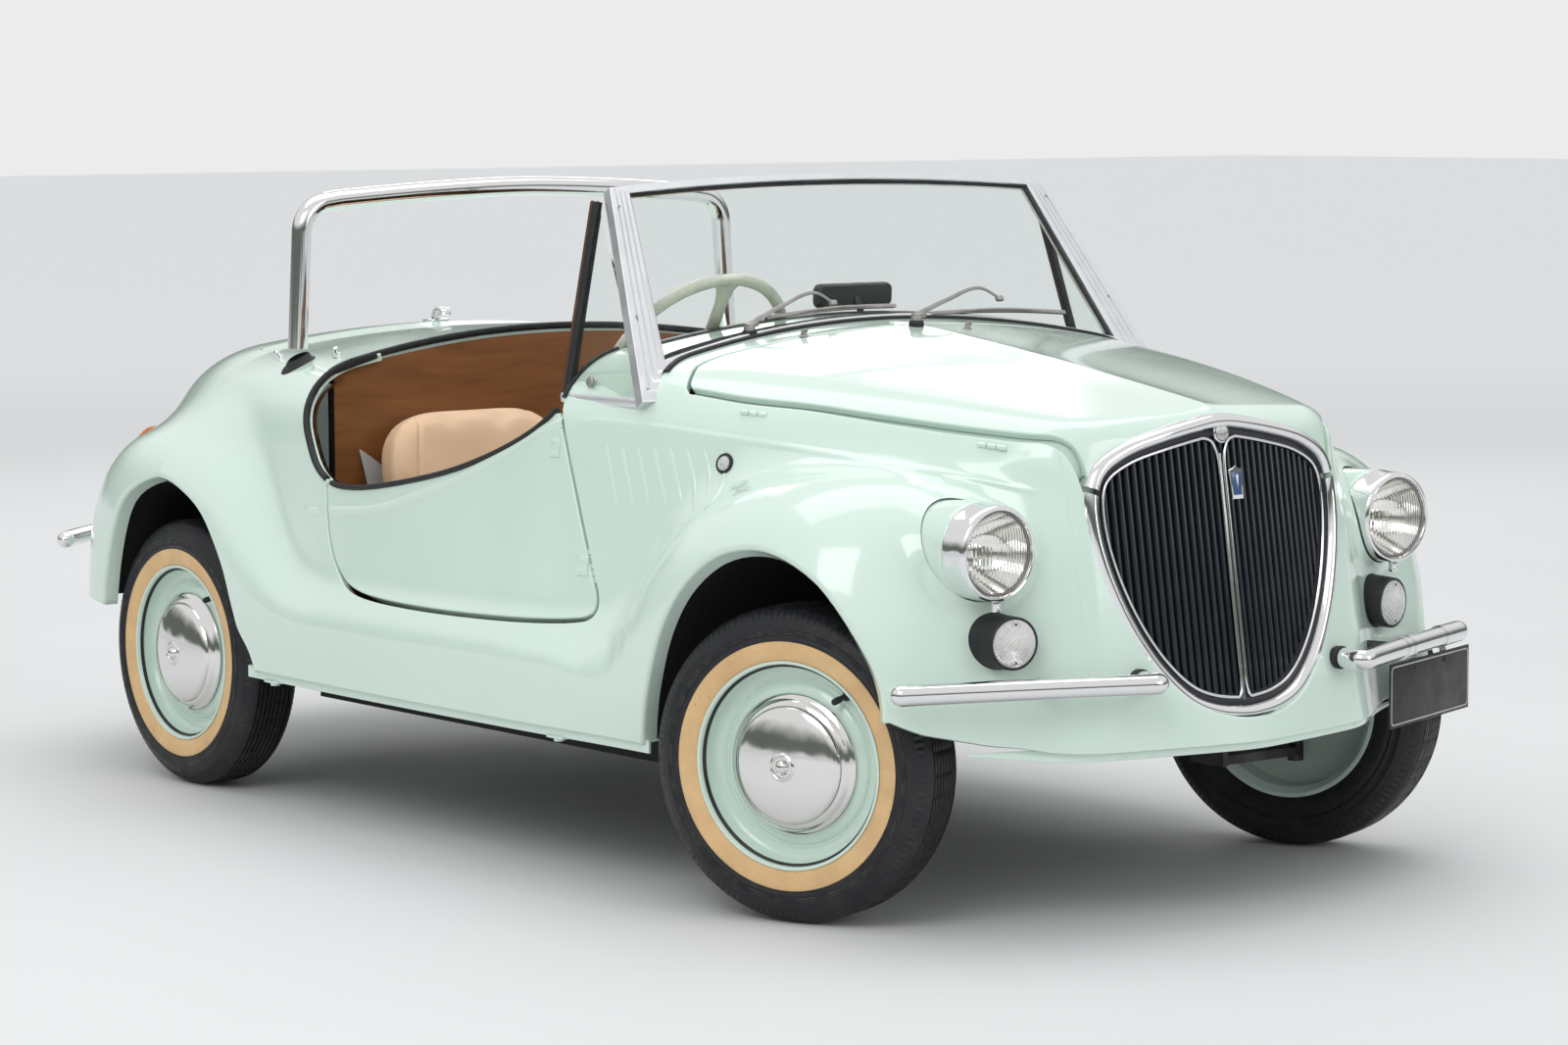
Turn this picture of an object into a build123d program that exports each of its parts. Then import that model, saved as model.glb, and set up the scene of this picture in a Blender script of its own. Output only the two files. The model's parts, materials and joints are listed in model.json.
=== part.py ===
from build123d import *
import math
import os
import numpy as np

# Small open two-seater, rear engine. Millimetres. +X forward, +Y to the car's left, +Z up.
# The origin is on the floor under the middle of the car.

# ---- driving dimensions ----
LENGTH = 3020            # over the chrome bumpers
WIDTH = 1370             # over the sill bulges
HEIGHT = 1180            # floor to the top of the windscreen frame
WHEELBASE = 1840
FRONT_OVERHANG = 490     # front axle to the foremost point
TRACK_FRONT = 1121
TRACK_REAR = 1142
TYRE_DIAMETER = 510
TYRE_WIDTH = 128
RIM_DIAMETER = 305
PARKED_STEER = 21        # the front wheels stand turned this far to the left
KINGPIN_OFFSET = 12      # wheel's middle plane to the kingpin
BODY_BOTTOM = 262        # lower edge of the sills
SKIN = 10                # a body wall with its flanges
DOOR_THICKNESS = 38
LID_THICKNESS = 12
DOOR_GAP = 6
LID_GAP = 6
ROUND = 0.5              # clearance between curved faces that meet
HOOP_TUBE = 38
BUMPER_TUBE = 34
GLASS = 5
FRAME_DEPTH = 22
LAMP_DIAMETER = 152
FLOOR_HEIGHT = 205
FLOOR_PLATE = 12
SEAT_WIDTH = 430
STEERING_WHEEL_RADIUS = 189

HALF = WIDTH / 2
X_FRONT = LENGTH / 2 - FRONT_OVERHANG
X_REAR = X_FRONT - WHEELBASE
TYRE_RADIUS = TYRE_DIAMETER / 2


def front(d):
    """A station d mm ahead of the front axle."""
    return X_FRONT + d


def rear(d):
    """A station d mm ahead of the rear axle."""
    return X_REAR + d


# ---- the body's outer surface, as a smooth field: negative inside, zero on the surface ----
def curve(points):
    """A smooth line through (station, value) points."""
    pts = sorted(points)
    xs = np.array([p[0] for p in pts], float)
    ys = np.array([p[1] for p in pts], float)
    step = np.diff(xs)
    rise = np.diff(ys) / step
    slope = np.empty(len(xs))
    slope[0], slope[-1] = rise[0], rise[-1]
    slope[1:-1] = (rise[:-1] * step[1:] + rise[1:] * step[:-1]) / (step[1:] + step[:-1])

    def value(x):
        x = np.asarray(x, float)
        i = np.clip(np.searchsorted(xs, x) - 1, 0, len(xs) - 2)
        h = xs[i + 1] - xs[i]
        t = (x - xs[i]) / h
        inside = (ys[i] * (1 + 2 * t) * (1 - t) ** 2 + ys[i + 1] * t * t * (3 - 2 * t)
                  + h * (slope[i] * t * (1 - t) ** 2 + slope[i + 1] * t * t * (t - 1)))
        low = ys[0] + slope[0] * (x - xs[0])
        high = ys[-1] + slope[-1] * (x - xs[-1])
        return np.where(x < xs[0], low, np.where(x > xs[-1], high, inside))
    return value


def larger(a, b, r):
    """The larger of two fields, blended over r."""
    h = np.clip(0.5 + 0.5 * (a - b) / r, 0, 1)
    return b * (1 - h) + a * h + r * h * (1 - h)


def smaller(a, b, r):
    return -larger(-a, -b, r)


# half width of the upper body at the belt, as an inset from the half width
belt_inset = curve([
    (front(440), 470), (front(363), 413), (front(270), 360), (front(120), 290), (front(0), 240),
    (front(-180), 177), (front(-380), 125), (front(-548), 95), (front(-780), 82), (front(-980), 79),
    (rear(660), 81), (rear(438), 91), (rear(250), 110), (rear(0), 150), (rear(-240), 215),
    (rear(-440), 290), (rear(-590), 385), (rear(-650), 445)])
# height of the body's centreline
crown = curve([
    (front(470), 788), (front(380), 804), (front(220), 832), (front(0), 868), (front(-220), 899),
    (front(-464), 927), (front(-780), 935), (front(-1080), 915), (rear(440), 880), (rear(250), 876),
    (rear(0), 864)])
# top of the wings over the wheels, and of the sill bulge between them
wing_top = curve([
    (front(420), 690), (front(320), 698), (front(220), 708), (front(100), 720), (front(0), 722),
    (front(-120), 706), (front(-220), 660), (front(-290), 590), (front(-340), 515),
    (front(-380), 460), (front(-430), 425), (front(-500), 412), (front(-680), 408),
    (rear(660), 404), (rear(520), 408), (rear(440), 432), (rear(380), 480), (rear(320), 552),
    (rear(260), 620), (rear(180), 675), (rear(80), 702), (rear(-40), 708), (rear(-140), 698),
    (rear(-240), 670), (rear(-340), 620), (rear(-440), 545), (rear(-540), 450)])
CAMBER = 0.0002          # fall of the top surface to the sides, per mm squared
SIDE_LEAN = 0.11         # the upper sides lean in by this much
BELT_HEIGHT = 780
TAIL_LENGTH = 650        # rear axle to the rearmost panel
TAIL_DROP = 570          # height of the tail's quarter round
TAIL_BASE = 300
NOSE_CREST = 367         # front axle to the nose's crest
NOSE_LEAN = 0.155


def upper_body(x, y, z):
    w = np.abs(y)
    fall = CAMBER * w ** 2
    ridge = np.interp(x, [front(-480), front(370)], [0, 10]) * np.exp(-w / 45)
    top = (z - crown(np.maximum(x, X_REAR)) + fall - ridge) / 1.005
    back = np.minimum(x - X_REAR, 0) / TAIL_LENGTH
    up = np.maximum(z + fall - TAIL_BASE, 0) / TAIL_DROP
    tail = (np.sqrt(back ** 2 + up ** 2) - 1) * 600
    top = np.where(x < X_REAR, tail, top)
    side = w - (HALF - belt_inset(x) + SIDE_LEAN * (BELT_HEIGHT - z))
    side = side + np.where(z > BELT_HEIGHT, 0.0006 * (z - BELT_HEIGHT) ** 2, 0)
    blend = np.interp(x, [rear(-140), rear(460), front(-464), front(360)], [150, 110, 110, 70])
    field = larger(top, side, blend)
    nose = x - (front(NOSE_CREST) + NOSE_LEAN * (802 - z) - 26 * (w / 240) ** 2)
    return larger(field, nose, 40)


def wings(x, y, z):
    w = np.abs(y)
    side = w - (HALF - 3 - 0.0006 * (z - 430) ** 2)
    slope = (wing_top(x + 1) - wing_top(x - 1)) / 2
    top = (z - wing_top(x)) / np.sqrt(1 + slope ** 2)
    face = (x - (front(447) - 0.325 * np.sqrt(w ** 2 + 40 ** 2) - 0.19 * (z - 467))) / 1.07
    blend = np.interp(x, [rear(-440), rear(160), rear(460), front(-530), front(-280), front(120)],
                      [200, 150, 60, 60, 150, 190])
    field = larger(top, side, blend)
    field = larger(field, face, 150)
    reach = (TAIL_LENGTH + 5) * np.sqrt(np.clip(1 - (np.maximum(z - TAIL_BASE, 0) / TAIL_DROP) ** 2,
                                                0.02, 1))
    plan = (np.abs(np.minimum(x - X_REAR, 0)) / reach) ** 2.4 + (w / HALF) ** 2.4
    tail = (plan ** (1 / 2.4) - 1) * 600
    return np.where(x < X_REAR, larger(field, tail, 60), field)


def body_field(x, y, z):
    x, y, z = (np.asarray(v, float) for v in (x, y, z))
    return smaller(upper_body(x, y, z), wings(x, y, z), 70)


# ---- the skin as spline faces, found along rays that leave the middle of the car ----
RAY_HEIGHT = 480
SPLINE_TOLERANCE = 0.5
THICK = 50


def eased(v, low, high):
    """0 below low, 1 above high, and a smooth rise between."""
    t = np.clip((v - low) / (high - low), 0, 1)
    return t * t * (3 - 2 * t)


def side_rays(stations, heights):
    """Rays to the right side. Station 0..1 runs from tail to nose and turns round both ends;
    a height under RAY_HEIGHT is a level ray, and above it the rays fan out to the roof line."""
    s, h = np.meshgrid(stations, heights, indexing="ij")
    x0 = np.interp(s, [0, 1], [rear(-150), front(50)])
    x0 = np.clip(x0, rear(0), front(-60))
    turn = np.radians(90 * (eased(s, 0.62, 1.05) - eased(-s, -0.38, 0.05)))
    z0 = np.minimum(h, RAY_HEIGHT)
    lift = np.radians(np.maximum(h - RAY_HEIGHT, 0) / 6)
    start = np.stack([x0, 0 * x0, z0], -1)
    way = np.stack([np.sin(turn) * np.cos(lift), -np.cos(turn) * np.cos(lift), np.sin(lift)], -1)
    return start, way


def top_rays(stations, widths, taper=np.ones_like):
    """Rays to the top, in upright planes; they lean forward over the nose and back over the tail."""
    s, w = np.meshgrid(stations, widths, indexing="ij")
    x0 = np.clip(s, rear(-60), front(240))
    w = w * taper(s)
    lean = np.radians((s - x0) / 6)
    start = np.stack([x0, w, RAY_HEIGHT + 0 * x0], -1)
    way = np.stack([np.sin(lean), 0 * lean, np.cos(lean)], -1)
    return start, way


def nose_rays(widths, heights):
    """Level rays straight ahead."""
    w, h = np.meshgrid(widths, heights, indexing="ij")
    start = np.stack([front(-60) + 0 * w, w, h], -1)
    return start, np.stack([1 + 0 * w, 0 * w, 0 * w], -1)


def surface_points(rays, reach=1300):
    start, way = rays
    near = np.full(start.shape[:2], 20.0)
    far = np.full(start.shape[:2], float(reach))
    for _ in range(36):
        mid = (near + far) / 2
        p = start + mid[..., None] * way
        out = body_field(p[..., 0], p[..., 1], p[..., 2]) > 0
        far = np.where(out, mid, far)
        near = np.where(out, near, mid)
    return start + near[..., None] * way


def outward(points):
    """Unit vectors square to the body's surface."""
    parts = []
    for axis in range(3):
        shift = np.zeros(3)
        shift[axis] = 1.0
        a = points + shift
        b = points - shift
        parts.append(body_field(a[..., 0], a[..., 1], a[..., 2])
                     - body_field(b[..., 0], b[..., 1], b[..., 2]))
    n = np.stack(parts, -1)
    return n / np.linalg.norm(n, axis=-1, keepdims=True)


def spline_face(points):
    rows = [[Vector(*map(float, p)) for p in row] for row in points]
    return Face.make_surface_from_array_of_points(rows, tol=SPLINE_TOLERANCE, min_deg=3, max_deg=3)


def near_edge(face, a, b):
    """The face's border edge that runs between points a and b."""
    def miss(e):
        p, q = e.position_at(0), e.position_at(1)
        return min((p - a).length + (q - b).length, (p - b).length + (q - a).length)
    return min(face.edges(), key=miss)


def skin(rays, thickness, lift=0.0):
    """A closed sheet of the body's skin: its outer face lies lift outside the body's surface.
    A thick one is built back along the rays, which don't cross, so it can't fold in a tight bend."""
    base = surface_points(rays)
    n = outward(base) if thickness < THICK else rays[1]
    outer = base + lift * n
    inner = base - (thickness - lift) * n
    shell = [spline_face(outer), spline_face(inner)]
    corner = [(0, 0), (-1, 0), (-1, -1), (0, -1), (0, 0)]
    for a, b in zip(corner, corner[1:]):
        e_out = near_edge(shell[0], Vector(*outer[a]), Vector(*outer[b]))
        e_in = near_edge(shell[1], Vector(*inner[a]), Vector(*inner[b]))
        shell.append(Face.make_surface_from_curves(e_out, e_in))
    solid = Solid(Shell(shell))
    return solid if solid.volume > 0 else Solid(Shell([-f for f in shell]))


def surface_at(start, way):
    """Where one ray meets the body's surface."""
    p = surface_points((np.array([[start]], float), np.array([[way]], float)))
    return p[0, 0]


# ---- solids from outlines ----
def prism(points, way):
    return Solid.extrude(Face(Wire.make_polygon([Vector(*p) for p in points], close=True)), way)


def side_prism(points, y0, y1):
    """The (x, z) outline, from y0 to y1."""
    return prism([(x, y0, z) for x, z in points], Vector(0, y1 - y0, 0))


def plan_prism(points, z0, z1):
    """The (x, y) outline, from z0 to z1."""
    return prism([(x, y, z0) for x, y in points], Vector(0, 0, z1 - z0))


def block(x0, x1, y0, y1, z0, z1):
    return Pos((x0 + x1) / 2, (y0 + y1) / 2, (z0 + z1) / 2) * Box(x1 - x0, y1 - y0, z1 - z0)


def rod(a, b, radius):
    a, b = Vector(*a), Vector(*b)
    return Plane(a, z_dir=b - a) * Cylinder(radius, (b - a).length,
                                            align=(Align.CENTER, Align.CENTER, Align.MIN))


def mirrored(shape):
    return shape.mirror(Plane.XZ)


def both(shape):
    return [shape, mirrored(shape)]


def one(shape):
    """The largest solid of a cut, for pieces that must stay whole."""
    return max(shape.solids(), key=lambda s: s.volume)


os.makedirs("parts", exist_ok=True)


def write(name, *shapes):
    solids = [s for shape in shapes for s in shape.solids()]
    export_step(Compound(children=solids) if len(solids) > 1 else solids[0], f"parts/{name}.step")
    print(f"{name}: {len(solids)}", flush=True)


# ---- outlines of the panels ----
FAR = 1000
DOOR_EDGE = [  # the door's free outline, from the top of its front edge down and round to the rim
    (front(-608), 799), (front(-586), 751), (front(-568), 709), (front(-503), 553),
    (front(-487), 514), (front(-474), 483), (front(-475), 456), (front(-513), 445),
    (rear(682), 438), (rear(613), 465), (rear(570), 520), (rear(542), 615)]
RIM = [  # the dip of the cockpit's side, from the foot of the quarter glass back and up
    (front(-600), 809), (front(-607), 793), (front(-643), 763), (front(-720), 725),
    (front(-857), 678), (rear(836), 645), (rear(645), 618), (rear(558), 621), (rear(500), 647),
    (rear(458), 698), (rear(433), 741), (rear(421), 785), (rear(415), 840)]
ARCH_FRONT = [(front(-290), 200), (front(-269), 284), (front(-237), 378), (front(-202), 461),
              (front(-156), 529), (front(-91), 581), (front(-11), 603), (front(76), 597),
              (front(145), 566), (front(185), 526), (front(218), 474), (front(241), 422),
              (front(255), 360), (front(265), 200)]
ARCH_REAR = [(rear(385), 200), (rear(352), 291), (rear(317), 332), (rear(301), 369),
             (rear(270), 442), (rear(228), 497), (rear(182), 538), (rear(116), 571),
             (rear(5), 597), (rear(-82), 578), (rear(-141), 543), (rear(-179), 479),
             (rear(-233), 334), (rear(-260), 200)]
SHUT_LINE = [  # plan of the lid's right side, from its rear corner to the nose
    (front(-337), -534), (front(-216), -508), (front(-86), -468), (front(38), -427),
    (front(202), -361), (front(291), -316), (front(352), -271)]
LID_REAR = front(-385)
LID_SPLIT_HEIGHT = 700   # the nose's chrome splits here between the lid and the body
NOSE_SEAM = 300
CENTRE_SEAM = 430        # rear deck to rear quarter
FRONT_SEAM = front(-420)  # side of the car to the front wing, under the door's front corner
SCUTTLE_SEAM = 470
COWL_REAR = front(-470)
COCKPIT_REAR = rear(430)


GRILLE = [  # right half of the chrome surround's outer edge, from the crest down
    (0, 806), (-118, 789), (-198, 768), (-250, 738), (-272, 700), (-276, 640), (-262, 562),
    (-228, 474), (-180, 400), (-125, 350), (-70, 328), (0, 320)]
SURROUND = 24            # width of the chrome band seen from the front
GRILLE_BACK = front(300)
GRILLE_AHEAD = front(560)


def shield(inset):
    """The grille's outline drawn in by inset, as a solid that reaches through the nose."""
    pts = np.array(GRILLE, float)
    way = np.gradient(pts, axis=0)
    way[0] = (-1, 0)
    way[-1] = (1, 0)
    way /= np.linalg.norm(way, axis=1)[:, None]
    pts = pts + inset * np.stack([-way[:, 1], way[:, 0]], -1)
    halves = []
    for side in (1, -1):
        line = [Vector(GRILLE_BACK, side * y, z) for y, z in pts]
        halves.append(Edge.make_spline(line, tangents=[Vector(0, -side, 0), Vector(0, side, 0)]))
    return Solid.extrude(Face(Wire(halves)), Vector(GRILLE_AHEAD - GRILLE_BACK, 0, 0))


def grown(outline_face, amount):
    return offset(outline_face, amount=amount, kind=Kind.ARC).faces()[0]


def side_face(points):
    return Face(Wire.make_polygon([Vector(x, -FAR, z) for x, z in points], close=True))


def side_slab(face, y0=-FAR, y1=0):
    return Pos(0, y0 + FAR, 0) * Solid.extrude(face, Vector(0, y1 - y0, 0))


# ---- skins of the whole right side and of the top, cut into panels below ----
stations = np.linspace(0.015, 0.985, 60)
heights = np.linspace(BODY_BOTTOM - 40, RAY_HEIGHT + 6 * 58, 30)
side_skin = skin(side_rays(stations, heights), SKIN)
top_widths = np.linspace(-620, 620, 31)

door_face = side_face(DOOR_EDGE + [p for p in reversed(RIM) if rear(550) < p[0] < front(-602)])
door_opening = side_slab(grown(door_face, DOOR_GAP))
cockpit = side_prism(RIM + [(rear(415), FAR), (front(-600), FAR)], -FAR, FAR)
deck_arc = Wire([
    Edge.make_three_point_arc(Vector(rear(415), -CENTRE_SEAM - 60, 780), Vector(rear(370), 0, 780),
                              Vector(rear(415), CENTRE_SEAM + 60, 780)),
    *Wire.make_polygon([Vector(rear(415), CENTRE_SEAM + 60, 780),
                        Vector(rear(700), CENTRE_SEAM + 60, 780),
                        Vector(rear(700), -CENTRE_SEAM - 60, 780),
                        Vector(rear(415), -CENTRE_SEAM - 60, 780)], close=False).edges()])
deck_cut = Solid.extrude(Face(deck_arc), Vector(0, 0, 300))

lid_half = SHUT_LINE + [(front(372), -262), (front(440), -262)]
lid_outline = lid_half + [(x, -y) for x, y in reversed(lid_half)]
lid_zone = plan_prism([(LID_REAR, -SCUTTLE_SEAM)] + lid_outline + [(LID_REAR, SCUTTLE_SEAM)],
                      LID_SPLIT_HEIGHT, FAR)
grille_zone = shield(0)
lid_chrome_zone = shield(-LID_GAP) & block(0, LENGTH, -FAR, FAR, LID_SPLIT_HEIGHT - LID_GAP / 2, FAR)
below_front = side_prism([(front(250), 0), (front(250), 362), (front(330), 306), (front(372), 288),
                          (front(700), 288), (front(700), 0)], -FAR, FAR)
below_sills = block(-LENGTH, front(252), -FAR, FAR, 0, BODY_BOTTOM)
below_tail = block(-LENGTH, rear(-200), -FAR, FAR, 0, 332)
arch_front = side_prism(ARCH_FRONT, -FAR, -380)
arch_rear = side_prism(ARCH_REAR, -FAR, -380)

# right wing, from the door's front edge to the nose seam
wing = side_skin & side_prism([(front(-640), 830), (front(-640), 470), (FRONT_SEAM, 440),
                               (FRONT_SEAM, 0), (FAR * 2, 0), (FAR * 2, FAR), (front(-640), FAR)],
                              -FAR, -NOSE_SEAM)
wing = wing - [arch_front, below_front, below_sills, door_opening, lid_zone, grille_zone,
               lid_chrome_zone]
wing = wing - [block(front(-640), front(-384), -SCUTTLE_SEAM, 0, 0, FAR), cockpit]
wing = one(wing)
write("front_wing_right", wing)
write("front_wing_left", mirrored(wing))

side = side_skin & side_prism([(-LENGTH, 0), (FRONT_SEAM, 0), (FRONT_SEAM, 440), (front(-640), 470),
                               (front(-640), FAR), (-LENGTH, FAR)], -FAR, -CENTRE_SEAM)
side = one(side - [arch_rear, below_sills, below_tail, door_opening, cockpit])
write("body_side_right", side)
write("body_side_left", mirrored(side))

door_skin = skin(side_rays(np.linspace(0.25, 0.72, 34), np.linspace(400, RAY_HEIGHT + 6 * 36, 20)),
                 DOOR_THICKNESS)
door = one(door_skin & side_slab(door_face))
write("door_right", door)
write("door_left", mirrored(door))

# top panels
deck_stations = np.linspace(rear(-60) - 6 * 112, rear(520), 40)
deck_widths = np.linspace(-470, 470, 25)
deck = skin(top_rays(deck_stations, deck_widths), SKIN)
deck = deck & block(-LENGTH, LENGTH, -CENTRE_SEAM, CENTRE_SEAM, 0, FAR)
LID_FOOT = 400
ENGINE_LID = [(-240, LID_FOOT), (240, LID_FOOT), (268, 520), (262, 700), (220, 780), (-220, 780),
              (-262, 700), (-268, 520)]
engine_lid_face = Face(Wire.make_polygon([Vector(-LENGTH, y, z) for y, z in ENGINE_LID], close=True))
engine_hole = Solid.extrude(grown(engine_lid_face, LID_GAP), Vector(LENGTH + rear(-150), 0, 0))
engine_lid = one(deck & Solid.extrude(engine_lid_face, Vector(LENGTH + rear(-150), 0, 0)))
deck = one(deck - [deck_cut, below_tail, engine_hole])
write("rear_deck", deck)
write("engine_lid", engine_lid)

cowl_skin = skin(top_rays(np.linspace(front(-640), front(-330), 14), top_widths), SKIN)
cowl = one(cowl_skin & plan_prism([(front(-570), -SCUTTLE_SEAM), (front(-384), -SCUTTLE_SEAM),
                                   (LID_REAR, -SCUTTLE_SEAM), (LID_REAR, SCUTTLE_SEAM),
                                   (front(-570), SCUTTLE_SEAM)], 600, FAR))
write("cowl", cowl)


def lid_taper(s):
    """The lid's sheet narrows to the nose like its shut lines."""
    return np.interp(s, [front(-400), front(240), front(600)], [1.0, 0.66, 0.55])


lid_skin = skin(top_rays(np.linspace(front(-410), front(240) + 6 * 55, 36),
                         np.linspace(-575, 575, 27), lid_taper), LID_THICKNESS)
lid_face = lid_zone.faces().sort_by(Axis.Z)[-1]
lid_shape = Solid.extrude(grown(lid_face, -LID_GAP), Vector(0, 0, -(FAR - LID_SPLIT_HEIGHT - 3)))
front_lid = one((lid_skin & lid_shape) - grille_zone)
write("front_lid", front_lid)

nose_skin = skin(nose_rays(np.linspace(-330, 330, 25), np.linspace(250, 775, 25)), SKIN)
nose = nose_skin & block(0, LENGTH, -NOSE_SEAM, NOSE_SEAM, 0, LID_SPLIT_HEIGHT - 3)
nose = one(nose - [grille_zone, below_front])
write("nose_panel", nose)


def nose_slab(back, ahead):
    """A plate that follows the nose's bow and lean, from back to ahead of its surface."""
    low, high = 300, 840
    ys = np.linspace(-310, 310, 13)
    base = [front(NOSE_CREST) + NOSE_LEAN * (802 - low) - 26 * (y / 240) ** 2 for y in ys]
    line = [(x + ahead, y) for x, y in zip(base, ys)]
    line = line + [(x + back, y) for x, y in reversed(list(zip(base, ys)))]
    return prism([(x, y, low) for x, y in line], Vector(-NOSE_LEAN * (high - low), 0, high - low))


BAND = 14                # half the depth of the chrome band
ring = (nose_slab(-BAND, BAND) & grille_zone) - shield(SURROUND)
surround = one(ring & block(0, LENGTH, -FAR, FAR, 0, LID_SPLIT_HEIGHT - LID_GAP / 2))
lid_chrome = one(ring & block(0, LENGTH, -FAR, FAR, LID_SPLIT_HEIGHT + LID_GAP / 2, FAR))
write("grille_surround", surround)
write("lid_chrome", lid_chrome)

# ---- cores: thick sheets that seat outside fittings on the skin without overlapping it ----
CORE = 170
flank_core = skin(side_rays(stations, heights), CORE, ROUND)
cowl_core = skin(top_rays(np.linspace(front(-640), front(-330), 14), top_widths), CORE, ROUND)
nose_core = skin(nose_rays(np.linspace(-330, 330, 25), np.linspace(250, 775, 25)), CORE, ROUND)
tail_core = skin(top_rays(deck_stations, deck_widths), CORE, ROUND)
cowl_above = skin(top_rays(np.linspace(front(-660), front(-330), 14), top_widths),
                  120, lift=120 - SKIN - ROUND)

# ---- grille mesh: upright slats in the shield ----
SLATS = 34
SLAT_GAP = 8
SLAT_DEPTH = 8
MESH_WIDTH = 500
mesh = nose_slab(-BAND - SLAT_DEPTH, -BAND) & shield(SURROUND / 3)
pitch = MESH_WIDTH / SLATS
slots = [block(0, LENGTH, y - SLAT_GAP / 2, y + SLAT_GAP / 2, 0, FAR)
         for y in (pitch * (i + 0.5 - SLATS / 2) for i in range(SLATS))]
mesh = mesh & block(0, LENGTH, -FAR, FAR, 0, LID_SPLIT_HEIGHT - LID_GAP / 2)
write("grille_slats", one(mesh - (Compound(children=slots) & shield(SURROUND * 3 / 2))))

# ---- lamps ----
LAMP_PLACE = (front(335), 442, 608)
POD_DIAMETER = 158
INDICATOR_PLACE = (front(342), 421, 467)


def along_x(x0, x1, y, z, radius):
    return rod((x0, y, z), (x1, y, z), radius)


lx, ly, lz = LAMP_PLACE
pod = along_x(front(150), lx - 12, -ly, lz, POD_DIAMETER / 2) - flank_core
pod = one(pod & block(front(200), LENGTH, -FAR, 0, 0, FAR))
write("lamp_pods", *both(pod))
RING_DEPTH = 20
DOME_RISE = 24
ring_back, ring_front = lx - 12, lx - 12 + RING_DEPTH
rim = LAMP_DIAMETER / 2
lens_rim = rim - 5
lamp_half = [(ring_back, 0), (ring_back, rim), (ring_front, rim), (ring_front, lens_rim)]
lamp_half += [(ring_front + DOME_RISE * math.sin(a), lens_rim * math.cos(a))
              for a in np.radians([15, 30, 45, 60, 75])]
lamp_half += [(ring_front + DOME_RISE, 0)]
lamp_face = Face(Wire.make_polygon([Vector(x, r, 0) for x, r in lamp_half], close=True))
headlamp = Pos(0, -ly, lz) * Solid.revolve(lamp_face, 360, Axis.X)
write("headlamps", *both(headlamp))
ix, iy, iz = INDICATOR_PLACE
indicator = along_x(front(220), ix + 6, -iy, iz, 38) + along_x(ix + 6, ix + 26, -iy, iz, 30)
indicator = one(indicator - flank_core)
write("indicators", *both(indicator))

# ---- chrome quarter bumpers ----
BUMPER_HEIGHT = 399
BUMPER_STANDOFF = 42
TAIL_BUMPER_HEIGHT = 436


def bumper_point(x0, z, angle):
    """A point on the bumper's line, off the skin, on a level ray at this angle from +X."""
    a = math.radians(angle)
    p = surface_at((x0, 0, z), (math.cos(a), -math.sin(a), 0))
    n = outward(p)
    n[2] = 0
    return Vector(*(p + (BUMPER_STANDOFF + BUMPER_TUBE / 2) * n / np.linalg.norm(n)))


def quarter_bumper(inner, middle, outer, cores):
    bar = Edge.make_three_point_arc(inner, middle, outer)
    tube = Solid.sweep(Face(Wire([Plane(inner, z_dir=bar.tangent_at(0)).location
                                  * Edge.make_circle(BUMPER_TUBE / 2)])), bar)
    ends = [Pos(*outer) * Sphere(BUMPER_TUBE / 2), Pos(*inner) * Sphere(BUMPER_TUBE / 2)]
    inward = Vector(-1 if inner.X > 0 else 1, 0, 0)
    stay = rod(inner, inner + inward * 90, BUMPER_TUBE / 2)
    post = rod(middle, middle - (middle - Vector(0, 0, middle.Z)).normalized() * 90, 10)
    return one((Part() + tube + ends + [stay, post]) - cores)


front_bar = quarter_bumper(Vector(LENGTH / 2 - BUMPER_TUBE / 2, -228, BUMPER_HEIGHT),
                           bumper_point(front(0), BUMPER_HEIGHT, 44),
                           bumper_point(front(0), BUMPER_HEIGHT, 66),
                           [flank_core, nose_core, surround])
rear_bar = quarter_bumper(Vector(-LENGTH / 2 + BUMPER_TUBE / 2, -300, TAIL_BUMPER_HEIGHT),
                          bumper_point(rear(-100), TAIL_BUMPER_HEIGHT, 180 - 42),
                          bumper_point(rear(-100), TAIL_BUMPER_HEIGHT, 180 - 60),
                          [flank_core, tail_core])
write("bumpers", *both(front_bar), *both(rear_bar))

LAMP_BEARING = math.radians(63)
spot = surface_at((rear(-100), 0, 622), (-math.cos(LAMP_BEARING), -math.sin(LAMP_BEARING), 0))
lamp_way = Vector(*outward(spot))
tail_lamp = Plane(Vector(*spot), x_dir=(0, 0, 1), z_dir=lamp_way) * Box(118, 52, 50)
write("tail_lamps", *both(one(tail_lamp - flank_core)))

# ---- windscreen ----
SCREEN_BASE = Vector(front(-464), 0, 927)
RAKE = math.radians(30.5)
screen_plane = Plane(SCREEN_BASE, x_dir=(0, 1, 0), z_dir=(math.cos(RAKE), 0, math.sin(RAKE)))
SCREEN_TOP = (HEIGHT - SCREEN_BASE.Z - FRAME_DEPTH / 2 * math.sin(RAKE)) / math.cos(RAKE)
HEADER = 18
CORNER_FALL = 20         # the header's corners are this much lower than its middle
FOOT = -142
TOP_HALF = 468
FOOT_HALF = 590


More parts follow.
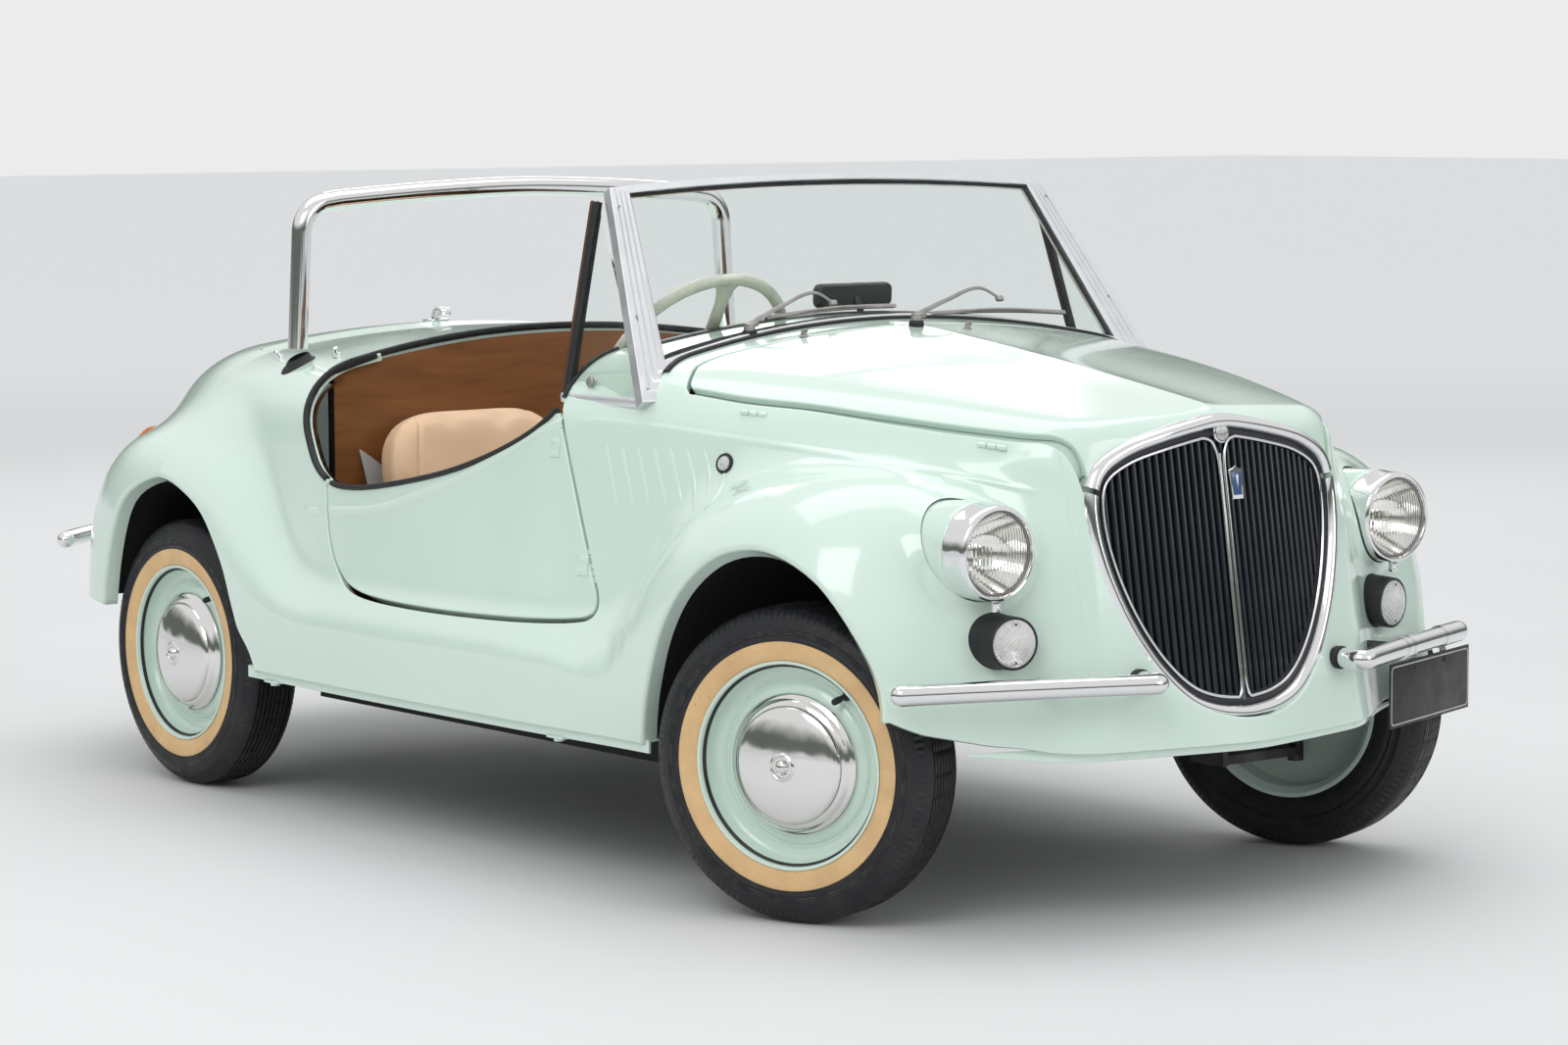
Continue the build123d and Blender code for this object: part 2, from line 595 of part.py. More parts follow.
def screen_outline(top, top_half, low_half, low, low_mid, foot=None):
    """Outline in the screen's plane: a bowed header, straight pillars and a bowed lower edge."""
    header = Edge.make_three_point_arc(Vector(-top_half, top - CORNER_FALL), Vector(0, top),
                                       Vector(top_half, top - CORNER_FALL))
    lower = Edge.make_three_point_arc(Vector(-low_half, low), Vector(0, low_mid),
                                      Vector(low_half, low))
    legs = []
    for side in (-1, 1):
        pts = [Vector(side * low_half, low)]
        if foot:
            pts += [Vector(side * (foot - 44), FOOT), Vector(side * foot, FOOT)]
        pts.append(Vector(side * top_half, top - CORNER_FALL))
        legs += Wire.make_polygon(pts, close=False).edges()
    return Face(Wire([header, lower, *legs]))


outer_face = screen_outline(SCREEN_TOP, TOP_HALF, 505, -96, -24, FOOT_HALF)
glass_face = screen_outline(SCREEN_TOP - HEADER, TOP_HALF - 32, 494, -65, 4)
frame_solid = screen_plane * Pos(0, 0, -FRAME_DEPTH / 2) * Solid.extrude(outer_face,
                                                                          Vector(0, 0, FRAME_DEPTH))
glass = screen_plane * Pos(0, 0, -GLASS / 2) * Solid.extrude(glass_face, Vector(0, 0, GLASS))
window = screen_plane * Pos(0, 0, -FRAME_DEPTH) * Solid.extrude(glass_face,
                                                                Vector(0, 0, 2 * FRAME_DEPTH))
FRAME_SEAM = 440         # the frame stands on the cowl inside this, on the flanks outside it
under_middle = cowl_core & block(0, LENGTH, -FRAME_SEAM, FRAME_SEAM, 0, FAR)
under_side = flank_core & block(0, LENGTH, -FAR, -FRAME_SEAM, 0, FAR)
frame_solid = one(frame_solid - [window, under_middle, under_side, mirrored(under_side)])
glass = one(glass - cowl_core)
SILL_RAIL = [Vector(front(-604), -588, 812), Vector(front(-400), -574, 812)]
write("windscreen_frame", frame_solid)
top_corner = Vector(front(-612), -478, 1146)
pane_face = Face(Wire.make_polygon([SILL_RAIL[0], SILL_RAIL[1], top_corner], close=True))
pane = Solid.extrude(pane_face, pane_face.normal_at() * GLASS)
pane = one(pane - frame_solid - flank_core)
write("window_glass", glass, *both(pane))

# ---- roll hoop ----
HOOP_X = rear(252)
hoop_line = FilletPolyline((HOOP_X, -510, 820), (HOOP_X, -494, 1118), (HOOP_X, 0, 1143),
                           (HOOP_X, 494, 1118), (HOOP_X, 510, 820), radius=(60, 3000, 60))
hoop = sweep(Plane((HOOP_X, -510, 820), z_dir=hoop_line % 0) * Circle(HOOP_TUBE / 2), hoop_line)
hoop = one(hoop - [flank_core, mirrored(flank_core)])
write("roll_hoop", hoop)

# ---- floor, bulkheads and inner wings ----
CABIN_FRONT = front(-328)
CABIN_REAR = rear(400)
CABIN_HALF = 556
TUNNEL_HALF = 75
TUNNEL_TOP = 345
WALL = 12
INNER_WING = 345
BOOT_FLOOR = 440
BOOT_TOP = 585
floor_top = FLOOR_HEIGHT + FLOOR_PLATE
pan = block(CABIN_REAR, CABIN_FRONT, -CABIN_HALF, CABIN_HALF, FLOOR_HEIGHT, floor_top)
pan += block(CABIN_REAR, CABIN_FRONT, -TUNNEL_HALF, TUNNEL_HALF, FLOOR_HEIGHT, TUNNEL_TOP)
pan -= block(CABIN_REAR - 1, CABIN_FRONT + 1, WALL - TUNNEL_HALF, TUNNEL_HALF - WALL, 0,
             TUNNEL_TOP - WALL)
for side in (-1, 1):
    y0, y1 = sorted((side * CABIN_HALF, side * (CABIN_HALF - WALL)))
    pan += block(CABIN_REAR, CABIN_FRONT, y0, y1, FLOOR_HEIGHT, 420)
write("floor_pan", one(pan))

WALL_SHOULDER = 530      # the cross walls are wider below this height than above it
INNER_WING_FOOT = 300
BOOT_FRONT = front(293)
boot_back = CABIN_FRONT + WALL
cross_wall = [block(CABIN_FRONT, boot_back, -CABIN_HALF, CABIN_HALF, FLOOR_HEIGHT, WALL_SHOULDER),
              block(CABIN_FRONT, boot_back, -530, 530, WALL_SHOULDER, 700)]
boot_floor = block(boot_back, BOOT_FRONT, WALL - INNER_WING, INNER_WING - WALL,
                   BOOT_FLOOR, BOOT_FLOOR + WALL)
boot_side = block(boot_back, BOOT_FRONT, -INNER_WING, WALL - INNER_WING, INNER_WING_FOOT, BOOT_TOP)
boot_end = block(BOOT_FRONT, BOOT_FRONT + WALL, -INNER_WING, INNER_WING, INNER_WING_FOOT, BOOT_TOP)
# towing eye behind the lower edge of the nose
EYE_RADIUS = 12
eye = block(BOOT_FRONT + WALL, front(345), -WALL / 2, WALL / 2, 262, 320)
eye -= rod((front(322), -WALL, 288), (front(322), WALL, 288), EYE_RADIUS)
write("front_bulkhead", *cross_wall, boot_floor, *both(boot_side), one(boot_end + eye))

rear_wall = block(CABIN_REAR - WALL, CABIN_REAR, -CABIN_HALF, CABIN_HALF, FLOOR_HEIGHT, WALL_SHOULDER)
rear_wall += block(CABIN_REAR - WALL, CABIN_REAR, -530, 530, WALL_SHOULDER, 780)
for side in (-1, 1):
    y0, y1 = sorted((side * 400, side * (400 - WALL)))
    rear_wall += block(rear(-370), CABIN_REAR - WALL, y0, y1, 190, 600)
ENGINE_BED = 190
rear_wall += block(rear(-60), rear(0), -400, 400, ENGINE_BED, ENGINE_BED + WALL)
write("rear_bulkhead", one(rear_wall))
write("engine_block", block(rear(-450), rear(100), -190, 190, ENGINE_BED + WALL, 540))

# ---- cabin ----
DRIVER = -270            # the driver sits on the right
COLUMN_TILT = math.radians(36)
WHEEL_CENTRE = Vector(front(-640), DRIVER - 22, 858)
WHEEL_TUBE = 11
HUB_LENGTH = 34
COLUMN_RADIUS = 19
column_way = Vector(math.cos(COLUMN_TILT), 0, -math.sin(COLUMN_TILT))
column_start = WHEEL_CENTRE + column_way * (HUB_LENGTH + 6)
column_end = column_start + column_way * ((CABIN_FRONT - column_start.X) / column_way.X + 30)
column = rod(column_start, column_end, COLUMN_RADIUS)
write("steering_column", one(column - block(CABIN_FRONT, LENGTH, -FAR, FAR, 0, FAR)))

dash = block(front(-568), front(-543), -535, 535, 730, FAR)
dash = dash - [cowl_above, flank_core, mirrored(flank_core),
               rod(column_start, column_end, COLUMN_RADIUS + ROUND)]
write("dashboard", one(dash))

wheel_plane = Plane(WHEEL_CENTRE, x_dir=(0, 1, 0), z_dir=column_way)
rim_ring = wheel_plane * Torus(STEERING_WHEEL_RADIUS - WHEEL_TUBE, WHEEL_TUBE)
boss = wheel_plane * Pos(0, 0, HUB_LENGTH / 2 - 4) * Cylinder(32, HUB_LENGTH + 8)
spokes = [wheel_plane * Rot(0, 0, turn) * Pos((STEERING_WHEEL_RADIUS - WHEEL_TUBE) / 2, 0, 2)
          * Box(STEERING_WHEEL_RADIUS - WHEEL_TUBE, 34, 6) for turn in (90, 270)]
write("steering_wheel", one(rim_ring + boss + spokes))

SEAT_HALF = SEAT_WIDTH / 2
CUSHION = dict(x0=rear(590), x1=front(-845), low=348, high=440)


def cushion(size, radius):
    return fillet(Box(*size).edges(), radius)


def seat_cushion(y):
    length = CUSHION["x1"] - CUSHION["x0"]
    height = CUSHION["high"] - CUSHION["low"]
    return Pos((CUSHION["x0"] + CUSHION["x1"]) / 2, y, CUSHION["low"] + height / 2) * cushion(
        (length, SEAT_WIDTH, height), 34)


BACK_LEAN = 14
BACK_THICKNESS = 80
BACK_HEIGHT = 350


def seat_back(y):
    foot = Pos(CUSHION["x0"] - 10, y, CUSHION["high"] - 30) * Rot(0, -BACK_LEAN, 0)
    return foot * Pos(-BACK_THICKNESS / 2, 0, BACK_HEIGHT / 2) * cushion(
        (BACK_THICKNESS, SEAT_WIDTH, BACK_HEIGHT), 36)


def seat_frame(y):
    frame = block(CUSHION["x0"] - 40, CUSHION["x1"] - 40, y - SEAT_HALF + 40, y + SEAT_HALF - 40,
                  CUSHION["low"] - 14, CUSHION["low"] - ROUND)
    for side in (-1, 1):
        rail = y + side * (SEAT_HALF - 70)
        frame += block(CUSHION["x0"] - 20, CUSHION["x1"] - 60, rail - 14, rail + 14,
                       floor_top, CUSHION["low"] - 10)
    return frame


write("seat_cushions", *[seat_cushion(y) for y in (DRIVER, -DRIVER)])
write("seat_backs", *[seat_back(y) for y in (DRIVER, -DRIVER)])
write("seat_frames", *[seat_frame(y) for y in (DRIVER, -DRIVER)])

# ---- number plates, blank ----
PLATE = (320, 110, 3)
PLATE_BEARING = math.radians(19)
plate_mid = bumper_point(front(0), BUMPER_HEIGHT, 56)
plate_mid = Vector(plate_mid.X, -plate_mid.Y, 0)
plate_way = Vector(math.cos(PLATE_BEARING), math.sin(PLATE_BEARING), 0)
plate_drop = BUMPER_HEIGHT - BUMPER_TUBE / 2 - ROUND
plate = Plane(plate_mid + Vector(0, 0, plate_drop - PLATE[1] / 2),
              x_dir=(0, 0, 1), z_dir=plate_way) * Box(PLATE[1], PLATE[0], PLATE[2])
write("front_plate", one(plate - mirrored(front_bar)))
rear_spot = surface_at((rear(-100), 0, 500), (-1, 0, 0))
rear_way = Vector(*outward(rear_spot))
rear_plate = Plane(Vector(*rear_spot), x_dir=(0, 1, 0), z_dir=rear_way) * Pos(0, 0, 20) * Box(
    360, 110, 40)
write("rear_plate", one(rear_plate - tail_core))

# ---- suspension ----
kingpin = Vector(X_FRONT, -(TRACK_FRONT / 2 - KINGPIN_OFFSET), TYRE_RADIUS)
PIN = 14
PIN_REACH = 108          # the kingpin reaches this far above and below the hub
STUB = 20
DISC_OUTSET = 18         # outboard of the wheel's middle plane to the disc's inner face
SPRING_Z = TYRE_RADIUS - 95
pin_side = kingpin.Y + PIN + 0.5
SPRING_LEAVES = 16
spring = block(X_FRONT - 27, X_FRONT + 27, -INNER_WING, INNER_WING, INNER_WING_FOOT - SPRING_LEAVES,
               INNER_WING_FOOT)
for side in (-1, 1):
    y0, y1 = sorted((side * INNER_WING, side * -pin_side))
    spring += block(X_FRONT - 27, X_FRONT + 27, y0, y1, SPRING_Z, SPRING_Z + SPRING_LEAVES)
    y0, y1 = sorted((side * (INNER_WING - WALL), side * INNER_WING))
    spring += block(X_FRONT - 40, X_FRONT + 40, y0, y1, SPRING_Z, INNER_WING_FOOT)
    y0, y1 = sorted((side * INNER_WING, side * -pin_side))
    spring += block(X_FRONT - 22, X_FRONT + 22, y0, y1, TYRE_RADIUS + 80, TYRE_RADIUS + 92)
write("front_spring", one(spring))

steer = Rot(0, 0, PARKED_STEER)


def steered(shape, side=-1):
    """Turns a piece about the kingpin on that side, from straight ahead to where it is parked."""
    pin = Pos(kingpin.X, side * -kingpin.Y, 0)
    return pin * steer * pin.inverse() * shape


def knuckle(side):
    y = side * -kingpin.Y
    pin = Pos(X_FRONT, y, TYRE_RADIUS) * Cylinder(PIN, 2 * PIN_REACH)
    block_ = Pos(X_FRONT, y, TYRE_RADIUS) * Cylinder(28, 90)
    out = side * (TRACK_FRONT / 2 + DISC_OUTSET)
    hub = rod((X_FRONT, y, TYRE_RADIUS), (X_FRONT, out - side * ROUND, TYRE_RADIUS), 46)
    stub = rod((X_FRONT, y, TYRE_RADIUS), (X_FRONT, out + side * 12, TYRE_RADIUS), STUB)
    return steered(one(pin + block_ + hub + stub), side)


write("knuckle_right", knuckle(-1))
write("knuckle_left", knuckle(1))

HUB_Y = TRACK_REAR / 2 + DISC_OUTSET
arms = Part()
for side in (-1, 1):
    arms += rod((X_REAR, side * 400, TYRE_RADIUS), (X_REAR, side * (HUB_Y - ROUND), TYRE_RADIUS), 46)
    arms += rod((X_REAR, side * 400, TYRE_RADIUS), (X_REAR, side * (HUB_Y + 12), TYRE_RADIUS), STUB)
    arms += rod((X_REAR, side * 470, TYRE_RADIUS), (CABIN_REAR - WALL, side * 500, 240), 20)
    arms += rod((X_REAR, side * 440, TYRE_RADIUS), (CABIN_REAR - WALL, side * 250, 240), 20)
arm_right = one((arms & block(-LENGTH, CABIN_REAR - WALL, -FAR, -1, 0, FAR)) - rear_wall)
write("rear_arms", *both(arm_right))

# ---- wheels ----
BEAD = RIM_DIAMETER / 2 + 5
FLANGE = RIM_DIAMETER / 2 + 16
RIM_HALF = 56
CAP_RADIUS = 112
tw = TYRE_WIDTH / 2
TYRE_PROFILE = [(BEAD, 6 - RIM_HALF), (FLANGE + 2, 4 - RIM_HALF), (BEAD + 20, 4 - tw),
                ((BEAD + TYRE_RADIUS) / 2, -tw), (TYRE_RADIUS - 24, -tw + 3),
                (TYRE_RADIUS - 7, -tw + 15), (TYRE_RADIUS, -tw + 30)]


def turned(profile):
    """Revolves a (radius, across) outline about the wheel's axis, which is Y; across grows outboard."""
    face = Face(Wire.make_polygon([Vector(r, -a, 0) for r, a in profile], close=True))
    return Solid.revolve(face, 360, Axis.Y)


def tyre():
    mid = (BEAD + TYRE_RADIUS) / 2
    hollow = [(BEAD, RIM_HALF - 16), (mid, tw - 9), (TYRE_RADIUS - 14, tw - 26),
              (TYRE_RADIUS - 14, 26 - tw), (mid, 9 - tw), (BEAD, 16 - RIM_HALF)]
    return turned(TYRE_PROFILE + [(r, -a) for r, a in reversed(TYRE_PROFILE)] + hollow)


def wheel_disc():
    """The pressed disc and its rim, from the inner flange out and back along the other face."""
    bore = STUB + ROUND
    return turned([
        (BEAD - 6, 6 - RIM_HALF), (BEAD - 1, 12 - RIM_HALF), (BEAD - 1, RIM_HALF), (FLANGE, RIM_HALF),
        (FLANGE, RIM_HALF + 3), (BEAD - 6, RIM_HALF + 3), (BEAD - 6, 2), (130, DISC_OUTSET),
        (95, DISC_OUTSET + 20), (70, DISC_OUTSET + 8), (bore, DISC_OUTSET + 8), (bore, DISC_OUTSET),
        (70, DISC_OUTSET), (95, DISC_OUTSET + 12), (128, DISC_OUTSET - 8), (BEAD - 12, -6),
        (BEAD - 12, -RIM_HALF - 3), (FLANGE, -RIM_HALF - 3), (FLANGE, -RIM_HALF)])


def hub_cap():
    return turned([(0, 34), (40, 34), (94, DISC_OUTSET + 21), (CAP_RADIUS, DISC_OUTSET + 20),
                   (CAP_RADIUS - 8, 48), (90, 58), (60, 68), (18, 74), (10, 82), (0, 83)])


def placed(shape, x, track, side, steering):
    shape = shape if side < 0 else mirrored(shape)
    shape = Pos(x, side * track / 2, TYRE_RADIUS) * shape
    return steered(shape, side) if steering else shape


WHEELS = {"front_right": (X_FRONT, TRACK_FRONT, -1, True), "front_left": (X_FRONT, TRACK_FRONT, 1, True),
          "rear_right": (X_REAR, TRACK_REAR, -1, False), "rear_left": (X_REAR, TRACK_REAR, 1, False)}
for corner_name, where in WHEELS.items():
    write("tyre_" + corner_name, placed(tyre(), *where))
    write("wheel_" + corner_name, placed(one(wheel_disc() + hub_cap()), *where))
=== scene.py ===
import json
import math

import bpy
import bmesh
import numpy as np
from mathutils import Matrix, Vector


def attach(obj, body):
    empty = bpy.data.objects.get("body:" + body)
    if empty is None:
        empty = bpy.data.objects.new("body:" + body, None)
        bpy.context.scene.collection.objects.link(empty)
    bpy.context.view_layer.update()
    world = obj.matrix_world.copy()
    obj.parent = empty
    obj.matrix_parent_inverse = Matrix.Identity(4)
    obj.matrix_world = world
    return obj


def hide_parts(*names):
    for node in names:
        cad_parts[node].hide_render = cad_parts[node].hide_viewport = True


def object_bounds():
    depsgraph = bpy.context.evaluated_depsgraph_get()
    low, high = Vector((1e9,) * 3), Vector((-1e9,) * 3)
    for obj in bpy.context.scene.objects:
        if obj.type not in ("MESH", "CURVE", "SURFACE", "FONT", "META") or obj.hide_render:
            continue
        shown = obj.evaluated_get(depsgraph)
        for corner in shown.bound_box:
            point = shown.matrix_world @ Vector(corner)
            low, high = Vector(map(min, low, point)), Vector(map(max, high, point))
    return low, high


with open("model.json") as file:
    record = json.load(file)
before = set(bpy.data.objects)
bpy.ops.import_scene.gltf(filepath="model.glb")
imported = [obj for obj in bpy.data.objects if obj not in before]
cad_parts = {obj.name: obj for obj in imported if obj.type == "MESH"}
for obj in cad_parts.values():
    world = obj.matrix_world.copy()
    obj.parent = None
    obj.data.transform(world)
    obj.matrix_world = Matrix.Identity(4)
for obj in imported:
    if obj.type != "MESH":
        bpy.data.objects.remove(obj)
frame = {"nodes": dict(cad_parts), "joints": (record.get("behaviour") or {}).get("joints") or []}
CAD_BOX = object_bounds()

bl_info = {
    "name": "Open Two-Seat Roadster",
    "version": (1, 0, 0),
    "blender": (4, 5, 0),
    "location": "View3D > Sidebar > Roadster",
    "description": "Builds the roadster's body, trim, wheels and cabin round its frame",
    "category": "Object",
}

MM = 0.001
JOINTS = {j["name"]: j for j in frame["joints"]}
X_FRONT = JOINTS["steer_right"]["pos_m"][0] / MM
X_REAR = JOINTS["spin_rear_right"]["pos_m"][0] / MM
LENGTH = (CAD_BOX[1].x - CAD_BOX[0].x) / MM
HALF = (CAD_BOX[1].y - CAD_BOX[0].y) / MM / 2
TOP = CAD_BOX[1].z / MM


def front(d):
    """A station d mm ahead of the front axle."""
    return X_FRONT + d


def rear(d):
    """A station d mm ahead of the rear axle."""
    return X_REAR + d


def xyz(x, y, z):
    """Points from separate coordinates, stretched to one common shape."""
    return np.stack(np.broadcast_arrays(x, y, z), -1)


def unit(v):
    v = np.asarray(v, float)
    return v / np.linalg.norm(v, axis=-1, keepdims=True)


# ------------------------------------------------------------------ the body's surface
def curve(points):
    """A smooth line through (station, value) points."""
    pts = sorted(points)
    xs = np.array([p[0] for p in pts], float)
    ys = np.array([p[1] for p in pts], float)
    step = np.diff(xs)
    rise = np.diff(ys) / step
    slope = np.empty(len(xs))
    slope[0], slope[-1] = rise[0], rise[-1]
    slope[1:-1] = (rise[:-1] * step[1:] + rise[1:] * step[:-1]) / (step[1:] + step[:-1])

    def value(x):
        x = np.asarray(x, float)
        i = np.clip(np.searchsorted(xs, x) - 1, 0, len(xs) - 2)
        h = xs[i + 1] - xs[i]
        t = (x - xs[i]) / h
        inside = (ys[i] * (1 + 2 * t) * (1 - t) ** 2 + ys[i + 1] * t * t * (3 - 2 * t)
                  + h * (slope[i] * t * (1 - t) ** 2 + slope[i + 1] * t * t * (t - 1)))
        low = ys[0] + slope[0] * (x - xs[0])
        high = ys[-1] + slope[-1] * (x - xs[-1])
        return np.where(x < xs[0], low, np.where(x > xs[-1], high, inside))
    return value


def larger(a, b, r):
    """The larger of two fields, blended over r."""
    h = np.clip(0.5 + 0.5 * (a - b) / r, 0, 1)
    return b * (1 - h) + a * h + r * h * (1 - h)


belt_inset = curve([
    (front(440), 470), (front(363), 413), (front(270), 360), (front(120), 290), (front(0), 240),
    (front(-180), 177), (front(-380), 125), (front(-548), 95), (front(-780), 82), (front(-980), 79),
    (rear(660), 81), (rear(438), 91), (rear(250), 110), (rear(0), 150), (rear(-240), 215),
    (rear(-440), 290), (rear(-590), 385), (rear(-650), 445)])
crown = curve([
    (front(470), 788), (front(380), 804), (front(220), 832), (front(0), 868), (front(-220), 899),
    (front(-464), 927), (front(-780), 935), (front(-1080), 915), (rear(440), 880), (rear(250), 876),
    (rear(0), 864)])
wing_top = curve([
    (front(420), 690), (front(320), 698), (front(220), 708), (front(100), 720), (front(0), 722),
    (front(-120), 706), (front(-220), 660), (front(-290), 590), (front(-340), 515),
    (front(-380), 460), (front(-430), 425), (front(-500), 412), (front(-680), 408),
    (rear(660), 404), (rear(520), 408), (rear(440), 432), (rear(380), 480), (rear(320), 552),
    (rear(260), 620), (rear(180), 675), (rear(80), 702), (rear(-40), 708), (rear(-140), 698),
    (rear(-240), 670), (rear(-340), 620), (rear(-440), 545), (rear(-540), 450)])
TAIL_LENGTH, TAIL_DROP, TAIL_BASE, TAIL_REACH = 650, 570, 300, 600
NOSE_CREST, NOSE_TOP, NOSE_LEAN = 367, 802, 0.155
NOSE_BOW, NOSE_BOW_HALF = 26, 240
BELT_HEIGHT = 780
SILL_Z = 262


def nose_x(y, z):
    """Station of the nose, which bows across and leans back."""
    return front(NOSE_CREST) + NOSE_LEAN * (NOSE_TOP - z) - NOSE_BOW * (y / NOSE_BOW_HALF) ** 2


def upper_body(x, y, z):
    """Field of the hull between the wings: negative inside."""
    w = np.abs(y)
    fall = 0.0002 * w ** 2
    ridge = np.interp(x, [front(-480), front(370)], [0, 10]) * np.exp(-w / 45)
    top = (z - crown(np.maximum(x, X_REAR)) + fall - ridge) / 1.005
    back = np.minimum(x - X_REAR, 0) / TAIL_LENGTH
    up = np.maximum(z + fall - TAIL_BASE, 0) / TAIL_DROP
    tail = (np.sqrt(back ** 2 + up ** 2) - 1) * TAIL_REACH
    top = np.where(x < X_REAR, tail, top)
    side = w - (HALF - belt_inset(x) + 0.11 * (BELT_HEIGHT - z))
    side = side + np.where(z > BELT_HEIGHT, 0.0006 * (z - BELT_HEIGHT) ** 2, 0)
    blend = np.interp(x, [rear(-140), rear(460), front(-464), front(360)], [150, 110, 110, 70])
    return larger(larger(top, side, blend), x - nose_x(w, z), 40)


def wings(x, y, z):
    """Field of the wings that run along both sides: negative inside."""
    w = np.abs(y)
    side = w - (HALF - 3 - 0.0006 * (z - 430) ** 2)
    slope = (wing_top(x + 1) - wing_top(x - 1)) / 2
    top = (z - wing_top(x)) / np.sqrt(1 + slope ** 2)
    face = (x - (front(447) - 0.325 * np.sqrt(w ** 2 + 40 ** 2) - 0.19 * (z - 467))) / 1.07
    blend = np.interp(x, [rear(-440), rear(160), rear(460), front(-530), front(-280), front(120)],
                      [200, 150, 60, 60, 150, 190])
    field = larger(larger(top, side, blend), face, 150)
    reach = (TAIL_LENGTH + 5) * np.sqrt(np.clip(
        1 - (np.maximum(z - TAIL_BASE, 0) / TAIL_DROP) ** 2, 0.02, 1))
    plan = (np.abs(np.minimum(x - X_REAR, 0)) / reach) ** 2.4 + (w / HALF) ** 2.4
    tail = (plan ** (1 / 2.4) - 1) * TAIL_REACH
    return np.where(x < X_REAR, larger(field, tail, 60), field)


def body_field(p):
    """Field of the whole outer skin at points p: negative inside, zero on the skin."""
    x, y, z = p[..., 0], p[..., 1], p[..., 2]
    return -larger(-upper_body(x, y, z), -wings(x, y, z), 70)


RAY_HEIGHT, RAY_NEAR, RAY_FAR = 480, 20.0, 1300.0
FAN = 6
HALVINGS = 34


def eased(v, low, high):
    """Rises smoothly from 0 at low to 1 at high."""
    t = np.clip((v - low) / (high - low), 0, 1)
    return t * t * (3 - 2 * t)


def side_rays(stations, heights):
    """Rays to the right side that turn round the nose and tail; above RAY_HEIGHT they fan up."""
    s, h = np.meshgrid(stations, heights, indexing="ij")
    x0 = np.clip(np.interp(s, [0, 1], [rear(-150), front(50)]), rear(0), front(-60))
    turn = np.radians(90 * (eased(s, 0.62, 1.05) - eased(-s, -0.38, 0.05)))
    lift = np.radians(np.maximum(h - RAY_HEIGHT, 0) / FAN)
    start = xyz(x0, 0, np.minimum(h, RAY_HEIGHT))
    way = xyz(np.sin(turn) * np.cos(lift), -np.cos(turn) * np.cos(lift), np.sin(lift))
    return start, way


def top_rays(stations, widths, taper=np.ones_like):
    """Rays to the top, in upright planes, leaning forward over the nose and back over the tail."""
    s, w = np.meshgrid(stations, widths, indexing="ij")
    x0 = np.clip(s, rear(-60), front(240))
    lean = np.radians((s - x0) / FAN)
    start = xyz(x0, w * taper(s), RAY_HEIGHT)
    return start, xyz(np.sin(lean), 0, np.cos(lean))


def ahead_rays(y, z):
    return xyz(front(-60), y, z), (1, 0, 0)


def surface(rays):
    """Where rays (start, way) from inside the body cross its skin, found by halving."""
    start, way = np.broadcast_arrays(*rays)
    near = np.full(start.shape[:-1], RAY_NEAR)
    far = np.full(start.shape[:-1], RAY_FAR)
    for _ in range(HALVINGS):
        mid = (near + far) / 2
        out = body_field(start + mid[..., None] * way) > 0
        far = np.where(out, mid, far)
        near = np.where(out, near, mid)
    return start + near[..., None] * way


def outward(p):
    """Unit vectors square to the body's surface."""
    return unit(np.stack([body_field(p + e) - body_field(p - e) for e in np.eye(3)], -1))


def side_hit(x, z, side=-1):
    """Points of the flank at these stations and heights."""
    return surface((xyz(x, 0, z), (0, side, 0)))


def top_hit(x, y):
    """Points of the upper skin at these stations and widths."""
    return surface((xyz(x, y, RAY_HEIGHT), (0, 0, 1)))


def nose_hit(y, z):
    """Points of the skin straight ahead at these widths and heights."""
    return surface(ahead_rays(y, z))


def tail_hit(y, z):
    """Points of the skin straight behind at these widths and heights."""
    return surface((xyz(rear(-100), y, z), (-1, 0, 0)))


# ------------------------------------------------------------------ outlines of the panels
DOOR_EDGE = [
    (front(-608), 799), (front(-586), 751), (front(-568), 709), (front(-503), 553),
    (front(-487), 514), (front(-474), 483), (front(-475), 456), (front(-513), 445),
    (rear(682), 438), (rear(613), 465), (rear(570), 520), (rear(542), 615)]
RIM = [
    (front(-600), 809), (front(-607), 793), (front(-643), 763), (front(-720), 725),
    (front(-857), 678), (rear(836), 645), (rear(645), 618), (rear(558), 621), (rear(500), 647),
    (rear(458), 698), (rear(433), 741), (rear(421), 785), (rear(415), 840)]
ARCH_FRONT = [(front(-290), 200), (front(-269), 284), (front(-237), 378), (front(-202), 461),
              (front(-156), 529), (front(-91), 581), (front(-11), 603), (front(76), 597),
              (front(145), 566), (front(185), 526), (front(218), 474), (front(241), 422),
              (front(255), 360), (front(265), 200)]
ARCH_REAR = [(rear(385), 200), (rear(352), 291), (rear(317), 332), (rear(301), 369),
             (rear(270), 442), (rear(228), 497), (rear(182), 538), (rear(116), 571),
             (rear(5), 597), (rear(-82), 578), (rear(-141), 543), (rear(-179), 479),
             (rear(-233), 334), (rear(-260), 200)]
SHUT_LINE = [(front(-337), -534), (front(-216), -508), (front(-86), -468), (front(38), -427),
             (front(202), -361), (front(291), -316), (front(352), -271)]
GRILLE = [(0, 806), (-118, 789), (-198, 768), (-250, 738), (-272, 700), (-276, 640), (-262, 562),
          (-228, 474), (-180, 400), (-125, 350), (-70, 328), (0, 320)]
LID_REAR = front(-385)
CENTRE_SEAM, SCUTTLE_SEAM, NOSE_SEAM = 430, 470, 300
LID_GAP, DOOR_GAP = 6, 6
ENGINE_LID = [(-240, 400), (240, 400), (268, 520), (262, 700), (220, 780), (-220, 780),
              (-262, 700), (-268, 520)]


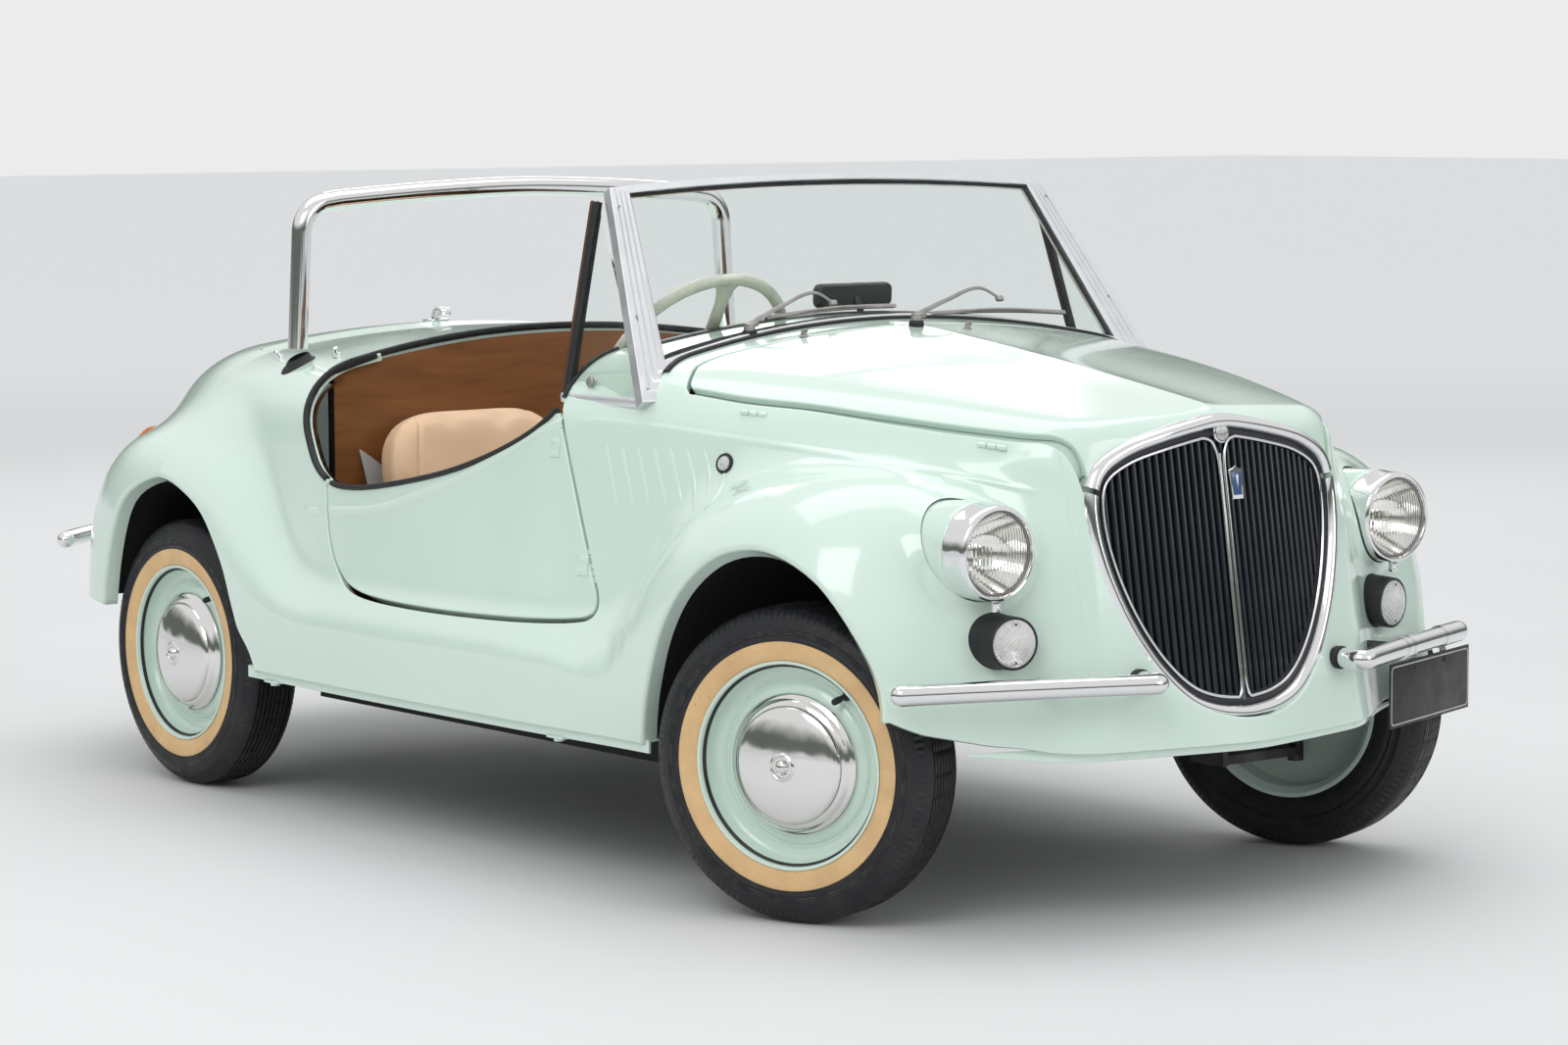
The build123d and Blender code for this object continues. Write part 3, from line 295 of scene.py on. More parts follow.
def spline(points, n, closed=False):
    """n points along a smooth line through the given ones, evenly spaced."""
    pts = np.array(points, float)
    if closed:
        pts = np.vstack([pts[-2:], pts, pts[:3]])
    else:
        pts = np.vstack([2 * pts[0] - pts[1], pts, 2 * pts[-1] - pts[-2]])
    out = []
    for i in range(1, len(pts) - 2):
        p0, p1, p2, p3 = pts[i - 1:i + 3]
        k = [np.linalg.norm(b - a) ** 0.5 + 1e-9 for a, b in ((p0, p1), (p1, p2), (p2, p3))]
        m1 = (p2 - p1 + k[1] * ((p1 - p0) / k[0] - (p2 - p0) / (k[0] + k[1])))
        m2 = (p2 - p1 + k[1] * ((p3 - p2) / k[2] - (p3 - p1) / (k[1] + k[2])))
        t = np.linspace(0, 1, 24, endpoint=False)[:, None]
        out.append((2 * t ** 3 - 3 * t ** 2 + 1) * p1 + (t ** 3 - 2 * t ** 2 + t) * m1
                   + (-2 * t ** 3 + 3 * t ** 2) * p2 + (t ** 3 - t ** 2) * m2)
        if closed and i == len(pts) - 4:
            break
    if closed:
        out = out[1:] if len(out) > len(points) else out
    line = np.vstack(out + [pts[-2][None] if not closed else out[0][:1]])
    d = np.r_[0, np.cumsum(np.linalg.norm(np.diff(line, axis=0), axis=1))]
    at = np.linspace(0, d[-1], n, endpoint=not closed)
    return np.stack([np.interp(at, d, line[:, k]) for k in range(line.shape[1])], -1)


def inside(u, v, polygon):
    """Signed distance of points (u, v) to a closed outline: negative inside."""
    poly = np.asarray(polygon, float)
    best = np.full(u.shape, 1e18)
    odd = np.zeros(u.shape, bool)
    for (ax, ay), (bx, by) in zip(poly, np.roll(poly, -1, axis=0)):
        ex, ey = bx - ax, by - ay
        t = np.clip(((u - ax) * ex + (v - ay) * ey) / (ex * ex + ey * ey + 1e-12), 0, 1)
        best = np.minimum(best, (u - ax - t * ex) ** 2 + (v - ay - t * ey) ** 2)
        odd ^= ((ay > v) != (by > v)) & (u < (bx - ax) * (v - ay) / (by - ay + 1e-12) + ax)
    return np.where(odd, -1, 1) * np.sqrt(best)


# ------------------------------------------------------------------ mesh building
class Shape:
    """Vertices in millimetres, faces, and each face's material number and optional normals."""

    def __init__(self):
        self.v, self.n, self.f, self.m = [], [], [], []

    def add(self, verts, faces, mat=0, normals=None, place=None):
        verts = np.asarray(verts, float).reshape(-1, 3)
        normals = (np.zeros_like(verts) if normals is None
                   else np.asarray(normals, float).reshape(-1, 3))
        return self.append(verts, normals, faces, [mat] * len(faces), place)

    def append(self, verts, normals, faces, mats, place):
        if place is not None:
            verts = verts @ place[:3, :3].T + place[:3, 3]
            normals = normals @ place[:3, :3].T
        base = sum(len(a) for a in self.v)
        self.v.append(verts)
        self.n.append(normals)
        self.f += [[base + i for i in face] for face in faces]
        self.m += mats
        return self

    def grid(self, points, mat=0, place=None, normals=None, **wrap):
        """Adds a mesh over rows of points, shape (rows, columns, 3)."""
        return self.add(points, grid_faces(*points.shape[:2], **wrap), mat, normals, place)

    def loft(self, rings, mat=0, place=None, **wrap):
        """Adds a mesh through matched rings of points."""
        return self.grid(np.stack(rings, 1), mat, place, **wrap)

    def join(self, other, place=None):
        """Adds another shape; a placing that mirrors it turns its faces round."""
        turned_over = place is not None and np.linalg.det(place[:3, :3]) < 0
        faces = [face[::-1] for face in other.f] if turned_over else other.f
        return self.append(np.vstack(other.v), np.vstack(other.n), faces, other.m, place)

    def mirrored(self):
        return Shape().join(self, np.diag([1, -1, 1, 1]))

    def make(self, name, body, mats, slot=None, replaces=(), sharp=38):
        """Turns the shape into a scene object that rides on one body of the frame."""
        verts, normals = np.vstack(self.v), np.vstack(self.n)
        mesh = bpy.data.meshes.new(name)
        mesh.from_pydata((verts * MM).tolist(), [], self.f)
        mesh.update()
        for m in mats:
            mesh.materials.append(material(m))
        mesh.polygons.foreach_set("material_index", self.m)
        mesh.polygons.foreach_set("use_smooth", [True] * len(mesh.polygons))
        has = np.linalg.norm(normals, axis=1) > 0.5
        if has.any():
            mesh.normals_split_custom_set_from_vertices(normals.tolist())
        elif sharp:
            mesh.set_sharp_from_angle(angle=math.radians(sharp))
        obj = bpy.data.objects.new(name, mesh)
        bpy.context.scene.collection.objects.link(obj)
        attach(obj, body)
        if replaces:
            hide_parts(*replaces)
        return obj


def grid_faces(n, m, wrap_n=False, wrap_m=False, flip=False):
    """Quads over n rows of m points, closed round the rows or the columns on request."""
    i, j = np.meshgrid(np.arange(n if wrap_n else n - 1), np.arange(m if wrap_m else m - 1),
                       indexing="ij")
    a, b = i.ravel(), j.ravel()
    c, d = (a + 1) % n, (b + 1) % m
    quads = np.stack([a * m + b, c * m + b, c * m + d, a * m + d], -1)
    return (quads[:, ::-1] if flip else quads).tolist()


def lathe(profile, n=72, closed=False):
    """Turns (radius, along) points about the X axis of its own frame."""
    r, x = np.asarray(profile, float).T
    a = np.radians(np.linspace(0, 360, n, endpoint=False))[:, None]
    v = xyz(x, r * np.cos(a), r * np.sin(a))
    return v.reshape(-1, 3), grid_faces(n, len(x), wrap_n=True, wrap_m=closed)


def sweep(path, profile, ups=None, closed=False, caps=True, scale=None):
    """Carries a closed (sideways, up) profile along a path; ups are the path's up vectors."""
    path = np.asarray(path, float)
    prof = np.asarray(profile, float)
    ahead = np.roll(path, -1, 0) - np.roll(path, 1, 0)
    if not closed:
        ahead[0], ahead[-1] = path[1] - path[0], path[-1] - path[-2]
    ahead /= np.linalg.norm(ahead, axis=1)[:, None]
    if ups is None:
        up = np.array([0, 0, 1.0]) if abs(ahead[0][2]) < 0.9 else np.array([1.0, 0, 0])
        ups = []
        for t in ahead:
            up = up - t * (up @ t)
            up /= np.linalg.norm(up)
            ups.append(up)
    ups = np.broadcast_to(np.asarray(ups, float), path.shape)
    ups = ups - ahead * (ups * ahead).sum(1)[:, None]
    ups = ups / np.linalg.norm(ups, axis=1)[:, None]
    aside = np.cross(ahead, ups)
    k = np.ones(len(path)) if scale is None else np.asarray(scale, float)
    v = (path[:, None] + k[:, None, None] * (aside[:, None] * prof[None, :, :1]
                                              + ups[:, None] * prof[None, :, 1:]))
    n, m = len(path), len(prof)
    faces = grid_faces(n, m, wrap_n=closed, wrap_m=True, flip=True)
    if caps and not closed:
        faces += [list(range(m)), list(range(n * m - 1, n * m - m - 1, -1))]
    return v.reshape(-1, 3), faces


def swept(path, profile, mat=0, place=None, **how):
    return Shape().add(*sweep(path, profile, **how), mat, place=place)


def ring(radius, n=16, squash=1.0):
    """A circle as a closed profile, or an ellipse that is squashed in height."""
    a = np.linspace(0, 2 * np.pi, n, endpoint=False)
    return np.stack([radius * np.cos(a), radius * squash * np.sin(a)], -1)


def rounded(width, height, radius, n=5):
    """A rounded rectangle as a closed profile."""
    out = []
    for cx, cy, start in ((1, 1, 0), (-1, 1, 90), (-1, -1, 180), (1, -1, 270)):
        a = np.radians(np.linspace(start, start + 90, n))
        out.append(np.stack([cx * (width / 2 - radius) + radius * np.cos(a),
                             cy * (height / 2 - radius) + radius * np.sin(a)], -1))
    return np.vstack(out)


def bevelled_box(size, radius):
    bm = bmesh.new()
    bmesh.ops.create_cube(bm, size=1)
    bmesh.ops.scale(bm, vec=size, verts=bm.verts)
    bmesh.ops.bevel(bm, geom=bm.edges[:], offset=radius, segments=2, affect="EDGES", profile=0.5)
    bm.verts.index_update()
    out = [tuple(v.co) for v in bm.verts], [[v.index for v in f.verts] for f in bm.faces]
    bm.free()
    return out


def facing(origin, ahead, up=(0, 0, 1)):
    """A placing matrix: its own +X points ahead and +Z as nearly up as it can."""
    x = unit(ahead)
    y = unit(np.cross(np.asarray(up, float), x))
    m = np.eye(4)
    m[:3, 0], m[:3, 1], m[:3, 2], m[:3, 3] = x, y, np.cross(x, y), origin
    return m


def domed(radius, rise, n=6):
    """Profile of a shallow dome from its rim to its crown."""
    t = np.linspace(0, np.pi / 2, n)
    return [(radius * np.cos(a), rise * np.sin(a)) for a in t]


def screw(radius=5.0, height=2.5):
    """A domed screw head, along +X."""
    return turned([(radius, 0)] + domed(radius, height)[:-1] + [(0.01, height)], n=16)


# ------------------------------------------------------------------ panels cut from the surface
class Panel:
    """A sheet of the body's surface that is clipped to outlines and given rolled edges."""

    def __init__(self, rays):
        p = surface(rays)
        n = outward(p)
        rows, cols = p.shape[:2]
        self.v, self.n = p.reshape(-1, 3), n.reshape(-1, 3)
        self.cut = np.zeros(len(self.v))
        self.f = grid_faces(rows, cols)
        a, b, c = (self.v[self.f[0][k]] for k in (0, 1, 2))
        if np.cross(b - a, c - a) @ self.n[self.f[0][0]] < 0:
            self.f = [face[::-1] for face in self.f]

    def keep(self, field, edge=3.0):
        """Keeps where field(v) < 0; the edge it makes is rolled over this radius, 0 for a seam."""
        f = field(self.v)
        v, n, cut = list(self.v), list(self.n), list(self.cut)
        f = list(f)
        sign = [q < 0 for q in f]
        made, moved, faces = {}, {}, []
        for face in self.f:
            flags = [sign[i] for i in face]
            if all(flags):
                faces.append(face)
                continue
            if not any(flags):
                continue
            out = []
            for a, b in zip(face, face[1:] + face[:1]):
                if sign[a]:
                    out.append(a)
                if sign[a] != sign[b]:
                    key = (a, b) if a < b else (b, a)
                    if key not in made:
                        lo, hi = (a, b) if sign[a] else (b, a)
                        t = f[lo] / (f[lo] - f[hi])
                        p = v[lo] + t * (v[hi] - v[lo])
                        q = n[lo] + t * (n[hi] - n[lo])
                        if t < 0.15 or t > 0.85:
                            made[key] = lo if t < 0.15 else hi
                            moved[made[key]] = (p, q)
                        else:
                            made[key] = len(v)
                            v.append(p)
                            n.append(q)
                            cut.append(edge)
                    out.append(made[key])
            slim = [i for k, i in enumerate(out) if i != out[k - 1]]
            if len(set(slim)) > 2:
                faces.append(slim)
        for i, (p, q) in moved.items():
            v[i], n[i] = p, q
            cut[i] = max(cut[i], edge)
        self.v, self.n, self.cut, self.f = np.array(v), np.array(n), np.array(cut), faces
        self.n /= np.linalg.norm(self.n, axis=1)[:, None]
        return self

    def used(self):
        """The points that faces still use, with their normals and cuts, and those faces."""
        used = sorted({i for f in self.f for i in f})
        index = {old: new for new, old in enumerate(used)}
        faces = [[index[i] for i in f] for f in self.f]
        return self.v[used], self.n[used], self.cut[used], faces

    def card(self, depth, band):
        """A lining card this deep behind the skin, with a second finish along the rim."""
        v, n, _, faces = self.used()
        rim = np.interp(v[:, 0], RIM_LINE[::-1, 0], RIM_LINE[::-1, 1])
        shape = Shape().add(v - depth * n, [f[::-1] for f in faces], 0, -n)
        shape.m = [int(np.mean([rim[i] - v[i, 2] for i in f[::-1]]) < band) for f in faces]
        return shape

    def shape(self, back=None):
        """The clipped sheet with its cut edges rolled over and turned in; back closes it."""
        v, n, cut, faces = self.used()
        edges = {}
        for face in faces:
            for a, b in zip(face, face[1:] + face[:1]):
                edges[(a, b)] = edges.get((a, b), 0) + 1
        border = [(a, b) for a, b in edges if (b, a) not in edges and cut[a] > 0 and cut[b] > 0]
        out = np.zeros_like(v)
        for a, b in border:
            way = np.cross(v[b] - v[a], n[a] + n[b])
            length = np.linalg.norm(way)
            if length > 1e-9:
                out[a] += way / length
                out[b] += way / length
        rim = sorted({i for e in border for i in e})
        o = out[rim]
        o = o - n[rim] * (o * n[rim]).sum(1)[:, None]
        o /= np.maximum(np.linalg.norm(o, axis=1), 1e-9)[:, None]
        shape = Shape()
        shape.add(v, faces, 0, n)
        rows_v, rows_n = [], []
        radius = cut[rim][:, None]
        depth = 3 * radius + 5 if back is None else back
        for a in (30, 60, 90):
            s, c = math.sin(math.radians(a)), math.cos(math.radians(a))
            rows_v.append(v[rim] + radius * (s * o - (1 - c) * n[rim]))
            rows_n.append(s * o + c * n[rim])
        rows_v.append(v[rim] + radius * o - depth * n[rim])
        rows_n.append(o)
        base, place, count = len(v), {i: k for k, i in enumerate(rim)}, len(rim)
        sheet, faces = faces, []
        for a, b in border:
            line_a = [a] + [base + r * count + place[a] for r in range(4)]
            line_b = [b] + [base + r * count + place[b] for r in range(4)]
            for r in range(4):
                faces.append([line_b[r], line_a[r], line_a[r + 1], line_b[r + 1]])
        shape.v.append(np.vstack(rows_v))
        shape.n.append(np.vstack(rows_n))
        shape.f += faces
        shape.m += [0] * len(faces)
        if back is not None:
            shape.add(v - back * n, [f[::-1] for f in sheet], 0, -n)
        return shape


def side_outline(points, grow=0.0):
    return lambda v: inside(v[:, 0], v[:, 2], points) - grow


def plan_outline(points, grow=0.0):
    return lambda v: inside(v[:, 0], v[:, 1], points) - grow


def face_outline(points, grow=0.0):
    return lambda v: inside(v[:, 1], v[:, 2], points) - grow


def without(field):
    return lambda v: -field(v)


def above(axis, value):
    return lambda v: value - v[:, axis]


def below(axis, value):
    return lambda v: v[:, axis] - value


def any_of(*fields):
    return lambda v: np.minimum.reduce([f(v) for f in fields])


def all_of(*fields):
    return lambda v: np.maximum.reduce([f(v) for f in fields])


EDGE = 3.0
LIP = 9.0
RIM_LINE = spline(RIM, 90)
DOOR_OUTLINE = np.vstack([spline(DOOR_EDGE, 120), RIM_LINE[(RIM_LINE[:, 0] > rear(550))
                                                           & (RIM_LINE[:, 0] < front(-602))][::-1]])
COCKPIT = np.vstack([RIM_LINE, [(rear(415), 1400), (front(-600), 1400)]])
SHUT = spline(SHUT_LINE, 60)
LID_SIDE = np.vstack([[(LID_REAR - 4, -250), (LID_REAR - 3, -420), (LID_REAR + 8, -490),
                       (front(-350), -527)], SHUT, [(front(372), -262), (front(440), -262)]])
LID = np.vstack([LID_SIDE, (LID_SIDE * (1, -1))[::-1]])
SHIELD_RIGHT = spline([(0, 806), (-30, 803)] + GRILLE[1:-1] + [(-30, 321), (0, 320)], 120)
SHIELD = np.vstack([SHIELD_RIGHT, (SHIELD_RIGHT * (-1, 1))[::-1][1:-1]])
BELOW_FRONT = [(front(250), 0), (front(250), 362), (front(290), 330), (front(330), 306),
               (front(372), 291), (front(400), 288), (front(700), 288), (front(700), 0)]
ENGINE_OUTLINE = spline(ENGINE_LID, 140, closed=True)
DECK_EDGE_X = rear(415)
DECK_BOW = 45


def deck_front(v):
    """Negative behind the deck's bowed front edge."""
    return v[:, 0] - (DECK_EDGE_X - DECK_BOW * (1 - (v[:, 1] / 490) ** 2))


def flank():
    """The right side from the nose to the tail, without the door, arches, cockpit and lid."""
    panel = Panel(side_rays(np.linspace(0.005, 0.995, 330),
                            np.linspace(SILL_Z - 6, RAY_HEIGHT + 6 * 60, 84)))
    seam = any_of(above(1, -NOSE_SEAM), all_of(below(0, rear(600)), above(1, -CENTRE_SEAM)),
                  all_of(above(0, front(-640)), below(0, LID_REAR), above(1, -SCUTTLE_SEAM),
                         above(2, 700)))
    panel.keep(without(seam), edge=0)
    panel.keep(without(side_outline(BELOW_FRONT, EDGE)))
    panel.keep(above(2, SILL_Z + EDGE))
    panel.keep(without(all_of(below(0, rear(-200)), below(2, 332 + EDGE))))
    panel.keep(without(all_of(plan_outline(LID, EDGE), above(2, 690))))
    panel.keep(without(all_of(face_outline(SHIELD, EDGE - 8), above(0, front(280)))))
    panel.keep(without(side_outline(COCKPIT, EDGE)))
    panel.keep(without(side_outline(DOOR_OUTLINE, DOOR_GAP + EDGE)))
    for arch in (ARCH_FRONT, ARCH_REAR):
        panel.keep(without(side_outline(spline(arch, 120), LIP)), edge=LIP)
    return panel


def nose():
    panel = Panel(ahead_rays(*np.meshgrid(np.linspace(-NOSE_SEAM, NOSE_SEAM, 76),
                                          np.linspace(264, 772, 64), indexing="ij")))
    panel.keep(without(side_outline(BELOW_FRONT, EDGE)))
    panel.keep(without(face_outline(SHIELD, EDGE - 8)))
    return panel.keep(without(all_of(plan_outline(LID, EDGE), above(2, 690))))


def deck():
    panel = Panel(top_rays(np.linspace(rear(-60) - 6 * 112, rear(430), 150),
                           np.linspace(-CENTRE_SEAM, CENTRE_SEAM, 100)))
    panel.keep(above(2, 332 + EDGE))
    panel.keep(without(all_of(face_outline(ENGINE_OUTLINE, LID_GAP + EDGE), below(0, rear(-150)))))
    return panel.keep(lambda v: deck_front(v) + EDGE)


def engine_cover():
    panel = Panel(top_rays(np.linspace(rear(-60) - 6 * 112, rear(-140), 110),
                           np.linspace(-290, 290, 80)))
    return panel.keep(all_of(face_outline(ENGINE_OUTLINE, -EDGE), below(0, rear(-150))))


def scuttle():
    panel = Panel(top_rays(np.linspace(front(-590), front(-340), 50),
                           np.linspace(-SCUTTLE_SEAM, SCUTTLE_SEAM, 120)))
    panel.keep(above(0, front(-570)))
    return panel.keep(without(plan_outline(LID, EDGE)))


def lid():
    taper = lambda s: np.interp(s, [front(-400), front(240), front(600)], [1.0, 0.66, 0.55])
    panel = Panel(top_rays(np.linspace(front(-410), front(240) + 6 * 55, 190),
                           np.linspace(-575, 575, 150), taper))
    panel.keep(plan_outline(LID, -LID_GAP - EDGE))
    panel.keep(above(2, 703 + EDGE))
    return panel.keep(without(all_of(face_outline(SHIELD, EDGE - 8), above(0, front(280)))))


def door():
    panel = Panel(side_rays(np.linspace(0.25, 0.72, 130), np.linspace(420, RAY_HEIGHT + 6 * 36, 66)))
    return panel.keep(side_outline(DOOR_OUTLINE, -EDGE))


def side_strip(path, half, profile, lift, side=-1, taper=None):
    """A soft ridge on the flank along (x, z) points; profile(t) is its height, t from -1 to 1."""
    path = np.asarray(path, float)
    way = unit(np.gradient(path, axis=0))
    across = np.stack([-way[:, 1], way[:, 0]], -1)
    t = np.linspace(-1, 1, 13)
    flat = path[:, None] + half * t[None, :, None] * across[:, None]
    p = side_hit(flat[..., 0], flat[..., 1], side)
    n = outward(p)
    k = np.ones(len(path)) if taper is None else np.asarray(taper)
    p = p + (0.15 + lift * k[:, None] * profile(t)[None])[..., None] * n
    along, over = np.gradient(p, axis=0), np.gradient(p, axis=1)
    normal = unit(np.cross(along, over))
    flip = (normal * n).sum() < 0
    return Shape().grid(p, normals=-normal if flip else normal, flip=flip)


def bump(t):
    """A soft ridge's section, 1 in the middle and 0 at t = -1 and 1."""
    return np.cos(np.clip(t, -1, 1) * np.pi / 2) ** 2


def ended(n, share=0.12):
    """Tapers that rise and fall smoothly at the two ends of a path."""
    t = np.linspace(0, 1, n)
    return eased(t, 0, share) * eased(-t, -1, -1 + share)
# ------------------------------------------------------------------ shared effects
def group(name, inputs, outputs):
    """An empty shader group with float inputs (name, default) and float outputs: g, in and out."""
    tree = bpy.data.node_groups.new(name, "ShaderNodeTree")
    for label, default in inputs:
        s = tree.interface.new_socket(name=label, in_out="INPUT", socket_type="NodeSocketFloat")
        s.default_value = default
    for label in outputs:
        tree.interface.new_socket(name=label, in_out="OUTPUT", socket_type="NodeSocketFloat")
    return (Graph(tree), tree.nodes.new("NodeGroupInput").outputs,
            tree.nodes.new("NodeGroupOutput").inputs)


class Graph:
    """Short names for the nodes of one tree."""

    def __init__(self, tree):
        self.tree = tree

    def node(self, kind, links=(), **settings):
        n = self.tree.nodes.new("ShaderNode" + kind)
        for key, value in settings.items():
            setattr(n, key, value)
        for socket, source in dict(links).items():
            self.put(n.inputs[socket], source)
        return n

    def put(self, socket, source):
        """Links a socket to a node's first output or to a socket, or gives it a plain value."""
        if isinstance(source, bpy.types.NodeSocket):
            self.tree.links.new(source, socket)
        elif isinstance(source, bpy.types.Node):
            self.tree.links.new(source.outputs[0], socket)
        else:
            socket.default_value = source

    def math(self, op, a, b=0.0, clamp=False):
        return self.node("Math", {0: a, 1: b}, operation=op, use_clamp=clamp).outputs[0]

    def times(self, a, b, clamp=False):
        return self.math("MULTIPLY", a, b, clamp)

    def noise(self, scale, where, detail=3.0, rough=0.5, distortion=0.0):
        n = self.node("TexNoise", {"Vector": where, "Scale": scale, "Detail": detail,
                                   "Roughness": rough, "Distortion": distortion})
        return n.outputs["Fac"]

    def span(self, value, low, high, to_low=0.0, to_high=1.0):
        return self.node("MapRange", {"Value": value, "From Min": low, "From Max": high,
                                      "To Min": to_low, "To Max": to_high}).outputs[0]

    def mix(self, fac, a, b):
        n = self.tree.nodes.new("ShaderNodeMix")
        n.data_type = "RGBA"
        for socket, source in ((0, fac), (6, a), (7, b)):
            self.put(n.inputs[socket], source)
        return n.outputs[2]

    def place(self):
        return self.node("TexCoord").outputs["Object"]

    def stretched(self, where, scale):
        return self.node("Mapping", {"Vector": where, "Scale": scale}).outputs[0]

    def cells(self, where, scale):
        return self.node("TexVoronoi", {"Vector": where, "Scale": scale},
                         feature="DISTANCE_TO_EDGE").outputs["Distance"]

    def bump(self, height, strength, distance):
        return self.node("Bump", {"Height": height, "Strength": strength, "Distance": distance})

    def use(self, name, **values):
        """Places a shared effect with its own values, and gives its outputs."""
        n = self.tree.nodes.new("ShaderNodeGroup")
        n.node_tree = effect(name)
        for key, value in values.items():
            self.put(n.inputs[key], value)
        return n.outputs

    def finish(self, colour, rough, height, strength, distance):
        """Wires colour, roughness and bump into the shader, and gives the material."""
        if colour is not None:
            self.put(self.bsdf.inputs["Base Color"], colour)
        self.put(self.bsdf.inputs["Roughness"], rough)
        self.put(self.bsdf.inputs["Normal"], self.bump(height, strength, distance))
        return self.mat


def dust_group():
    """Road dust: more on low faces, broken up by noise. Puts out a mask."""
    g, given, out = group("road dust", [("Amount", 0.5), ("Height", 0.4)], ["Mask"])
    pos = g.node("NewGeometry").outputs["Position"]
    z = g.node("SeparateXYZ", {0: pos}).outputs[2]
    low = g.math("SUBTRACT", 1.0, g.math("DIVIDE", z, given["Height"]), clamp=True)
    patch = g.span(g.noise(9.0, pos, 5.0, 0.62), 0.42, 0.75)
    fine = g.span(g.noise(260.0, pos, 2.0), 0.35, 0.8, 0.4, 1.0)
    g.put(out[0], g.times(g.times(g.times(low, patch), fine), given["Amount"], clamp=True))
    return g.tree


def wear_group():
    """Rubbed edges, from pointiness and noise. Puts out a mask."""
    g, given, out = group("edge wear", [("Amount", 0.5), ("Scale", 60.0)], ["Mask"])
    geo = g.node("NewGeometry").outputs
    point = g.span(geo["Pointiness"], 0.52, 0.62)
    spots = g.span(g.noise(given["Scale"], geo["Position"], 4.0, 0.6), 0.45, 0.6)
    g.put(out[0], g.times(g.times(point, spots), given["Amount"], clamp=True))
    return g.tree


def grain_group():
    """Pebbled skin or moulded texture: cells with soft folds. Puts out a height and a mask."""
    g, given, out = group("pebbled grain", [("Scale", 500.0), ("Fold", 0.3)], ["Height", "Mask"])
    where = g.place()
    warp = g.node("TexNoise", {"Vector": where, "Scale": g.times(given["Scale"], 0.35)})
    moved = g.node("MixRGB", {"Fac": 0.006, "Color1": where, "Color2": warp.outputs["Color"]},
                   blend_type="ADD")
    pebble = g.span(g.cells(moved, given["Scale"]), 0.0, 0.28)
    fold = g.times(g.noise(18.0, where, 4.0, 0.55, 0.6), given["Fold"])
    g.put(out[0], g.math("ADD", pebble, fold))
    g.put(out[1], g.span(g.noise(7.0, where, 3.0), 0.35, 0.7))
    return g.tree


def smudge_group():
    """Slow changes of gloss, as polishing leaves them. Puts out a roughness."""
    g, given, out = group("polish marks", [("Base", 0.1), ("Range", 0.08), ("Scale", 8.0)],
                          ["Roughness"])
    where = g.place()
    wide = g.span(g.noise(given["Scale"], where, 4.0, 0.6), 0.35, 0.75)
    fine = g.span(g.noise(g.times(given["Scale"], 23.0), where, 2.0), 0.3, 0.8)
    both = g.times(g.math("ADD", wide, g.times(fine, 0.5)), given["Range"])
    g.put(out[0], g.math("ADD", both, given["Base"]))
    return g.tree


def streak_group():
    """Drawn or extruded metal: long fine lines along one axis of the piece. Puts out a height."""
    g, given, out = group("drawn lines", [("Across", 900.0), ("Along", 6.0)], ["Height"])
    scale = g.node("CombineXYZ", {0: given["Across"], 1: given["Across"], 2: given["Along"]})
    g.put(out[0], g.noise(1.0, g.stretched(g.place(), scale), 2.0))
    return g.tree


EFFECTS = {}


def effect(name):
    """The shared effect of this name, built once."""
    if name not in EFFECTS:
        EFFECTS[name] = {"dust": dust_group, "wear": wear_group, "grain": grain_group,
                         "smudge": smudge_group, "streak": streak_group}[name]()
    return EFFECTS[name]


# ------------------------------------------------------------------ materials
PALE_DUST = (0.55, 0.53, 0.49, 1)
MATERIALS = {}


def shade(name, **sockets):
    """A new material's graph, with plain values on the Principled shader's own sockets."""
    mat = bpy.data.materials.new(name)
    mat.use_nodes = True
    g = Graph(mat.node_tree)
    g.mat, g.bsdf = mat, mat.node_tree.nodes["Principled BSDF"]
    for key, value in sockets.items():
        g.put(g.bsdf.inputs[key.replace("_", " ")], value)
    return g


def toned(colour, factor, lift=0.0):
    """The colour made lighter or darker, by one factor or by one for each channel."""
    factors = factor if isinstance(factor, tuple) else (factor,) * 3
    return tuple(min(1, c * k + lift) for c, k in zip(colour, factors)) + (1,)


def paint(name, colour, dust, dust_height, base=0.10):
    """Gloss enamel under clear coat: orange peel, polish marks, dust low down, rubbed edges."""
    g = shade(name, Coat_Weight=0.6, Coat_Roughness=0.05, IOR=1.5)
    where = g.place()
    deep = toned(colour, (0.93, 0.95, 0.94))
    tone = g.mix(g.span(g.noise(2.2, where, 3.0), 0.3, 0.7), deep, colour)
    tone = g.mix(g.use("wear", Amount=0.35, Scale=140.0)[0], tone, (0.52, 0.60, 0.54, 1))
    dirt = g.use("dust", Amount=dust, Height=dust_height)[0]
    marks = g.use("smudge", Base=base, Range=0.09, Scale=5.0)[0]
    g.put(g.bsdf.inputs["Coat Weight"], g.math("SUBTRACT", 0.6, dirt, clamp=True))
    return g.finish(g.mix(dirt, tone, PALE_DUST),
                    g.math("ADD", marks, g.times(dirt, 0.5), clamp=True),
                    g.noise(420.0, where, 1.5), 0.04, 0.0004)


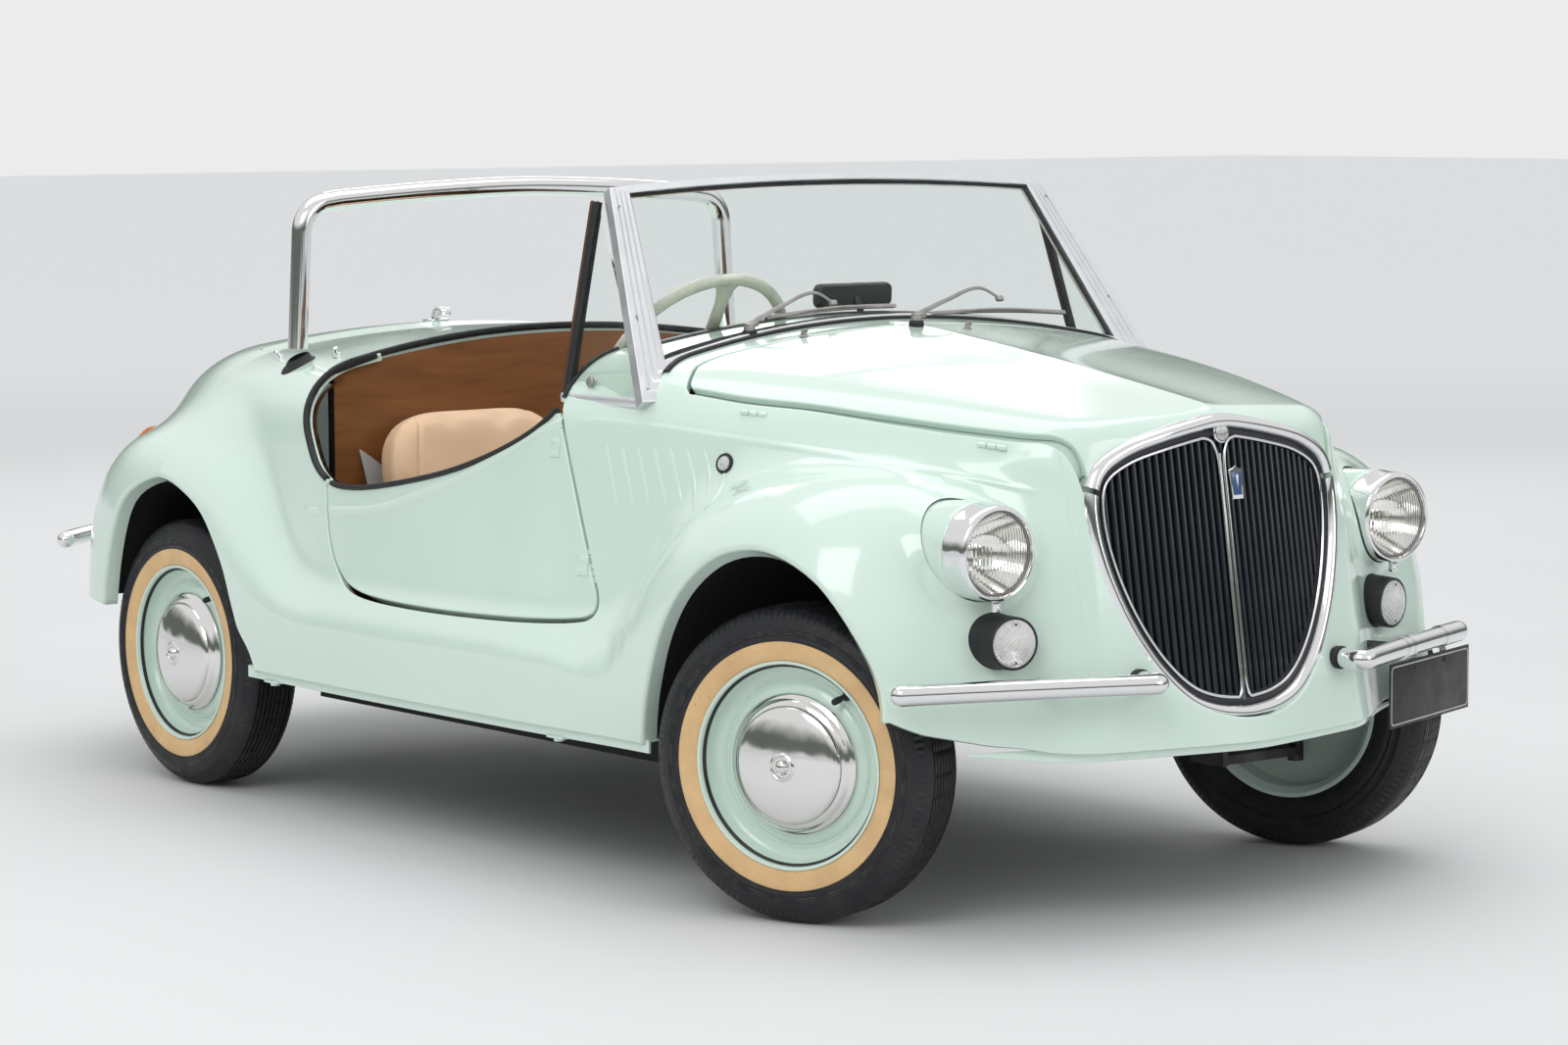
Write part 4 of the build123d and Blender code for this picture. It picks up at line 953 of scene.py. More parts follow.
def chrome(name, tint, dust):
    """Bright plating with fine wiping lines, pits and a little dust."""
    g = shade(name, Metallic=1.0)
    where = g.place()
    pits = g.span(g.noise(700.0, where, 2.0), 0.70, 0.78)
    patch = g.span(g.noise(14.0, where, 3.0), 0.55, 0.75)
    tone = g.mix(g.times(pits, patch), tint, (0.42, 0.37, 0.30, 1))
    dirt = g.use("dust", Amount=dust, Height=0.6)[0]
    marks = g.use("smudge", Base=0.035, Range=0.07, Scale=12.0)[0]
    return g.finish(g.mix(dirt, tone, PALE_DUST), g.math("ADD", marks, g.times(dirt, 0.4)),
                    g.noise(1.0, g.stretched(where, (30, 30, 1400)), 1.0), 0.03, 0.0002)


def silvered(name):
    """Silvered glass behind a lamp's lens: clean, with the faint waves of a spun bowl."""
    g = shade(name, Metallic=1.0)
    where = g.place()
    return g.finish(g.mix(g.span(g.noise(9.0, where, 2.0), 0.3, 0.7),
                          (0.90, 0.90, 0.89, 1), (0.96, 0.95, 0.93, 1)),
                    g.span(g.noise(30.0, where, 2.0), 0.3, 0.7, 0.04, 0.09),
                    g.noise(60.0, where, 1.0), 0.04, 0.0008)


def rubber(name, colour, rough, dust):
    """Moulded rubber with a pale bloom, rubbed edges and a little dust."""
    g = shade(name, Specular_IOR_Level=0.35)
    where = g.place()
    worn = g.use("wear", Amount=0.5, Scale=90.0)[0]
    bloom = g.span(g.noise(30.0, where, 5.0, 0.65), 0.55, 0.8, 0, 0.6)
    tone = g.mix(g.math("MAXIMUM", bloom, worn), colour, toned(colour, 2.4, 0.02))
    return g.finish(g.mix(g.use("dust", Amount=dust, Height=0.5)[0], tone, PALE_DUST),
                    g.span(g.noise(60.0, where, 3.0), 0.3, 0.7, rough - 0.1, rough + 0.15),
                    g.noise(900.0, where, 3.0), 0.12, 0.0005)


def tyre_wall(name):
    """Black tyre rubber: worn grey crown, dusty shoulder, fine moulding lines."""
    g = shade(name, Specular_IOR_Level=0.4)
    where = g.place()
    worn = g.use("wear", Amount=0.9, Scale=55.0)[0]
    scuff = g.span(g.noise(45.0, where, 6.0, 0.7), 0.5, 0.68)
    tone = g.mix(g.times(scuff, 0.3), (0.010, 0.011, 0.014, 1), (0.050, 0.048, 0.046, 1))
    tone = g.mix(worn, tone, (0.13, 0.125, 0.12, 1))
    return g.finish(g.mix(g.use("dust", Amount=0.14, Height=0.5)[0], tone, (0.30, 0.28, 0.25, 1)),
                    g.span(scuff, 0, 1, 0.42, 0.72), g.noise(1100.0, where, 3.0), 0.15, 0.0004)


def tyre_band(name, colour):
    """The cream band: aged towards tan, with hairline cracks and small scuffs."""
    g = shade(name, Specular_IOR_Level=0.3)
    where = g.place()
    tone = g.mix(g.span(g.noise(16.0, where, 4.0, 0.6), 0.35, 0.72), colour, (0.62, 0.40, 0.20, 1))
    spots = g.span(g.noise(150.0, where, 4.0, 0.7), 0.64, 0.72)
    return g.finish(g.mix(g.times(spots, 0.6), tone, (0.20, 0.12, 0.06, 1)),
                    g.span(g.noise(40.0, where, 2.0), 0.3, 0.7, 0.38, 0.6),
                    g.span(g.cells(where, 260.0), 0, 0.12), 0.08, 0.0004)


def leather(name, colour):
    """Grained hide, darker in its folds and paler where it is rubbed."""
    g = shade(name, Specular_IOR_Level=0.42, Sheen_Weight=0.12, Sheen_Roughness=0.5)
    skin = g.use("grain", Scale=620.0, Fold=0.5)
    tone = g.mix(g.times(skin["Mask"], 0.45), colour, toned(colour, (0.82, 0.72, 0.62)))
    worn = g.use("wear", Amount=0.5, Scale=35.0)[0]
    return g.finish(g.mix(worn, tone, toned(colour, 1.1)),
                    g.span(skin["Height"], 0, 1.2, 0.55, 0.38), skin["Height"], 0.22, 0.0006)


def metal(name, colour, rough, lines, streaked=False, dust=0.15, dulled=0.72):
    """Bare metal, drawn or cast, with dull patches and a little dust."""
    g = shade(name, Metallic=1.0)
    where = g.place()
    tone = g.mix(g.span(g.noise(25.0, where, 5.0, 0.65), 0.4, 0.75), colour, toned(colour, dulled))
    height = (g.use("streak", Across=700.0, Along=5.0)[0] if streaked
              else g.noise(500.0, where, 3.0))
    return g.finish(g.mix(g.use("dust", Amount=dust, Height=1.2)[0], tone, PALE_DUST),
                    g.use("smudge", Base=rough, Range=0.15, Scale=16.0)[0], height, lines, 0.0004)


def moulded(name, colour, rough, grain, scale=900.0, coat=0.0):
    """Plastic, bakelite or enamelled trim with a faint moulded texture."""
    g = shade(name, Coat_Weight=coat, Coat_Roughness=0.1)
    where = g.place()
    patch = g.span(g.noise(12.0, where, 4.0, 0.6), 0.35, 0.75)
    tone = g.mix(patch, colour, toned(colour, 0.86))
    worn = g.use("wear", Amount=0.4, Scale=80.0)[0]
    return g.finish(g.mix(worn, tone, toned(colour, 1.15, 0.03)),
                    g.span(g.noise(22.0, where, 3.0), 0.3, 0.7, rough - 0.06, rough + 0.08),
                    g.noise(scale, where, 2.0), grain, 0.0004)


def glass(name, colour, rough, smear):
    """Clear blown glass with faint smears."""
    g = shade(name, Metallic=0.0, Transmission_Weight=1.0, IOR=1.45, Base_Color=colour)
    return g.finish(None, g.use("smudge", Base=rough, Range=smear, Scale=6.0)[0],
                    g.noise(9.0, g.place(), 1.0), 0.02, 0.001)


def thin_glass(name):
    """Flat laminated glass: mostly clear, with wiped streaks and a green tone at its edges."""
    g = shade(name, Metallic=0.0, Transmission_Weight=1.0, IOR=1.1,
              Base_Color=(0.93, 0.975, 0.95, 1), Specular_IOR_Level=0.9)
    where = g.place()
    wiped = g.noise(1.0, g.stretched(where, (3, 9, 2.5)), 5.0, 0.6, 1.5)
    return g.finish(None, g.span(wiped, 0.5, 0.8, 0.0, 0.10), g.noise(4.0, where, 2.0), 0.015, 0.002)


def fluted_lens(name, colour, ribs, rough, rings=False, transmission=1.0, depth=0.5):
    """Pressed glass or plastic with ribs: upright flutes, or rings round the piece's centre."""
    g = shade(name, Metallic=0.0, Transmission_Weight=transmission, IOR=1.4, Base_Color=colour)
    how = ({"wave_type": "RINGS", "rings_direction": "X"} if rings
           else {"wave_type": "BANDS", "bands_direction": "Y"})
    wave = g.node("TexWave", {"Vector": g.place(), "Scale": ribs}, **how).outputs["Fac"]
    return g.finish(None, g.use("smudge", Base=rough, Range=0.08, Scale=20.0)[0], wave, depth,
                    0.0015)


def vinyl(name, colour):
    """Grained trim cloth with long dark streaks."""
    g = shade(name, Specular_IOR_Level=0.4, Coat_Weight=0.15, Coat_Roughness=0.3)
    skin = g.use("grain", Scale=900.0, Fold=0.15)
    streaks = g.noise(1.0, g.stretched(g.place(), (4, 4, 26)), 5.0, 0.6, 0.8)
    return g.finish(g.mix(g.span(streaks, 0.3, 0.7), toned(colour, 0.62), colour),
                    g.span(skin["Mask"], 0, 1, 0.36, 0.5), skin["Height"], 0.12, 0.0004)


def webbing(name, colour):
    """Woven strap with fine diagonal ribs."""
    g = shade(name, Sheen_Weight=0.3, Sheen_Roughness=0.4)
    weave = g.node("TexWave", {"Vector": g.place(), "Scale": 320.0, "Distortion": 0.4},
                   bands_direction="DIAGONAL").outputs["Fac"]
    return g.finish(g.mix(weave, toned(colour, 0.6), colour), g.span(weave, 0, 1, 0.85, 0.7),
                    weave, 0.5, 0.0006)


def undercoat(name, colour):
    """Rough black sealer in the arches and under the floor, with splashes of pale dust."""
    g = shade(name, Specular_IOR_Level=0.3)
    where = g.place()
    lumps = g.noise(160.0, where, 5.0, 0.7)
    flecks = g.span(g.noise(520.0, where, 3.0, 0.7), 0.67, 0.72)
    patch = g.span(g.noise(6.0, where, 3.0), 0.5, 0.7)
    return g.finish(g.mix(g.times(flecks, patch), colour, PALE_DUST),
                    g.span(lumps, 0.3, 0.7, 0.6, 0.9), lumps, 0.5, 0.002)


# Each material's maker and its values; a word in place of a colour is a colour of RoadsterPaint.
MAKERS = {
    "body enamel": (paint, "body", 0.45, 0.42),
    "wheel enamel": (paint, "body", 0.25, 0.5, 0.14),
    "bright plating": (chrome, (0.82, 0.82, 0.83), 0.2),
    "hub plating": (chrome, (0.80, 0.79, 0.78), 0.12),
    "grille enamel": (moulded, (0.010, 0.013, 0.020), 0.2, 0.04, 300.0, 0.5),
    "trim rubber": (rubber, (0.016, 0.017, 0.018), 0.5, 0.1),
    "tyre rubber": (tyre_wall,),
    "cream tyre band": (tyre_band, "band"),
    "arch sealer": (undercoat, (0.012, 0.012, 0.012)),
    "seat leather": (leather, "leather"),
    "brown vinyl": (vinyl, "trim"),
    "black cloth": (vinyl, (0.030, 0.026, 0.022)),
    "frame aluminium": (metal, (0.80, 0.81, 0.83), 0.3, 0.008, True, 0.0, 0.94),
    "dull steel": (metal, (0.42, 0.41, 0.39), 0.38, 0.1),
    "cast metal": (metal, (0.30, 0.30, 0.31), 0.5, 0.25, False, 0.4),
    "mottled rubber": (rubber, (0.075, 0.028, 0.012), 0.45, 0.1),
    "dark steel": (metal, (0.10, 0.10, 0.10), 0.5, 0.15, False, 0.4),
    "cream bakelite": (moulded, (0.72, 0.70, 0.60), 0.28, 0.02, 500.0, 0.3),
    "black plastic": (moulded, (0.018, 0.02, 0.025), 0.35, 0.06),
    "plate black": (moulded, (0.012, 0.012, 0.013), 0.45, 0.04, 700.0),
    "plate silver": (metal, (0.70, 0.70, 0.70), 0.34, 0.05),
    "screen glass": (thin_glass,),
    "lamp lens": (fluted_lens, (0.99, 0.99, 0.97), 48.0, 0.0, False, 1.0, 0.22),
    "lamp reflector": (silvered,),
    "lamp bulb": (glass, (1.0, 0.97, 0.9), 0.05, 0.05),
    "clear ribbed lens": (fluted_lens, (0.92, 0.92, 0.91), 60.0, 0.12, True, 0.55),
    "amber lens": (fluted_lens, (0.85, 0.20, 0.02), 240.0, 0.1, False, 0.35),
    "red lens": (fluted_lens, (0.45, 0.012, 0.01), 240.0, 0.1, False, 0.35),
    "belt webbing": (webbing, (0.50, 0.50, 0.48)),
    "floor matting": (rubber, (0.03, 0.028, 0.026), 0.7, 0.2),
    "badge enamel": (moulded, (0.03, 0.09, 0.22), 0.2, 0.02, 500.0, 0.6),
}


def opaque(colour):
    """A colour from the user's settings or from the table, with full alpha."""
    if isinstance(colour, str):
        colour = getattr(bpy.context.scene.roadster_paint, colour)
    return tuple(colour) + (1,)


def material(name):
    """The material of this name, built once."""
    if name not in MATERIALS:
        maker, *values = MAKERS[name]
        MATERIALS[name] = maker(name, *(
            opaque(v) if isinstance(v, (str, tuple)) else v for v in values))
    return MATERIALS[name]




# ------------------------------------------------------------------ body pieces
def bar(path, radius, n=18, closed=False, round_ends=True, squash=1.0, mat=0):
    """A tube or rod along a path, with rounded ends."""
    path = np.asarray(path, float)
    scale = np.ones(len(path))
    if not closed and round_ends:
        a = np.radians([84, 62, 38, 16])
        head = path[0] + np.outer(radius * np.sin(a), unit(path[0] - path[1]))
        tail = path[-1] + np.outer(radius * np.sin(a[::-1]), unit(path[-1] - path[-2]))
        path = np.vstack([head, path, tail])
        scale = np.r_[np.cos(a), scale, np.cos(a[::-1])]
    return swept(path, ring(radius, n, squash), closed=closed, scale=scale, mat=mat)


ENAMEL = ["body enamel"], "body_paint"
CHROME = ["bright plating"], "chrome"
RUBBER = ["trim rubber"], None
CARD = ["brown vinyl", "black cloth"], "brown_trim"


def box(size, radius, place=None, mat=0):
    return Shape().add(*bevelled_box(size, radius), mat, place=place)


def turned(profile, place=None, n=48, mat=0, closed=False):
    return Shape().add(*lathe(profile, n, closed=closed), mat, place=place)


def group_of(*shapes):
    """One shape made of several."""
    out = Shape()
    for s in shapes:
        out.join(s)
    return out


def on_flank(x, z, side=-1, lift=0.0):
    """A placing matrix on the flank, its +X square to the skin."""
    p = side_hit(x, z, side)
    n = outward(p)
    return facing(p + lift * n, n)


def on_top(x, y, lift=0.0):
    p = top_hit(x, y)
    n = outward(p)
    return facing(p + lift * n, n, (1, 0, 0))


def pair(shape, name, body, mats, slot=None, replaces=(), **how):
    """The piece and its mirror image, as one object."""
    return group_of(shape, shape.mirrored()).make(name, body, mats, slot, replaces, **how)


BEAD_LINE = [(-290, 569), (-110, 585), (26, 618), (154, 661), (274, 709), (388, 759), (451, 773)]
CREASE_LINE = [(451, 773), (540, 776), (654, 771), (814, 759), (1082, 735), (1239, 714),
               (1347, 690)]


def build_shell():
    side = flank().shape()
    for shape, name, replaces in (
            (side, "flank_right", ("front_wing_right", "body_side_right")),
            (side.mirrored(), "flank_left", ("front_wing_left", "body_side_left")),
            (nose().shape(), "nose_skin", ("nose_panel",)),
            (deck().shape(), "deck_skin", ("rear_deck",)),
            (scuttle().shape(), "scuttle_skin", ("cowl",))):
        shape.make(name, "body", *ENAMEL, replaces)


def build_ridges(louvre_count):
    """The crease along the wing, the bead ahead of the door and the pressed louvres."""
    crease = spline(CREASE_LINE, 90)
    crease = crease[crease[:, 0] > front(-560)]
    shape = side_strip(crease, 8, bump, 2.2, taper=ended(len(crease)))
    rear_bead = spline([(-360, 566), (-330, 566), (-290, 569)], 12)
    shape.join(side_strip(rear_bead, 8, bump, 2.2, taper=ended(12, 0.4)))
    for t in np.linspace(0, 1, louvre_count):
        top, low = (541 + 245 * t, 738 + 2 * t), (578 + 245 * t, 636 + 12 * t)
        line = np.linspace(top, low, 24)
        shape.join(side_strip(line, 5.5, bump, 2.0, taper=ended(24, 0.14)))
    pair(shape, "pressed_ridges", "body", *ENAMEL, sharp=0)


def arch_rows(outline, wall):
    """Rings of points from inside an arch's lip to the wheel house's inner wall."""
    line = spline(outline, 90)
    floor = np.where(line[:, 0] > front(200), 362, np.where(line[:, 0] < rear(-180), 336, SILL_Z))
    line = line[line[:, 1] > floor + 3]
    skin = side_hit(line[:, 0], line[:, 1])[:, 1]
    mid = np.array([line[:, 0].mean(), line[:, 1].min()])
    grow = line + 5 * unit(line - mid)
    rows = [xyz(grow[:, 0], y, grow[:, 1])
            for y in (skin + 24, (skin + 24) * 0.5 - wall * 0.5, 0 * skin - wall)]
    centre = np.array([mid[0], -wall, mid[1]])
    rows += [rows[-1] * (1 - t) + centre * t for t in (0.4, 0.8, 1.0)]
    return np.stack(rows, 1)


def build_arches():
    """The dark wheel houses behind the openings, the sill flanges and the nose flange."""
    shape = Shape()
    for outline, wall in ((ARCH_FRONT, 349), (ARCH_REAR, 404)):
        shape.grid(arch_rows(outline, wall))
    pair(shape, "wheel_houses", "body", ["arch sealer"], "floor_paint", sharp=50)
    x = np.linspace(rear(330), front(-268), 40)
    p = side_hit(x, 0 * x + SILL_Z + 14)
    path = xyz(x, p[:, 1] + 14, SILL_Z - 5)
    flange = swept(path, rounded(4, 22, 1.5, 3))
    flange.join(swept(path + (0, 26, 10), rounded(52, 3, 1.2, 3)))
    for at in (rear(420), front(-520)):
        y = float(side_hit(at, SILL_Z + 14)[1]) + 18
        flange.join(box((46, 22, 5), 1.5, np.array(facing((at, y, SILL_Z - 16), (1, 0, 0)))))
        flange.join(turned([(9, -4), (9, 3), (5, 4)], facing((at, y, SILL_Z - 20), (0, 0, -1),
                                                            (1, 0, 0)), 20))
    pair(flange, "sill_flanges", "body", *ENAMEL, sharp=35)
    y = np.linspace(-480, 480, 90)
    low = nose_hit(y, 292)
    ends = np.interp(np.abs(y), [360, 480], [1.0, 0.15])
    low[:, 2] += 10 * (1 - ends)
    apron = swept(low - (16, 0, 8), rounded(4, 20, 1.5, 3), scale=ends)
    apron.make("nose_flange", "body", *ENAMEL, sharp=35)


def rim_path():
    """Right half of the line round the cockpit's edge, from the cowl's middle to the deck's."""
    def shoulder(x, first, last):
        a = np.radians(np.linspace(first, last, 8))
        return surface((xyz(x, 0, RAY_HEIGHT), xyz(0, -np.sin(a), np.cos(a))))
    rim = side_hit(RIM_LINE[:, 0], RIM_LINE[:, 1])
    y = np.linspace(0, -468, 40)
    cowl = top_hit(front(-570), y)
    deck_y = np.linspace(-484, 0, 50)
    deck = top_hit(DECK_EDGE_X - DECK_BOW * (1 - (deck_y / 490) ** 2), deck_y)
    return cowl, shoulder(front(-600), 50, 60.5), rim, shoulder(rear(415), 58.6, 51.6), deck


def rim_trim(path):
    """Rubber bead that sits on the skin along a path."""
    return swept(path - outward(path) * 1.5, rounded(10, 13, 4.2, 4), ups=outward(path))


def build_rim():
    cowl, ahead, rim, behind, deck = rim_path()
    front_part = rim[rim[:, 0] > front(-602)]
    rear_part = rim[rim[:, 0] < rear(550) - DOOR_GAP]
    shape = rim_trim(np.vstack([ahead, front_part]))
    shape.join(rim_trim(np.vstack([rear_part, behind, deck])))
    pair(shape, "cockpit_rubber", "body", ["trim rubber"], sharp=45)
    full = np.vstack([cowl[::-1] * (1, -1, 1), cowl[1:]])
    roll = swept(full[::-1] + (6, 0, -8), rounded(26, 22, 9, 5), ups=outward(full[::-1]))
    roll.make("dash_roll", "body", ["black cloth"], "brown_trim", sharp=45)


def hinge_knuckles(low, high, length, radius, parts):
    """Barrels of a painted hinge along its pin: the even ones on the body, the odd on the leaf."""
    axis = unit(np.array(high) - np.array(low))
    fixed, moving = Shape(), Shape()
    for centre in (low, high):
        for k in range(parts):
            mid = np.array(centre) + axis * length * (k - (parts - 1) / 2) / parts
            half = length / parts / 2 - 0.6
            profile = [(0.01, -half), (radius - 1.2, -half), (radius, 1 - half),
                       (radius, half - 1), (radius - 1.2, half), (0.01, half)]
            (fixed if k % 2 == 0 else moving).join(turned(profile, facing(mid, axis, (0, 1, 0.2)),
                                                          20))
    return fixed, moving


DOOR_PIN = (np.array((front(-493), -611, 533.0)), np.array((front(-585), -602, 726.0)))
LID_PIN = (np.array((front(229), -360, 764.0)), np.array((front(-187), -512, 801.0)))


def build_doors():
    """Both doors, each with its skin, card, bead and fittings."""
    right = door().shape(back=30)
    rim = side_hit(RIM_LINE[:, 0], RIM_LINE[:, 1])
    strip = rim_trim(rim[(rim[:, 0] > rear(550) + 3) & (rim[:, 0] < front(-602) - 3)])
    bead = spline(BEAD_LINE, 80)
    bead = bead[(bead[:, 0] > rear(552)) & (bead[:, 0] < front(-588))]
    bead_shape = side_strip(bead, 9, bump, 2.8)
    card = door()
    card.keep(side_outline(DOOR_OUTLINE, -16))
    fixed, moving = hinge_knuckles(*DOOR_PIN, 62, 8.5, 5)
    leaf = Shape()
    for centre in DOOR_PIN:
        leaf.join(box((4, 26, 34), 1.5, on_flank(centre[0] - 16, centre[2], lift=0.5)))
        for dz in (-10, 10):
            leaf.join(screw(3.4, 1.8), on_flank(centre[0] - 19, centre[2] + dz, lift=2.4))
    handle = turned([(17, -2), (17, 0.5), (14, 2.5), (6, 3.5), (5, 15), (0.01, 16)],
                    facing(*inner_point(front(-950), 560)), 28)
    handle.join(box((7, 78, 11), 3.2, facing(*inner_point(front(-975), 562, 47))))
    pull = bar([inner_point(front(-820 - 9 * i), 618 - abs(i) * 0.6, 46 - 9 * (abs(i) > 6))[0]
                for i in range(-7, 8)], 6, 10, squash=0.6)
    parts = (("skin", right, ENAMEL, 38), ("bead", bead_shape, ENAMEL, 0),
             ("card", card.card(31.5, 46), CARD, 38), ("rubber", strip, RUBBER, 45),
             ("hinge_leaf", group_of(moving, leaf), ENAMEL, 35), ("hinge_post", fixed, ENAMEL, 35),
             ("handle", handle, CHROME, 35), ("pull", pull, (["black cloth"], "brown_trim"), 60))
    for side in ("right", "left"):
        door_body = "door_" + side
        for key, shape, finish, sharp in parts:
            shape = shape if side == "right" else shape.mirrored()
            shape.make(f"door_{key}_{side}", "body" if key == "hinge_post" else door_body, *finish,
                       replaces=(door_body,) if key == "skin" else (), sharp=sharp)


def inner_point(x, z, depth=32.0):
    """A point on the inner face of the right door or side, and the way that face looks."""
    p = side_hit(x, z)
    n = outward(p)
    return p - depth * n, -n


def lid_gutter():
    """The body's rebate under the front lid's edge, so its shut line shows enamel, not a void."""
    line = spline(np.vstack([SHUT_LINE, [(front(366), -258)]]), 80)
    p = top_hit(line[:, 0], line[:, 1])
    n = outward(p)
    along = unit(np.gradient(p, axis=0))
    across = unit(np.cross(n, along))
    across = np.where(across[:, 1:2] > 0, across, -across)
    rows = np.stack([p - 5 * across - 4 * n, p - 5 * across - 16 * n, p + 4 * across - 17.5 * n,
                     p + 24 * across - 17.5 * n, p + 24 * across - 15.5 * n], 1)
    return Shape().grid(rows)


def build_lid():
    pair(lid_gutter(), "lid_gutters", "body", *ENAMEL, sharp=50)
    lid().shape().make("lid_skin", "front_lid", *ENAMEL, ("front_lid",))
    lines = [top_hit(np.linspace(front(-330), front(180), 30), np.linspace(y0, y1, 30))
             for y0, y1 in ((-300, -190), (300, 190), (0, 0))]
    lines.append(top_hit(front(-335), np.linspace(-400, 400, 40)))
    under = group_of(*(swept(p - (0, 0, 13), rounded(46, 14, 5, 3), ups=outward(p))
                       for p in lines))
    under.make("lid_stiffeners", "front_lid", *ENAMEL, sharp=40)
    fixed, moving = hinge_knuckles(*LID_PIN, 52, 4.5, 3)
    fixed.make("lid_hinge_posts", "body", *ENAMEL, sharp=35)
    moving.make("lid_hinge_leaves", "front_lid", *ENAMEL, sharp=35)


def build_engine_lid():
    """The tail lid's skin, handle, plate and hinges."""
    cover = engine_cover().shape(back=8)
    across = np.linspace(-1, 1, 7)
    for k in range(7):
        p = tail_hit(np.linspace(-170, 170, 26), 585 + 22 * k)
        n = outward(p)
        up = unit(np.cross((0, 1, 0), n))
        lift = 0.2 + 4 * bump(across)[None] * ended(26, 0.1)[:, None]
        cover.grid(p[:, None] + 7 * across[None, :, None] * up[:, None]
                   + lift[..., None] * n[:, None], normals=np.repeat(n, 7, axis=0))
    cover.make("engine_lid_skin", "engine_lid", *ENAMEL, ("engine_lid",))
    p = tail_hit(0, 752)
    handle = turned([(16, 0), (16, 2), (12, 4), (7, 5), (7, 14), (0.01, 15)],
                    facing(p, outward(p)), 24)
    handle.join(box((8, 70, 13), 3.5, facing(p + 18 * outward(p), outward(p))))
    handle.make("engine_lid_handle", "engine_lid", *CHROME, sharp=35)
    p = tail_hit(0, 500)
    out = outward(p)
    where = facing(p + 35 * out, out)
    plate = box((6, 352, 104), 2.5, where, 0)
    plate.join(plate_border(352, 104, where, 3.2, 1))
    plate.join(box((28, 120, 40), 4, facing(p + 14 * out, out), 2))
    plate.join(box((26, 90, 18), 6, facing(p + 24 * out + (0, 0, 62), out), 3))
    plate.make("tail_plate", "engine_lid", ["plate black", "plate silver", "dark steel",
                                            "bright plating"], "plate_black", ("rear_plate",),
               sharp=35)
    hinges = Shape()
    for y in (-170, 170):
        base = tail_hit(y, 397)
        hinges.join(bar([base + (-3, -24, 0), base + (-3, 24, 0)], 6.5, 14, round_ends=False))
        hinges.join(box((4, 40, 30), 1.5, facing(tail_hit(y, 380), outward(base))))
    hinges.make("engine_lid_hinges", "body", *ENAMEL, sharp=35)


def plate_border(width, height, where, ahead, mat):
    """A raised line just inside a plate's edge."""
    line = rounded(width - 12, height - 12, 8, 5)
    path = xyz(ahead, line[:, 0], line[:, 1])
    return swept(path, rounded(2.4, 1.2, 0.5, 3), ups=(1, 0, 0), closed=True, mat=mat, place=where)


# ------------------------------------------------------------------ grille and lamps
SLAT_BACK, BAND_INSET, MESH_INSET, GRILLE_HALF = 20.0, 24.0, 35.0, 250.0


def shield_line(inset, n):
    """Right half of the grille's outline drawn in by inset, from the crest down to the foot."""
    pts = np.array(GRILLE, float)
    way = np.gradient(pts, axis=0)
    way[0], way[-1] = (-1, 0), (1, 0)
    way = unit(way)
    line = pts + inset * np.stack([-way[:, 1], way[:, 0]], -1)
    line[0, 0] = line[-1, 0] = 0
    lead = line[0] + (line[1] - line[0]) * 0.12
    tail = line[-1] + (line[-2] - line[-1]) * 0.12
    lead[1], tail[1] = line[0, 1], line[-1, 1]
    return spline(np.vstack([line[:1], lead, line[1:-1], tail, line[-1:]]), n)


def on_nose(line, ahead=0.0):
    """The (y, z) line laid on the nose, or this far ahead of it."""
    y, z = line[..., 0], line[..., 1]
    return xyz(nose_x(y, z) + ahead, y, z)


def chrome_band(z_low, z_high):
    """The plated surround between two heights, mirrored into one piece with capped ends."""
    section = [(-0.5, -15), (0, -6), (0.6, 2), (2.4, 7), (6, 10.5), (11, 12), (16, 11), (20, 7.5),
               (22.6, 2), (23.6, -4), (24, -16)]
    outer = shield_line(0, 260)
    take = (outer[:, 1] > z_low) & (outer[:, 1] < z_high)
    rows = np.stack([on_nose(shield_line(inset, 260)[take], ahead) for inset, ahead in section], 1)
    shape = Shape().grid(rows, flip=True)
    for end in (0, -1):
        if abs(rows[end][:, 1]).max() > 20:
            shape.add(rows[end], [list(range(rows.shape[1]))])
    return shape


def half_bead():
    """The thin bead round one half of the grille, down beside its middle."""
    line = shield_line(MESH_INSET, 160)
    line = line[(line[:, 0] < -34) | ((line[:, 0] < -12) & (line[:, 1] < 500))]
    top, foot = line[0, 1], line[-1, 1]
    inner = [(-9, foot + 6), (-5.6, foot + 26)]
    inner += [(-5.6, z) for z in np.linspace(foot + 60, top - 90, 9)]
    inner += [(-5.8, top - 52), (-8.5, top - 24), (-18, top - 6)]
    return spline(np.vstack([line, inner]), 300, closed=True)


